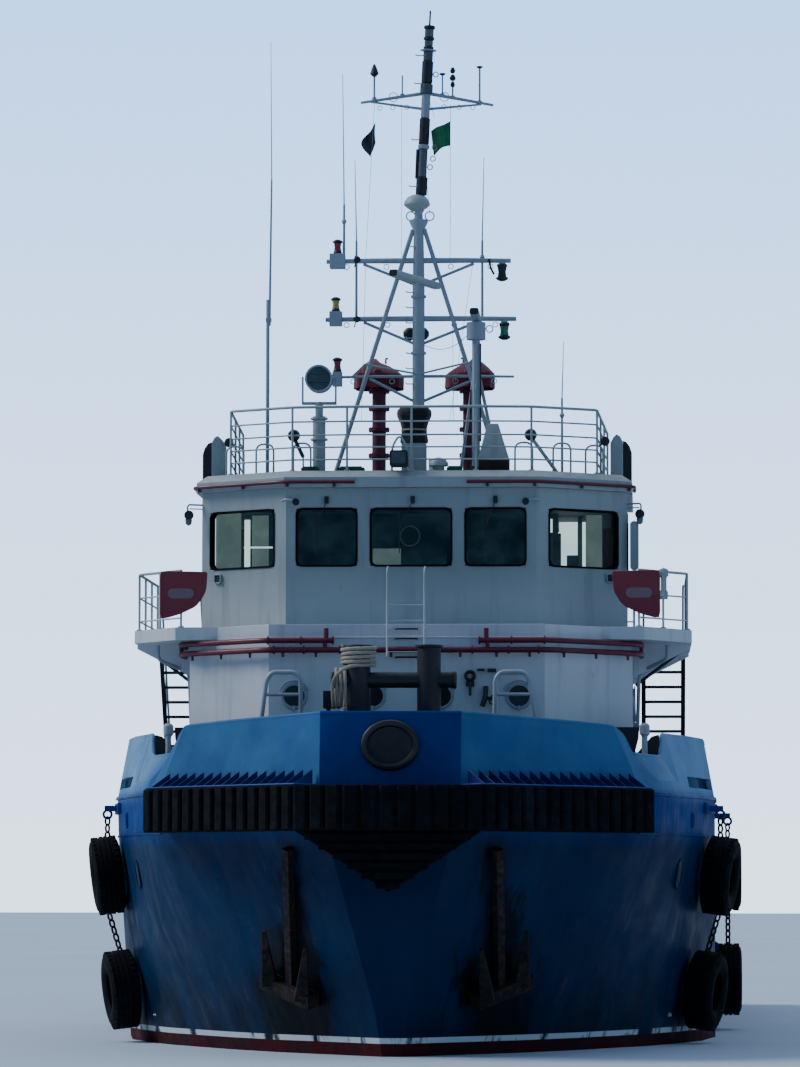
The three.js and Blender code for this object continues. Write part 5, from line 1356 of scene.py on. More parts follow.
def stairs():
    """The side stairs' own stringers and treads in black, partly dark paint and partly painted shade, with
    grey handrails and black edges.
    """
    bars, edges = [], []
    for x in STAIR_SIDES:
        bars += stair_handrail(x)
        inner, outer = x - 0.04, x + 0.04
        edges.append(loft([[(inner, y, z), (inner, y + 0.012, z), (outer, y + 0.012, z), (outer, y, z)]
                           for y, z in ((-4.66, 4.17), (-6.5, 6.9))]))
    for i in range(STAIR["steps"]):
        z = FORE_DECK + STAIR["rise"] * (i + 1)
        y = STAIR["foot"] - STAIR["run"] * (z - FORE_DECK) / (BRIDGE_DECK - FORE_DECK)
        edges.append(block((3.97, 4.61), (y - 0.095, y - 0.07), (z - 0.045, z + 0.008)))
    groups = [(MAST_GREY, bars), (BLACK, edges)]
    for label, side in SIDES:
        made = refined("side_stairs_" + label, 0.006, 30, None, on_side(groups, side))
        # The stairs' own faces are black: partly dark paint, partly painted shade.
        made.data.materials[0] = BLACK
        made.data.materials[1] = BLACK


SPRAY = {"low": 6.56, "high": 6.72, "radius": 0.047, "y": -11.96}
SPRAY_ROUTE = ((2.39, -11.96), (3.9, -10.51), (3.9, -9.6))


NOZZLE = ((0, 0), (0.022, 0), (0.022, 0.05), (0.035, 0.09), (0, 0.09))


def spray_pipes():
    """Water curtain pipes round the house front in two levels, with flanges and nozzles."""
    low, high, radius, y = SPRAY.values()
    lower = ship_wide([(x, at, low) for x, at in SPRAY_ROUTE])
    upper = [(1.2, y, high), *((x, at, high) for x, at in SPRAY_ROUTE)]
    parts = [bent(upper, 0.2, radius, 14), rod((1.33, y, high), (1.33, y, high + 0.2), 0.04, 12)]
    parts += [rod((x, at, low), (x, at, high), 0.034, 12) for x, at in ((1.35, y), (3.9, -10.3))]
    parts += [bar("x", (x, y, low), 0.07, 0.03, 16) for x in (0.55, 1.1, 1.7, 2.2)]
    parts += [bar("x", (x, y, high), 0.07, 0.03, 16) for x in (1.22, 1.75, 2.3)]
    start, corner = Vector(SPRAY_ROUTE[0]), Vector(SPRAY_ROUTE[1])
    nozzles = [start.lerp(corner, t) for t in (0.15, 0.5, 0.85)] + [(x, y) for x in (0.25, 0.9, 1.5, 2.05)]
    parts += [turned(NOZZLE, "z", (*place, low - 0.12), 10) for place in nozzles]
    for x in (0.7, 1.9):
        parts.append(block((x, x + 0.05), (-11.97, HOUSE_FRONT - HAIR), (low - 0.02, low + 0.02)))
        parts.append(hoop("x", (x + 0.025, y, low), 0.045, 0.012, 16))
    parts.append(block((3.9, 3.7503), (-10.2, -10.15), (low - 0.02, low + 0.02)))
    groups = [(PIPE_RED, [bent(lower, 0.2, radius, 14), *both(parts)])]
    piece("spray_pipe_run", "ship", groups, 0, ["spray_pipes"], 40)
    roof_pipe = [(0.95, -10.47, 9.49), (2.17, -10.47, 9.49), (3.79, -9.29, 9.49), (3.79, -8.3, 9.49)]
    run = [bent(roof_pipe, 0.15, 0.03, 12)]
    for x, at in ((1.3, -10.44), (2.1, -10.44), (2.9, -9.93), (3.7, -9.33)):
        run.append(box_at((x, at + 0.03, 9.46), (0.05, 0.1, 0.1)))
    piece("roof_spray_pipe", "ship", [(PIPE_RED, both(run))], 0.004)


LADDER_HALF = 0.31


def front_ladder():
    """The ladder on the house front: two stringers with brackets and rungs, and step irons below."""
    wall, tread, y = HOUSE_FRONT - HAIR, HOUSE_FRONT - 0.12, HOUSE_FRONT - 0.3
    route = [(LADDER_HALF, y + 0.29, 7.95), (LADDER_HALF, y, 7.9), (LADDER_HALF, y, 6.45)]
    stringers = [bent(route, 0.12, 0.016, 12)]
    for z in (6.48, 6.9):
        stringers.append(block((LADDER_HALF - 0.012, LADDER_HALF + 0.012), (y, wall), (z - 0.015, z + 0.015)))
    rungs = [rod((-LADDER_HALF, y, z), (LADDER_HALF, y, z), 0.006, 8) for z in (6.52, 6.78, 7.04, 7.3)]
    irons = []
    for z in (6.44, 6.6, 6.75, 6.91):
        iron = [(-0.18, wall, z), (-0.18, tread, z), (0.18, tread, z), (0.18, wall, z)]
        irons.append(bent(iron, 0.04, 0.014, 8))
    groups = [(HOUSE_WHITE, [*both(stringers), *rungs]), (BLACK, irons)]
    piece("front_ladder_tubes", "ship", groups, 0, ["front_ladder"], 50)


# Foredeck: bitt with its rope, windlass and hoops

BITT = {"x": 0.555, "y": -15.9, "radius": 0.188, "top": 6.44, "bar_z": 5.885, "bar_half": 0.99}


def bow_bitt():
    """The H-shaped bitt, with capped posts, gusset plates and a flanged crossbar."""
    x, y, radius, top, bar_z, bar_half = BITT.values()
    foot = FORE_DECK + 0.02
    post = [
        (0, foot), (radius + 0.05, foot), (radius + 0.05, foot + 0.05), (radius, foot + 0.07),
        (radius, top - 0.05), (radius + 0.03, top - 0.04), (radius + 0.035, top - 0.008), (radius + 0.02, top),
        (0, top),
    ]
    stay = [(y + 0.1, FORE_DECK + 0.03), (y + 0.1, 5.5), (y + 0.9, FORE_DECK + 0.03)]
    half = [turned(post, "z", (x, y, 0), 40), prism(stay, "x", x - 0.03, x + 0.03)]
    crossbar = symmetric([
        (0, -bar_half), (0.12, -bar_half), (0.137, -bar_half + 0.012), (0.137, -bar_half + 0.05),
        (0.124, -bar_half + 0.055),
    ])
    plate = block((-0.9, 0.9), (y - 0.35, y + 0.95), (FORE_DECK + HAIR, FORE_DECK + 0.04))
    black = [plate, *both(half), turned(crossbar, "x", (0, y, bar_z), 32)]
    piece("bow_bitt_posts", "ship", [(BLACK, black)], 0.008, ["bow_bitt"], 40)


def strand(route, radius, twist, sides=12, lobes=3):
    """A laid rope along a smooth route: a round bar whose section has lobes that turn as it goes."""
    points = [Vector(p) for p in route]
    rings, normal, run = [], None, 0.0
    for i, point in enumerate(points):
        before, after = points[max(i - 1, 0)], points[min(i + 1, len(points) - 1)]
        heading = (after - before).normalized()
        if normal is None:
            normal = heading.orthogonal()
        normal = (normal - heading * normal.dot(heading)).normalized()
        across = heading.cross(normal)
        run += (point - points[i - 1]).length if i else 0
        ring = []
        for a in circle(sides):
            r = radius * (0.9 + 0.1 * math.cos(lobes * a + run * twist))
            ring.append(point + (normal * math.cos(a) + across * math.sin(a)) * r)
        rings.append(ring)
    return loft(rings)


ROPE_RADIUS = 0.032
ROPE_TWIST = 42.0
ROPE_PITCH = 0.067
HEAD_TURN = {"radius": 0.262, "top": 6.425, "turns": 4.75, "steps": 28}
BAR_TURN = {"x": -0.955, "y": 0.2, "z": 0.302, "drop": 0.125, "turns": 3, "steps": 26}
LEAD_STEPS = 9
TAIL = ((-0.756, -16.106, 5.68), (-0.758, -16.11, 5.6), (-0.762, -16.115, 5.5), (-0.764, -16.118, 5.4))


def head_turns(x, y):
    """Turns round the head of the post, from the top one down."""
    steps = HEAD_TURN["steps"]
    route = []
    for k in range(int(HEAD_TURN["turns"] * steps) + 1):
        a = 2 * math.pi * k / steps + math.pi
        tucked = 0.022 * max(0, 1 - k / 8)
        r = HEAD_TURN["radius"] + 0.008 * math.sin(2.3 * a) - 0.012 * k / 126 - tucked
        route.append((x + r * math.cos(a), y - r * math.sin(a), HEAD_TURN["top"] - ROPE_PITCH * k / steps))
    return route


def bar_turns(y, z):
    """Slack turns over the stub of the bar, which end at its front."""
    x, wide, tall, _, turns, steps = BAR_TURN.values()
    route = []
    for k in range(turns * steps + 1):
        b = math.pi + 2 * math.pi * k / steps
        route.append((x + ROPE_PITCH * k / steps, y + wide * math.cos(b), z + tall * math.sin(b)))
    return route


def lead(start, end):
    """The stretch ahead of the turns, from one winding to the other: a quarter of an ellipse that bulges."""
    route = []
    for k in range(1, LEAD_STEPS):
        t = math.pi / 2 * k / LEAD_STEPS
        y = start[1] + (end[1] - start[1]) * (1 - math.cos(t)) - 0.022 * math.sin(2 * t)
        x = start[0] + (end[0] - start[0]) * math.sin(t)
        route.append((x, y, end[2] + (start[2] - end[2]) * math.cos(t)))
    return route


def bitt_rope():
    """Mooring rope left on the starboard post: turns round its head, three over the bar's stub, and a tail."""
    over_head = head_turns(-BITT["x"], BITT["y"])
    over_bar = bar_turns(BITT["y"], BITT["bar_z"] - BAR_TURN["drop"])
    route = [*over_head, *lead(over_head[-1], over_bar[0]), *over_bar, *TAIL]
    groups = [(ROPE, [strand(route, ROPE_RADIUS, ROPE_TWIST)])]
    made = piece("bitt_rope", "ship", groups, 0, (), 180)
    end = Vector(route[-1])
    wraps = [hoop("z", (end.x, end.y, end.z + lift), 0.03, 0.016, 16) for lift in (-0.03, 0.0, 0.03)]
    frayed = turned([(0, -0.14), (0.028, -0.13), (0.034, -0.06), (0.03, 0.0), (0, 0.01)], "z", end, 14)
    knot = piece("bitt_rope_whipping", "ship", [(ROPE, [*wraps, frayed])], 0, (), 60)


WINDLASS = {"y": -13.9, "base": FORE_DECK, "axis": 4.95, "half": 0.65, "cheek": 0.11, "drum": 0.26,
            "flange": 0.52, "depth": 0.52}
HOOP = ((2.33, 4.19), (2.11, 5.95), (2.02, 6.07), (1.65, 6.07), (1.56, 5.95), (1.54, 4.19))


WINDING_STEPS = 20


def windings(x_low, x_high, y, z, core, pitch, layers=1):
    """Rope or wire wound on a drum whose axis is X."""
    parts = []
    for layer in range(layers):
        radius = core + pitch * (0.5 + 0.86 * layer)
        low, high = x_low + pitch * (0.5 + 0.5 * (layer % 2)), x_high - pitch * 0.5
        turns = int((high - low) / pitch)
        route = []
        for k in range(turns * WINDING_STEPS + 1):
            a = 2 * math.pi * k / WINDING_STEPS
            route.append((low + pitch * k / WINDING_STEPS, y + radius * math.cos(a), z + radius * math.sin(a)))
        parts.append(tube(route, pitch * 0.49, 7))
    return parts


def winch_frame(size):
    """Cheeks with stiffened edges and bearing caps, a gearbox with ribs and covers, and the bed of a winch."""
    y, base, axis, half, cheek, _, flange, depth = size.values()
    inner, outer = half + cheek, half + cheek + flange * 0.7
    shoulder = (flange * 0.35, axis + flange * 0.45)
    outline = [(y - depth, base + 0.06), (y - shoulder[0], shoulder[1]), (y + shoulder[0], shoulder[1]),
               (y + depth, base + 0.06)]
    box_y, rib_y = (y - flange * 0.55, y + flange * 0.55), (y - flange * 0.6, y + flange * 0.6)
    parts = [
        block((inner - 0.005, outer - 0.03), box_y, (base + 0.05, axis + flange * 0.3)),
        block((-inner - 0.2, inner + flange * 0.8), (y - depth, y + depth), (base + HAIR, base + 0.08)),
        bar("x", (outer - 0.015, y, axis), flange * 0.32, 0.03, 32),
        bar("x", (outer - 0.015, y, axis - flange * 0.62), flange * 0.16, 0.03, 24),
    ]
    for k in range(5):
        x = inner + (outer - inner - 0.06) * (k + 0.5) / 5
        parts.append(block((x - 0.012, x + 0.012), rib_y, (base + 0.06, axis + flange * 0.34)))
    cheeks = [
        prism(outline, "x", half, inner),
        tube([(inner - 0.012, a, b) for a, b in outline], cheek * 0.16, 8),
        bar("x", (inner + 0.005, y, axis), flange * 0.42, 0.05, 32),
    ]
    ring = flange * 0.36
    for a in circle(10):
        place = (inner + 0.03, y + ring * math.cos(a), axis + ring * math.sin(a))
        cheeks.append(bar("x", place, flange * 0.035, 0.03, 6))
    return [*parts, *both(cheeks)]


HOOP_Y = -14.65
GYPSY = ((0, 0.0), (0.16, 0.0), (0.2, 0.05), (0.13, 0.12), (0.13, 0.18), (0.2, 0.25), (0.16, 0.3), (0, 0.3))


def pipe_hoops():
    """The pale pipe hoop that stands on each side of the windlass, to port."""
    feet = [bar("z", (x, HOOP_Y, 4.245), 0.08, 0.03, 16) for x in (2.33, 1.54)]
    arch = bent([(x, HOOP_Y, z) for x, z in HOOP], 0.1, 0.038, 14)
    return [arch, rod((1.55, HOOP_Y, 5.71), (2.15, HOOP_Y, 5.71), 0.028, 12), *feet]


def windlass():
    y, _, axis, half, cheek, drum, flange, _ = WINDLASS.values()
    plinth = block((-2.45, 2.45), (-14.72, -14.38), (FORE_DECK + HAIR, FORE_DECK + 0.08))
    dark = [*winch_frame(WINDLASS), plinth]
    gypsy = turned(GYPSY, "x", (0, 0, 0), 24)
    for side in (PORT, STARBOARD):
        base = half + cheek + (flange * 0.7 if side == PORT else 0.0)
        dark += placed([gypsy], side * base, y, axis + 0.12, 0, 0, side)
    dark.append(block((-1.2, -1.04), (y - 0.75, y - 0.5), (5.49, 5.77)))
    dark.append(rod((-1.12, y - 0.62, FORE_DECK + 0.05), (-1.12, y - 0.62, 5.5), 0.035, 10))
    groups = [(BLACK, dark), (MAST_GREY, both(pipe_hoops()))]
    piece("windlass_set", "ship", groups, 0.008, ["windlass_frame"], 40)
    coil = windings(-half + 0.06, half - 0.06, y, axis, drum, 0.07, 2)
    refined("windlass_drum", 0.008, 30, None, [(ROPE, coil)])


# Mast, lamps and aerials

MAST_Y = -7.6
COLUMN = (
    # radius, height
    (0, ROOF + HAIR), (0.26, ROOF + HAIR), (0.26, ROOF + 0.03), (0.107, ROOF + 0.035), (0.107, 13.2),
    (0.09, 14.0), (0.088, 14.16), (0.165, 14.32), (0.165, 14.36), (0, 14.36),
)
DOME = (
    # radius, height
    (0, 14.52), (0.1, 14.52), (0.17, 14.57), (0.232, 14.625), (0.232, 14.645), (0.214, 14.7), (0.165, 14.765),
    (0.085, 14.805), (0, 14.815),
)
BULB = ((0, -0.06), (0.05, -0.04), (0.06, 0.0), (0.05, 0.04), (0, 0.06))
BELL = ((0, -0.12), (0.07, -0.1), (0.12, -0.04), (0.12, 0.04), (0.07, 0.1), (0, 0.12))
UPPER_ARMS = (
    # x and z of the outer end
    (-1.034, 16.48), (1.313, 16.42),
)
HALYARDS = (
    # x, z of one end, then of the other
    ((-0.78, 16.45), (-0.93, 13.7)), ((-0.93, 13.7), (-1.0, 10.8)), ((-0.3, 16.42), (-0.3, 13.7)),
    ((0.56, 16.4), (0.56, 13.68)), ((0.95, 13.55), (0.55, 10.8)), ((0.6, 12.5), (0.62, 10.8)),
    ((0.2, 16.45), (0.28, 16.17)), ((0.13, 15.2), (0.2, 14.45)),
)
POLE = (
    # low, high, radius, material name
    (14.5, 14.8, 0.062, "grey"), (14.8, 15.12, 0.1, "black"), (15.12, 15.62, 0.076, "dull"),
    (15.62, 15.7, 0.1, "grey"), (15.7, 16.17, 0.092, "black"), (16.17, 16.6, 0.078, "grey"),
    (16.6, 16.78, 0.112, "dull"), (16.79, 17.19, 0.098, "black"), (17.19, 17.37, 0.085, "dull"),
    (17.37, 17.39, 0.146, "grey"), (17.4, 17.45, 0.09, "black"), (17.45, 17.56, 0.075, "lens"),
    (17.56, 17.62, 0.095, "black"), (17.62, 17.76, 0.078, "lens"), (17.76, 17.82, 0.1, "black"),
    (17.82, 18.09, 0.016, "black"),
)
YARDS = (
    # z, half length, foot of the braces, shift to port, radius
    (11.58, 1.59, 11.15, 0.09, 0.026), (12.6, 1.68, 12.17, 0.04, 0.047), (13.63, 1.625, 13.22, 0.0, 0.047),
)
AERIALS = (
    # x, foot, top, radius of the pole, shape of the head
    (-0.79, 16.52, 16.93, 0.018, "spade"),
    (-0.294, 16.58, 16.95, 0.014, "bare"),
    (0.416, 16.58, 16.96, 0.014, "tee"),
    (0.597, 16.54, 16.72, 0.016, "cup"),
    (1.074, 16.45, 17.08, 0.018, "tee"),
)
WHIPS = (
    # x, foot, end of the thick part, top
    (-1.32, 13.63, 14.65, 16.98),
    (-1.10, 12.6, 14.0, 15.44),
    (1.12, 12.6, 14.0, 15.48),
    (2.52, ROOF, 11.2, 12.2),
)


def pole_x(z):
    """The upper pole leans to port."""
    return 0.02 + (z - 14.3) * 0.0487


def capped(start, end, radius, chamfer=0.012, sides=20):
    """A round bar with eased ends."""
    start, end = Vector(start), Vector(end)
    step = (end - start).normalized() * min(chamfer, (end - start).length * 0.3)
    return tube([start, start + step, end - step, end], [radius * 0.86, radius, radius, radius * 0.86], sides)


def lantern(x, z, height=0.27, radius=0.078):
    """Black foot and cap, and the glass between them; a negative height hangs it."""
    h = height
    foot = [(0, 0), (radius * 0.9, 0), (radius, h * 0.1), (radius * 0.8, h * 0.24), (0, h * 0.24)]
    cap = [(0, h * 0.72), (radius * 0.8, h * 0.74), (radius * 1.15, h * 0.8), (radius * 1.1, h * 0.9),
           (radius * 0.5, h), (0, h)]
    lens = [(0, h * 0.22), (radius * 0.84, h * 0.22), (radius * 0.7, h * 0.48), (radius * 0.84, h * 0.74),
            (0, h * 0.74)]
    place = (x, MAST_Y, z)
    return [turned(foot, "z", place, 18), turned(cap, "z", place, 18)], [turned(lens, "z", place, 18)]


def mast_column():
    """The mast's lower column with its collars and its two raking stays."""
    y = MAST_Y
    parts = [turned(COLUMN, "z", (0, y, 0), 32)]
    parts.append(turned([(0, 14.36), (0.075, 14.36), (0.07, 14.52), (0, 14.52)], "z", (0, y, 0), 24))
    parts += [collar("z", (0, y, z), (0.1, 0.135), (-0.02, 0.02), 24) for z in (10.9, 12.0, 13.0)]
    parts += [hoop("y", (x, y, 14.43), 0.078, 0.011, 20) for x in (-0.139, 0.194)]
    for head, foot in (((-0.1, 14.19), -1.51), ((0.1, 14.2), 1.51)):
        parts.append(rod((head[0], y, head[1]), (foot, y - 0.1, ROOF + HAIR), 0.04, 14))
        parts.append(bar("z", (foot, y - 0.1, ROOF + 0.0143), 0.11, 0.028, 16))
    return parts


def mast_yards():
    """Three tapered yards with their braces and hanging eyes, and the struts ahead of the lowest one."""
    y = MAST_Y
    parts = []
    for z, half, foot, shift, radius in YARDS:
        stations = ((-1, 0, 0.85), (-0.5, 0.01, 1), (0, 0.01, 1.1), (0.5, 0.01, 1), (1, 0, 0.85))
        route = [(shift + half * t, y, z + lift) for t, lift, _ in stations]
        parts.append(tube(route, [radius * share for _, _, share in stations], 14))
        for side in (PORT, STARBOARD):
            parts.append(rod((side * 0.08, y, foot), (shift + side * half * 0.6, y, z - radius), 0.026, 10))
            for t in (0.35, 0.78):
                parts.append(hoop("y", (shift + side * half * t, y, z - radius - 0.05), 0.045, 0.007, 14))
    for x, z in ((-0.93, 11.776), (0.88, 11.8)):
        parts.append(rod((0, y - 0.08, 11.62), (x, y - 0.3, z), 0.018, 8))
        parts.append(rod((x, y - 0.3, z), (x * 1.25, y, 11.6), 0.014, 8))
    return parts


def upper_arms():
    """The two arms near the masthead, each of an upper and a lower bar with hoops."""
    y = MAST_Y
    parts = []
    for x, z in UPPER_ARMS:
        parts.append(tube([(pole_x(16.6), y, 16.62), (x, y + 0.15, z)], [0.034, 0.024], 12))
        parts.append(tube([(pole_x(16.35), y, 16.33), (x * 0.84, y + 0.12, z + 0.01)], [0.026, 0.018], 10))
        for t in (0.28, 0.5, 0.7):
            place = (pole_x(16) + (x - 0.1) * t, y + 0.1, 16.4 - 0.04 * t)
            parts.append(hoop("y", place, 0.04, 0.006, 12))
        parts.append(hoop("y", (math.copysign(0.45, x), y + 0.05, 16.56), 0.08, 0.007, 18))
    return parts


def mast_steps():
    """Climbing steps up the starboard side of the mast."""
    parts = []
    for z in (*np.arange(10.1, 14.0, 0.27), 14.95, 15.78, 16.78, 17.28):
        x, front = (pole_x(z) if z > 14.3 else 0) - 0.07, MAST_Y - 0.07
        step = [(x, front, z), (x - 0.14, front, z), (x - 0.15, MAST_Y - 0.02, z + 0.03),
                (x - 0.15, MAST_Y + 0.05, z + 0.03)]
        parts.append(bent(step, 0.04, 0.01, 6, 3))
    return parts


def mast():
    y = MAST_Y
    grey = [*mast_column(), *mast_yards(), *upper_arms(), *mast_steps()]
    named = {"grey": grey, "black": [], "lens": [], "dull": []}
    for low, high, radius, colour_name in POLE:
        named[colour_name].append(capped((pole_x(low), y, low), (pole_x(high), y, high), radius))
    black = named["black"]
    black.append(capped((pole_x(15.1) - 0.095, y, 15.1), (pole_x(15.6) - 0.1, y, 15.62), 0.03, 0.01, 12))
    black += [turned(BELL, "z", (x, y + 0.16, 12.36), 20) for x in (-0.16, 0.06)]
    groups = [
        (MAST_GREY, named["grey"]), (BLACK, black), (LENS, named["lens"]), (CONSOLE, named["dull"]),
        (HOUSE_WHITE, [turned(DOME, "z", (-0.03, y, 0), 36)]),
    ]
    piece("mast_tubes", "ship", groups, 0, ["mast"], 40)


def lanterns():
    """Lamps in boxes to starboard and hanging lamps to port, with a few loose fittings on the yards."""
    y = MAST_Y
    black, red, yellow, green, boxes = [], [], [], [], []
    boxed = ((-1.43, 13.76, 0.27, red), (-1.46, 12.74, 0.22, yellow), (-1.43, 11.67, 0.17, red))
    for x, z, wide, glass in boxed:
        boxes.append(block((x - wide / 2, x + wide / 2), (y - wide / 2, y + wide / 2), (z - 0.25, z)))
        dark, lens = lantern(x, z, 0.26)
        black += dark
        glass += lens
    for x, z, glass in ((1.47, 13.57, black), (1.51, 12.53, green)):
        dark, lens = lantern(x, z, -0.3, 0.095)
        black += dark
        glass += lens
        boxes.append(box_at((x, y, z + 0.02), (0.12, 0.12, 0.05)))
    for z in (13.66, 12.6):
        black.append(turned(BULB, "z", (-1.08, y - 0.06, z), 14))
        black.append(tube([(-1.1, y - 0.06, z - 0.04), (-1.13, y - 0.06, z - 0.14)], 0.012, 6))
    black.append(tube([(1.24, y - 0.05, 13.66), (1.27, y - 0.06, 13.5), (1.33, y - 0.06, 13.38)], 0.02, 8))
    black.append(hoop("y", (1.25, y - 0.04, 12.42), 0.06, 0.01, 14))
    groups = [(MAST_GREY, boxes), (BLACK, black), (LAMP_RED, red), (LAMP_YELLOW, yellow), (LAMP_GREEN, green)]
    piece("mast_lamps", "ship", groups, 0.006)


def aerial_head(shape, place):
    """The black head of an aerial: a spade, a tee, a stack of three cups, or none."""
    if shape == "spade":
        rows = [(0, -0.01), (0.03, 0), (0.08, 0.05), (0.05, 0.14), (0.018, 0.22), (0, 0.23)]
        return [turned(rows, "z", place, 18)]
    if shape == "tee":
        return [turned([(0, -0.02), (0.02, -0.02), (0.055, 0.0), (0.055, 0.02), (0, 0.025)], "z", place, 14)]
    heads = []
    for lift, wide in ((0.0, 0.045), (0.12, 0.06), (0.25, 0.05)) if shape == "cup" else ():
        rows = [(0, 0), (wide * 0.6, 0.01), (wide, 0.05), (wide * 0.5, 0.11), (0, 0.12)]
        heads.append(turned([(r, lift + h) for r, h in rows], "z", place, 14))
    return heads


def whip(x, foot, thick, top):
    """A whip aerial that leans outwards above its thick part."""
    y, lean = MAST_Y + 0.05, math.copysign(0.03, x)
    joint = [(0, -0.06), (0.03, -0.04), (0.045, 0.0), (0.03, 0.04), (0, 0.06)]
    return [
        tube([(x, y, foot), (x, y, thick)], [0.026, 0.02], 10),
        turned(joint, "z", (x, y, thick - 0.3), 14),
        tube([(x, y, thick), (x + lean, y, top)], [0.014, 0.006], 6),
    ]


def aerials():
    """Aerials on the upper arms, whip aerials, and the tall aerial that stands on the roof to starboard."""
    y = MAST_Y
    grey, black = [], []
    for x, foot, top, radius, head in AERIALS:
        grey.append(capped((x, y + 0.06, foot - 0.03), (x, y + 0.06, top), radius, 0.005, 10))
        grey.append(bar("z", (x, y + 0.06, foot + 0.02), 0.04, 0.04, 12))
        black += aerial_head(head, (x, y + 0.06, top))
    for row in WHIPS:
        grey += whip(*row)
    grey += [
        capped((-2.66, y, ROOF - 0.02), (-2.66, y, 12.96), 0.032, 0.01, 12),
        bar("z", (-2.66, y, ROOF + 0.0153), 0.09, 0.03, 14),
        tube([(-2.63, y, 12.5), (-2.6, y, 15.1)], [0.024, 0.016], 10),
        tube([(-2.6, y, 15.1), (-2.62, y, 17.54)], [0.012, 0.005], 6),
        box_at((-2.645, y, 12.6), (0.1, 0.08, 0.06)),
    ]
    piece("aerials", "ship", [(MAST_GREY, grey), (BLACK, black)], 0, (), 40)


def halyards():
    """Taut signal lines from the yards down to the roof rail, a few rings and a slack cable."""
    lines = []
    for (x, z), (end_x, end_z) in HALYARDS:
        lines.append(rod((x, MAST_Y - 0.02, z), (end_x, MAST_Y - 0.06, end_z), 0.004, 5))
    for x, z in ((0.28, 15.65), (0.25, 15.45), (0.2, 15.3), (0.3, 16.95)):
        lines.append(hoop("y", (x, MAST_Y, z), 0.045, 0.009, 12))
    route = []
    for k in range(10):
        sag = 0.25 * math.sin(min(k, 8) / 8 * math.pi * 0.5) - 0.005 * k * k
        route.append((0.06 + 0.09 * k, MAST_Y - 0.12, 12.15 - sag))
    lines.append(tube(route, 0.006, 6))
    piece("signal_halyards", "ship", [(ROPE, lines)], 0, (), 60)


def sheet_grid(corner, across, down, rows, columns, sag):
    """A hanging cloth as a grid of points, pushed out of its plane and pulled down by a function."""
    points, faces = [], []
    for j in range(rows + 1):
        for i in range(columns + 1):
            u, v = i / columns, j / rows
            point = Vector(corner) + Vector(across) * u + Vector(down) * v + Vector(sag(u, v))
            points.append(tuple(point))
    for j in range(rows):
        for i in range(columns):
            a = j * (columns + 1) + i
            faces.append((a, a + 1, a + columns + 2, a + columns + 1))
    return points, faces


def green_fold(u, v):
    """How far a point of the green flag is pushed out of its plane, across (u) and down (v)."""
    return 0.05 * u * v, 0.1 * math.sin(7 * u + 1.5 * v) * u, -0.05 * u + 0.16 * u * v * (1 - u)


def dark_fold(u, v):
    """The same for the dark flag."""
    across = 0.09 * u * math.cos(5 * v + 0.4) + 0.06 * v * (v - 1)
    return across, 0.07 * math.sin(9 * u + 4 * v) * u, -0.12 * u * v


FLAGS = (
    # name, material, x of the upper corner, the way across, hoist, columns, folds
    ("green_flag", BUNTING_GREEN, 0.562, (-0.35, 0, -0.12), 0.44, 22, green_fold),
    ("dark_flag", BUNTING_DARK, -0.76, (-0.15, 0, -0.13), 0.38, 12, dark_fold),
)


def flags():
    """A plain green flag that hangs almost limp, and a dark one worn to a strip."""
    for name, material, x, across, hoist, columns, folds in FLAGS:
        cloth = sheet_grid((x, MAST_Y, 16.12), across, (0.0, 0, -hoist), 22, columns, folds)
        made = piece(name, "ship", [(material, [cloth])], 0, (), 180)


# Radars, monitors and what stands on the roof


SCANNERS = (
    # node, centre of the housing, turn
    ("main_scanner", (0, -8.82, 13.15), 1.22),
    ("second_scanner", (1.06, -9.0, 12.45), math.pi / 2),
)


def scanners():
    """The two radar scanners: a long housing with dark ends on a neck."""
    housing = prism(rounded_box(0.16, 0.12, 0.04), "y", -0.985, 0.985)
    ends = [prism(rounded_box(0.15, 0.11, 0.035), "y", a, b) for a, b in ((-0.995, -0.98), (0.98, 0.995))]
    for node, (x, y, z), turn in SCANNERS:
        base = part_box(node)[0][2]
        neck = [(0, base), (0.055, base), (0.06, z - 0.05), (0.09, z - 0.03), (0, z - 0.03)]
        white = [*placed([housing], x, y, z, turn + math.pi / 2), turned(neck, "z", (x, y, 0), 18)]
        groups = [(HOUSE_WHITE, white), (BLACK, placed(ends, x, y, z, turn + math.pi / 2))]
        piece(node + "_array", NODES[node]["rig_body"], groups, 0.008, [node])


def radar_post():
    refined("radar_post", 0.01)
    rings = [hoop("x", (1.06, -9.0, z), 0.11, 0.01, 14) for z in (11.2, 11.9)]
    cables = [
        rod((1.14, -9.06, 10.3), (1.14, -9.06, 12.0), 0.014, 8),
        rod((0.95, -9.02, 10.0), (0.97, -9.02, 11.2), 0.012, 8),
    ]
    foot = [(1.12, -9.7), (1.65, -9.7), (1.65, -9.25), (1.12, -9.25)]
    head = [(1.27, -9.56), (1.42, -9.56), (1.42, -9.38), (1.27, -9.38)]
    rows = ((foot, ROOF + HAIR), (foot, 9.95), (head, 10.56))
    locker = loft([[(x, y, z) for x, y in outline] for outline, z in rows])
    groups = [(MAST_GREY, rings), (HOUSE_WHITE, [locker]), (BLACK, cables)]
    piece("radar_post_fittings", "ship", groups, 0.008)


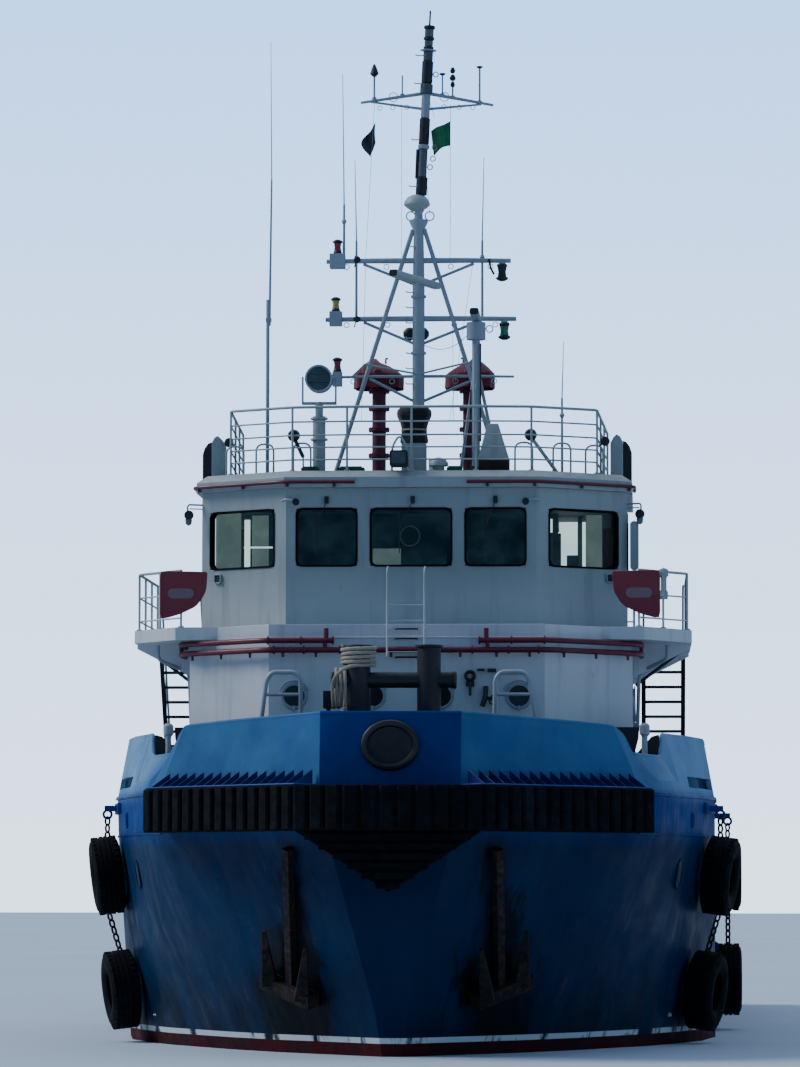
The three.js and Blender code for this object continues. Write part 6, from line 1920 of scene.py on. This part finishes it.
def searchlight():
    """The drum of the searchlight with cooling fins, pivots, a glass and a grille."""
    refined("searchlight_yoke", 0.01)
    (low_x, front, _), (high_x, back, _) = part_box("searchlight_lamp")
    x, z = (low_x + high_x) / 2, 11.34
    drum = [
        (0, back), (0.08, back - 0.02), (0.17, back - 0.09), (0.222, back - 0.19), (0.228, front + 0.04),
        (0.238, front + 0.03), (0.238, front), (0.205, front), (0.2, front + 0.05), (0, front + 0.06),
    ]
    glass = [(0, 0.012), (0.1, 0.014), (0.204, 0.022), (0.204, 0.045), (0, 0.045)]
    fin = [(0.17, -0.1), (0.235, -0.12), (0.235, -0.13), (0.17, -0.13)]
    grey = [turned(drum, "y", (x, 0, z), 40)]
    grey += [turned(fin, "y", (x, back - shift, z), 32) for shift in (0.0, 0.04, 0.08)]
    grey += [bar("x", (x + side * 0.235, (front + back) / 2, z), 0.03, 0.03, 12) for side in (-1, 1)]
    wire = front + 0.006
    grille = [rod((x - 0.2, wire, z + lift), (x + 0.2, wire, z + lift), 0.004, 6) for lift in (-0.07, 0.07)]
    groups = [(MAST_GREY, grey), (LENS, [turned(glass, "y", (x, front, z), 40)]), (BLACK, grille)]
    body = NODES["searchlight_lamp"]["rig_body"]
    piece("searchlight_drum", body, groups, 0.003, ["searchlight_lamp"])


COVER_SIDES = 64


def canvas_cover(x, y, low, high, side):
    """A canvas cover over a monitor: a rippled dome with a squarish plan that hangs slack below."""
    rings = []
    for t in np.linspace(0, 1, 26):
        wide = 0.53 * min(1.0, (0.12 + 1.35 * t**0.62))
        ring = []
        for a in circle(COVER_SIDES):
            square = 1 / max(abs(math.cos(a)), abs(math.sin(a))) ** 0.35
            ripple = 1 + 0.028 * math.sin(9 * a + 3 * t) * t**2 - 0.03 * max(0, math.sin(4 * a + 1)) * t
            r = min(0.535, wide * square * 0.86 * ripple)
            z = high - (high - low) * t + 0.06 * (1 - t) ** 2 * math.cos(a)
            ring.append((x + side * (r * math.cos(a)), y + r * math.sin(a) * 0.92, z))
        rings.append(ring)
    points, faces = loft(rings)
    return points, faces[:-1]


MONITOR = {"x": 0.82, "y": -5.3, "cut": 1.12}


def riser_flanges():
    """Pairs of bolted flanges up each monitor's riser, to port."""
    x, y, _ = MONITOR.values()
    parts = []
    for z in (10.4, 10.87, 11.25, 11.57):
        parts += [bar("z", (x, y, z + lift), 0.19, 0.032, 24) for lift in (-0.018, 0.018)]
        for a in circle(8):
            parts.append(bar("z", (x + 0.16 * math.cos(a), y + 0.16 * math.sin(a), z), 0.014, 0.1, 6))
    return parts


def monitors():
    """Fire monitors under canvas covers, with the barrel and the joints below, and the risers' flanges."""
    x, y, cut = MONITOR.values()
    for label, side in SIDES:
        node = "monitor_head_" + label
        (_, _, low), (_, _, high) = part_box(node)
        body = NODES[node]["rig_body"]
        cloth = canvas_cover(side * x, y, low + 0.005, high - 0.06, side)
        made = piece("monitor_cover_" + label, body, [(COVER_RED, [cloth])], 0, [node], 60)
        hook = [(x - 0.12, y, high - 0.1), (x - 0.12, y, high - 0.01), (x - 0.16, y, high - 0.005)]
        barrel = [
            capped((x, y, low), (x, y, high - 0.15), 0.16),
            capped((x, y, low + 0.28), (x, y - 0.48, low + 0.24), 0.09),
            capped((x - 0.32, y, low + 0.2), (x + 0.32, y, low + 0.2), 0.1),
            tube(hook, 0.02, 8),
        ]
        groups = on_side([(PIPE_RED, barrel)], side)
        piece("monitor_barrel_" + label, body, groups, 0, (), 50)
    refined("monitor_risers", 0.008)
    piece("riser_flanges", "ship", [(PIPE_RED, both(riser_flanges()))], 0.003)


HOOD = (
    # z, radius, depth of the folds
    (10.26, 0.235, 0.0), (10.3, 0.24, 0.02), (10.4, 0.215, 0.035), (10.5, 0.2, 0.04), (10.62, 0.235, 0.035),
    (10.72, 0.29, 0.02), (10.78, 0.3, 0.012), (10.83, 0.29, 0.01), (10.87, 0.25, 0.01), (10.89, 0.17, 0.0),
    (10.897, 0.06, 0.0),
)
COMPASS_Y = -9.2


def compass():
    """The standard compass under a black cloth hood, tied below, on its white stand."""
    rings = []
    for z, radius, fold in HOOD:
        around = [(a, radius + fold * 0.5 * math.sin(7 * a)) for a in circle(48)]
        rings.append([(r * math.cos(a), COMPASS_Y + r * math.sin(a), z) for a, r in around])
    tie = collar("z", (0, COMPASS_Y, 0), (0.19, 0.225), (10.47, 10.5), 32)
    stand = [box_at((0, COMPASS_Y, 9.975), (0.42, 0.42, 0.54))]
    stand.append(box_at((0, COMPASS_Y, 9.73), (0.62, 0.62, 0.055)))
    groups = [(COVER_BLACK, [loft(rings)]), (ROPE, [tie]), (HOUSE_WHITE, stand)]
    piece("compass_hood", "ship", groups, 0, ["compass"], 50)


VENT = (
    # radius, height
    (0, ROOF + HAIR), (0.1, ROOF + HAIR), (0.1, 9.8), (0.17, 9.8), (0.165, 9.86), (0.11, 9.93), (0, 9.955),
)
ROOF_ARCHES = ((2.4, -9.55), (2.95, -9.1), (1.75, -9.7))


def floodlight():
    """Housing, lens and bracket of the floodlight at the roof's front."""
    seat = ROOF + HAIR
    housing = shifted(prism(rounded_box(0.31, 0.28, 0.04), "y", -0.16, 0.06), -0.205, -10.28, 9.89)
    lens = shifted(prism(rounded_box(0.24, 0.2, 0.03), "y", -0.166, -0.15), -0.205, -10.28, 9.9)
    arch = [(-0.33, seat), (-0.33, 10.1), (-0.2, 10.32), (-0.07, 10.1), (-0.07, seat)]
    return housing, lens, bent([(x, -10.24, z) for x, z in arch], 0.16, 0.02)


def roof_things():
    """The floodlight, mushroom vent, round lamps, deck boxes and stray pipework on the wheelhouse roof."""
    seat = ROOF + HAIR
    housing, lens, bracket = floodlight()
    white, black, green = [bracket, turned(VENT, "z", (0.45, -9.9, 0), 26)], [housing], []
    lamp = [(0, -0.08), (0.08, -0.06), (0.11, 0.03), (0.06, 0.09), (0, 0.09)]
    for x, foot, parts in ((-2.04, (-1.88, -9.7, 9.98), black), (2.02, (2.48, -9.5, 9.7), white)):
        black.append(turned(lamp, "y", (x, -9.75, 10.35), 16))
        parts.append(rod((x, -9.7, 10.32), foot, 0.034, 8))
    white.append(rod((-1.88, -9.7, seat), (-1.88, -9.7, 10.0), 0.016, 8))
    for x, wide in ((-1.05, 0.46), (0.72, 0.26), (1.06, 0.14), (-1.75, 0.3)):
        green.append(box_at((x, -9.8, 9.74), (wide, 0.3, 0.0797)))
        green.append(box_at((x, -9.8, 9.79), (wide * 0.8, 0.22, 0.03)))
    arches = []
    for x, y in ROOF_ARCHES:
        arch = [(x, y, seat), (x, y, 10.22), (x + 0.3, y, 10.22), (x + 0.3, y, seat)]
        arches.append(bent(arch, 0.15, 0.018, 8))
    groups = [(HOUSE_WHITE, [*white, *both(arches)]), (BLACK, black), (DECK_GREEN, green), (LENS, [lens])]
    piece("roof_fittings", "ship", groups, 0.004)


# Working deck, funnels and boats

TOW_WINCH = {"y": 3.7, "base": MAIN_DECK, "axis": 3.05, "half": 1.25, "cheek": 0.16, "drum": 0.48,
             "flange": 1.05, "depth": 1.05}


def tow_winch():
    """The towing winch: its frame with a control stand, wire on the drum and brake bands on the flanges."""
    y, base, axis, half, cheek, drum, flange, _ = TOW_WINCH.values()
    bands = [
        collar("x", (side * (half - 0.09), y, axis), (flange + 0.004, flange + 0.03), (-0.06, 0.06), 48)
        for side in (PORT, STARBOARD)
    ]
    stand, top = -half - cheek - 0.1, base + 1.0
    dark = [
        block((stand - 0.06, stand + 0.08), (y - 0.2, y + 0.2), (base + 0.06, top)),
        rod((stand, y - 0.1, top), (stand, y - 0.16, top + 0.3), 0.015, 8),
        rod((stand, y + 0.1, top), (stand, y + 0.05, top + 0.3), 0.015, 8),
    ]
    groups = [(WINCH_BLUE, winch_frame(TOW_WINCH)), (BLACK, dark)]
    piece("tow_winch_housing", "ship", groups, 0.012, ["tow_winch_frame"], 40)
    wire = windings(-half + 0.11, half - 0.11, y, axis, drum, 0.062, 3)
    refined("tow_winch_drum", 0.01, 25, None, [(IRON, wire), (BLACK, bands)])


LOUVRE_HEIGHTS = [8.0 + 0.12 * k for k in range(8)]


FUNNEL = {"x": 2.95, "front": -0.85, "back": 0.12, "top": 10.15, "rake": 0.06}
FUNNEL_BANDS = (
    # tone, low, high, share of the plan's size
    ("blue", BRIDGE_DECK + 0.05, 9.62, 1.0), ("dark", 9.62, 10.1, 1.0), ("dark", 10.1, 10.15, 1.03),
)
GRILLE_FRAME = (
    # y, z, breadth, height of the bars round the louvres
    (-0.7, 8.4, 0.05, 1.0), (0.03, 8.4, 0.05, 1.0), (-0.365, 7.92, 0.75, 0.05), (-0.365, 8.94, 0.75, 0.05),
)


def funnel_casing():
    """The white casing that both funnels stand on, with stiffeners behind."""
    front, back = FUNNEL["front"], FUNNEL["back"]
    parts = [block((-3.45, 3.45), (front, back), (BRIDGE_DECK + HAIR, 7.7))]
    parts.append(block((-2.4, 2.4), (front - 0.02, back + 0.02), (7.66, 7.72)))
    return parts + [box_at((x, back + 0.012, 7.35), (0.05, 0.024, 0.6)) for x in np.arange(-2.0, 2.1, 0.8)]


def funnels():
    """Raked stacks on one casing, with slatted grilles, a dark top band and open exhausts, each with a black
    disc a little way down that is partly soot and partly painted shade for its inside.
    """
    stack, front, back, top, rake = FUNNEL.values()
    middle = (front + back) / 2
    outline = rounded_box(1.0, back - front, 0.07)
    parts = {"blue": [], "dark": []}
    for tone, low, high, grow in FUNNEL_BANDS:
        rows = [(z, middle + rake * (z - 7.05) / 3.1) for z in (low, high)]
        rings = [[(stack + x * grow, shift + y * grow, z) for x, y in outline] for z, shift in rows]
        parts[tone].append(loft(rings))
    blue, dark, iron = parts["blue"], parts["dark"], []
    for z in LOUVRE_HEIGHTS:
        slat = [(3.442, z + 0.07), (3.442, z + 0.05), (3.494, z - 0.01), (3.494, z + 0.01)]
        dark.append(prism(slat, "y", front + 0.18, back - 0.12))
    blue += [box_at((3.468, y, z), (0.05, wide, tall)) for y, z, wide, tall in GRILLE_FRAME]
    for z in (7.9, 8.75, 9.55):
        blue.append(box_at((stack, back + 0.02 + rake * (z - 7.05) / 3.1, z), (0.9, 0.02, 0.06)))
    for k in range(9):
        z, y = 7.9 + 0.26 * k, back + 0.1
        rung = [(2.78, y - 0.09, z), (2.78, y, z), (3.12, y, z), (3.12, y - 0.09, z)]
        blue.append(bent(rung, 0.03, 0.012, 6, 3))
    for x in (2.75, 3.15):
        place = (x, middle + rake, top)
        iron.append(collar("z", place, (0.098, 0.122), (-0.05, 0.2), 28))
        iron.append(collar("z", place, (0.123, 0.15), (0.02, 0.04), 28))
        # A black disc a little way down each exhaust stands for its dark inside: partly soot, partly painted
        # shade.
        dark.append(bar("z", (x, middle + rake, top + 0.01), 0.1, 0.02, 24))
    groups = [(TOP_BLUE, both(blue)), (BLACK, both(dark)), (HOUSE_WHITE, funnel_casing()), (IRON, both(iron))]
    piece("funnel_pair", "ship", groups, 0.008, ["funnels"])


RAFT = {"x": 2.7, "z": 7.48}
RAFT_SHELL = (
    # radius, distance from the middle, up to the joint
    (0.0, -0.65), (0.1, -0.65), (0.19, -0.62), (0.23, -0.56), (0.238, -0.5), (0.238, -0.36), (0.246, -0.34),
    (0.246, -0.3), (0.238, -0.28), (0.238, -0.03), (0.25, -0.022),
)


def life_rafts():
    """Two moulded canisters with ribs and straps in saddles on a steel rack."""
    middle, height = RAFT.values()
    white, straps, steel = [], [], []
    for y in (-4.06, -3.54):
        white.append(turned(symmetric(RAFT_SHELL), "x", (middle, y, height), 40))
        straps += [collar("x", (x, y, height), (0.24, 0.249), (-0.025, 0.025), 40) for x in (2.28, 3.12)]
        bowl = np.linspace(-0.4, 0.4 - math.pi, 15)
        arc = [(y + 0.244 * math.cos(a), height + 0.244 * math.sin(a)) for a in bowl]
        steel += [prism([(y - 0.24, 7.04), (y + 0.24, 7.04), *arc], "x", x, x + 0.06) for x in (2.1, 3.24)]
    steel += [box_at((x, -3.8, 7.03), (0.06, 1.0, 0.0594)) for x in (2.03, middle, 3.37)]
    steel += [box_at((middle, y, 7.03), (1.4, 0.06, 0.0594)) for y in (-4.27, -3.33)]
    groups = [(HOUSE_WHITE, white), (BLACK, straps), (MAST_GREY, steel)]
    piece("life_raft_set", "ship", groups, 0.005, ["life_rafts"])


BOAT_X = -2.8
BOAT_SECTIONS = (
    # y, half breadth, lift of the keel, height of the floor inside
    (-4.75, 0.06, 0.12, 8.15), (-4.62, 0.24, 0.1, 8.15), (-4.3, 0.46, 0.06, 8.15), (-3.97, 0.565, 0.03, 8.15),
    (-3.86, 0.59, 0.02, 8.15), (-3.84, 0.592, 0.02, 7.93), (-3.4, 0.645, 0.0, 7.93), (-2.6, 0.65, 0.0, 7.93),
    (-1.66, 0.612, 0.0, 7.93), (-1.64, 0.61, 0.0, 8.15), (-1.48, 0.6, 0.0, 8.15),
)


GUNWALE = 8.15


def boat_shell():
    """The boat's moulding with its well, lofted from sections along the ship."""
    rings = []
    for y, half, lift, floor in BOAT_SECTIONS:
        well = min(0.36, half * 0.62)
        side = [(half, GUNWALE), (half, 8.05), (half * 0.97, 7.92), (half * 0.9, 7.8 + lift),
                (half * 0.6, 7.68 + lift), (half * 0.25, 7.56 + lift)]
        inside = [(-well, GUNWALE), (-well + 0.03, floor), (well - 0.03, floor), (well, GUNWALE)]
        outline = [*side, (0, 7.5 + lift), *[(-x, z) for x, z in reversed(side)], *inside]
        rings.append([(BOAT_X + x, y, z) for x, z in outline])
    return loft(rings)


def rescue_boat():
    """The rescue boat with its rubbing edge, seats, wheel and grab rails, on its cradle."""
    edge = ship_wide([(half, y, 8.1) for y, half, _, _ in BOAT_SECTIONS])
    wheel = spun(hoop("y", (0, 0, 0), 0.12, 0.012, 18), 0.4, "X")
    fittings = [
        box_at((0, -3.0, 8.03), (0.7, 0.22, 0.05)),
        box_at((0, -2.2, 8.03), (0.7, 0.22, 0.05)),
        box_at((0.12, -2.7, 8.1), (0.3, 0.24, 0.33)),
        shifted(wheel, 0.12, -2.55, 8.24),
    ]
    grabs = []
    for y in (-3.9, -3.2, -2.5, -1.8):
        fore, aft = y - 0.14, y + 0.14
        grab = [(0.52, fore, GUNWALE), (0.52, fore, 8.2), (0.52, aft, 8.2), (0.52, aft, GUNWALE)]
        grabs.append(bent(grab, 0.03, 0.01, 6, 3))
    seat = BRIDGE_DECK + HAIR
    saddle = [(-0.45, seat), (0.45, seat), (0.45, 7.79), (0.0, 7.53), (-0.45, 7.79)]
    cradle = [prism(saddle, "y", y, y + 0.08) for y in (-3.9, -2.4)]
    cradle.append(block((-0.06, 0.06), (-3.9, -2.32), (seat, 7.5)))
    groups = [
        (ORANGE, [boat_shell()]),
        (RUBBER, placed([tube(edge, 0.035)], BOAT_X, 0, 0)),
        (CONSOLE, placed([*fittings, *both(grabs)], BOAT_X, 0, 0)),
        (MAST_GREY, placed(cradle, BOAT_X, 0, 0)),
    ]
    piece("rescue_boat_set", "ship", groups, 0.008, ["rescue_boat"])


def davit():
    """The davit's winch drum, the flanges of its post, and the hook over the boat."""
    x, y = -3.3, -1.2
    drum = [bar("x", (x + 0.02, y - 0.19, 8.1), 0.1, 0.22, 24), box_at((x, y - 0.14, 8.1), (0.3, 0.1, 0.26))]
    flanges = [box_at((x, y, z), (0.26, 0.26, 0.03)) for z in (7.13, 9.05)]
    hook = [bar("z", (x + 0.53, y - 2.4, 8.62), 0.045, 0.14, 14)]
    hook.append(hoop("y", (x + 0.53, y - 2.4, 8.5), 0.05, 0.016, 16))
    refined("davit", 0.006, 50, None, [(WINCH_BLUE, drum), (HOUSE_WHITE, flanges), (IRON, hook)])


PLANK = {"width": 0.3, "gap": 0.012, "stagger": 0.9, "ends": (5.2, 8.6, 12.1, 15.6)}
SHEATHING = {"half": 3.9, "top": MAIN_DECK + 0.07}
HATCH_HOLE = {"x": (-2.78, -1.82), "y": (4.8, 6.38)}


def deck_planks():
    """Timber sheathing in three lengths with staggered joints; planks in the hatch's way begin abaft it."""
    width, gap, stagger, ends = PLANK.values()
    planks, bolts = [], []
    for i in range(round(2 * SHEATHING["half"] / width)):
        low = -SHEATHING["half"] + i * width + gap / 2
        high = low + width - gap
        in_hole = high > HATCH_HOLE["x"][0] and low < HATCH_HOLE["x"][1]
        joints = [end + (stagger if i % 2 and 0 < k < 3 else 0.0) for k, end in enumerate(ends)]
        for start, end in zip(joints, joints[1:]):
            if in_hole:
                start = max(start, HATCH_HOLE["y"][1])
            planks.append(block((low, high), (start, end - 0.008), (MAIN_DECK + HAIR, SHEATHING["top"])))
            for y in (start + 0.12, end - 0.14):
                bolts.append(bar("z", ((low + high) / 2, y, SHEATHING["top"] + 0.001), 0.022, 0.004, 8))
    piece("deck_planking", "ship", [(TIMBER, planks), (IRON, bolts)], 0.006, ["deck_sheathing"])


CAPSTAN = (
    # radius, height
    (0, 0), (0.3, 0), (0.3, 0.03), (0.295, 0.17), (0.27, 0.19), (0.19, 0.26), (0.165, 0.4), (0.16, 0.52),
    (0.175, 0.6), (0.215, 0.68), (0.23, 0.7), (0.23, 0.745), (0.215, 0.76), (0.08, 0.765), (0, 0.78),
)


def deck_fittings():
    """Dogs on the hatch lid, and capstans with whelps; tow pins and stern roller keep their own shapes."""
    dogs = []
    for dx in (-0.42, 0.42):
        dogs += [box_at((-2.3 + dx, 5.9 + dy, 2.12), (0.05, 0.05, 0.05)) for dy in (-0.42, 0, 0.42)]
    refined("hatch_lid", 0.01, 35, None, [(STEEL, dogs)])
    refined("tow_pins", 0.012, 40)
    refined("stern_roller", 0.02, 25)
    whelp = box_at((0.175, 0, 0.43), (0.03, 0.045, 0.3))
    capstan = [turned(CAPSTAN, "z", (0, 0, 0), 44), *[spun(whelp, a, "Z") for a in circle(8)]]
    for label, side in SIDES:
        node = "capstan_" + label
        parts = placed(capstan, side * 4.3, 14.6, MAIN_DECK + HAIR)
        piece("capstan_head_" + label, node, [(WINCH_BLUE, parts)], 0.005, [node], 40)


SHAFT = {"x": 2.35, "z": -2.15}
BLADE = (
    # radius, half chord, half thickness
    (0.15, 0.12, 0.055), (0.3, 0.21, 0.049), (0.5, 0.3, 0.04), (0.65, 0.33, 0.034), (0.8, 0.33, 0.028),
    (0.9, 0.27, 0.02), (0.945, 0.2, 0.014), (0.965, 0.11, 0.008),
)


HUB = (
    # radius, distance aft
    (0, 0), (0.2, 0), (0.215, 0.02), (0.23, 0.3), (0.222, 0.5), (0.17, 0.8), (0.12, 0.93), (0.06, 1.0),
    (0, 1.01),
)
NOZZLE_RING = (
    # radius, y
    (1.06, 13.65), (1.09, 13.655), (1.13, 13.77), (1.07, 14.75), (1.0, 14.75), (1.0, 14.0), (1.015, 13.82),
    (1.035, 13.7),
)


def blade():
    """One upright propeller blade: an oval section that is pitched less towards the tip."""
    rings = []
    for radius, half, thick in BLADE:
        pitch = math.atan2(0.9, 2.6 * radius)
        ring = []
        for a in circle(14):
            u, v = half * math.cos(a), thick * math.sin(a)
            across = u * math.cos(pitch) - v * math.sin(pitch)
            ring.append((across, u * math.sin(pitch) * 0.9 + v * math.cos(pitch) + 0.4, radius))
        rings.append(ring)
    return loft(rings)


def propeller(label, side):
    x, z = SHAFT.values()
    wheel = [turned(HUB, "y", (0, 0, 0), 36), *[spun(blade(), a, "Y") for a in circle(4)]]
    node = "propeller_" + label
    groups = [(BRONZE, placed(wheel, side * x, 13.6, z))]
    piece("propeller_wheel_" + label, NODES[node]["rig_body"], groups, 0, [node], 50)


def stern_gear():
    """Propellers in nozzles with stiffening bands under a headbox, rudders and the after bulwarks."""
    x, z = SHAFT.values()
    ring = [turned(NOZZLE_RING, "y", (x, 0, z), 64)]
    ring += [collar("y", (x, y, z), (r, r + 0.012), (0, 0.05), 64) for r, y in ((1.112, 14.05), (1.091, 14.4))]
    ring.append(block((x - 0.35, x + 0.35), (13.8, 14.55), (-1.12, -1 - HAIR)))
    for label, side in SIDES:
        propeller(label, side)
        groups = on_side([(HULL_BLUE, ring)], side)
        piece("nozzle_ring_" + label, "ship", groups, 0.006, ["nozzle_" + label])
        refined("rudder_" + label, 0.015, 35)
        refined("aft_bulwark_" + label, 0.012, 35)


# Stage: a pale floor at the waterline, a pale sky and soft lights
SKY_HIGH, SKY_LOW, SKY_FILL = (118, 172, 242), (196, 216, 234), (104, 152, 216)
SKY_SHOWN, SKY_LIGHT = 3.3, 0.5
FLOOR = (176, 190, 204)
SUNS = (
    # name, where it stands seen from the ship, strength, angle across, colour
    ("key", (-60, 4, 52), 2.5, 28, (0.96, 0.98, 1.0)),
    ("side", (70, -52, -6), 0.45, 90, (0.72, 0.92, 1.0)),
    ("top", (10, 40, 80), 1.0, 90, (0.9, 0.95, 1.0)),
)


def sea_floor():
    """The pale floor at the waterline, which is stage and not part of the ship."""
    n = Nodes("floor")
    tint = n.mix(n.remap(n.noise(0.08, 3), 0.3, 0.7), FLOOR, tuple(c + 6 for c in FLOOR))
    points, faces = block((-400, 400), (-400, 400), (-0.5, 0))
    mesh = bpy.data.meshes.new("floor")
    mesh.from_pydata(points, [], faces)
    mesh.materials.append(n.finish(tint, 0.8))
    floor = bpy.data.objects.new("floor", mesh)
    bpy.context.scene.collection.objects.link(floor)


def sky():
    """A sky that grows bluer with height, shown brighter to the camera than it lights the ship."""
    world = bpy.data.worlds.new("sky")
    world.use_nodes = True
    tree = world.node_tree
    background = tree.nodes["Background"]
    heading = tree.nodes.new("ShaderNodeTexCoord")
    split = tree.nodes.new("ShaderNodeSeparateXYZ")
    rise = tree.nodes.new("ShaderNodeMapRange")
    rise.inputs["From Min"].default_value = 0.0
    rise.inputs["From Max"].default_value = 0.22
    shade = tree.nodes.new("ShaderNodeMix")
    shade.data_type = "RGBA"
    shade.inputs[6].default_value = colour(SKY_LOW)
    shade.inputs[7].default_value = colour(SKY_HIGH)
    tree.links.new(heading.outputs["Generated"], split.inputs[0])
    tree.links.new(split.outputs["Z"], rise.inputs["Value"])
    tree.links.new(rise.outputs["Result"], shade.inputs[0])
    shown = tree.nodes.new("ShaderNodeLightPath")
    look = tree.nodes.new("ShaderNodeMix")
    look.data_type = "RGBA"
    look.inputs[6].default_value = colour(SKY_FILL)
    tree.links.new(shown.outputs["Is Camera Ray"], look.inputs[0])
    tree.links.new(shade.outputs[2], look.inputs[7])
    tree.links.new(look.outputs[2], background.inputs["Color"])
    strength = tree.nodes.new("ShaderNodeMapRange")
    strength.inputs["To Min"].default_value = SKY_LIGHT
    strength.inputs["To Max"].default_value = SKY_SHOWN
    tree.links.new(shown.outputs["Is Camera Ray"], strength.inputs["Value"])
    tree.links.new(strength.outputs["Result"], background.inputs["Strength"])
    bpy.context.scene.world = world


def suns():
    for name, place, power, angle, tint in SUNS:
        lamp = bpy.data.lights.new(name, "SUN")
        lamp.energy = power
        lamp.angle = math.radians(angle)
        lamp.color = tint
        light = bpy.data.objects.new(name, lamp)
        light.location = place
        light.rotation_euler = (-Vector(place)).to_track_quat("-Z", "Y").to_euler()
        bpy.context.scene.collection.objects.link(light)


def stage():
    sea_floor()
    sky()
    suns()


for build in (
    camera, stage, dress_frame, hull, fore_bulwark, notch_rollers, hawse, fender, side_fittings,
    draught_marks, windows, portholes, wipers, side_lamps, house_front, cabin_items, doors, rails,
    wing_rails, wing_fittings, stairs, spray_pipes, front_ladder, bow_bitt, bitt_rope, windlass, mast,
    lanterns, aerials, halyards, flags, scanners, radar_post, searchlight, monitors, compass,
    roof_things, wheelhouse_roof, tow_winch, funnels, life_rafts, rescue_boat, davit, deck_planks,
    deck_fittings, stern_gear,
):
    build()
refined("deckhouse_walls", 0.012)
refined("wheelhouse_walls", 0.008)
refined("bridge_deck", 0.012, 35, DECK_GREEN)
for label, side in SIDES:
    tyre_fenders(label, side)
    anchors(label, side)
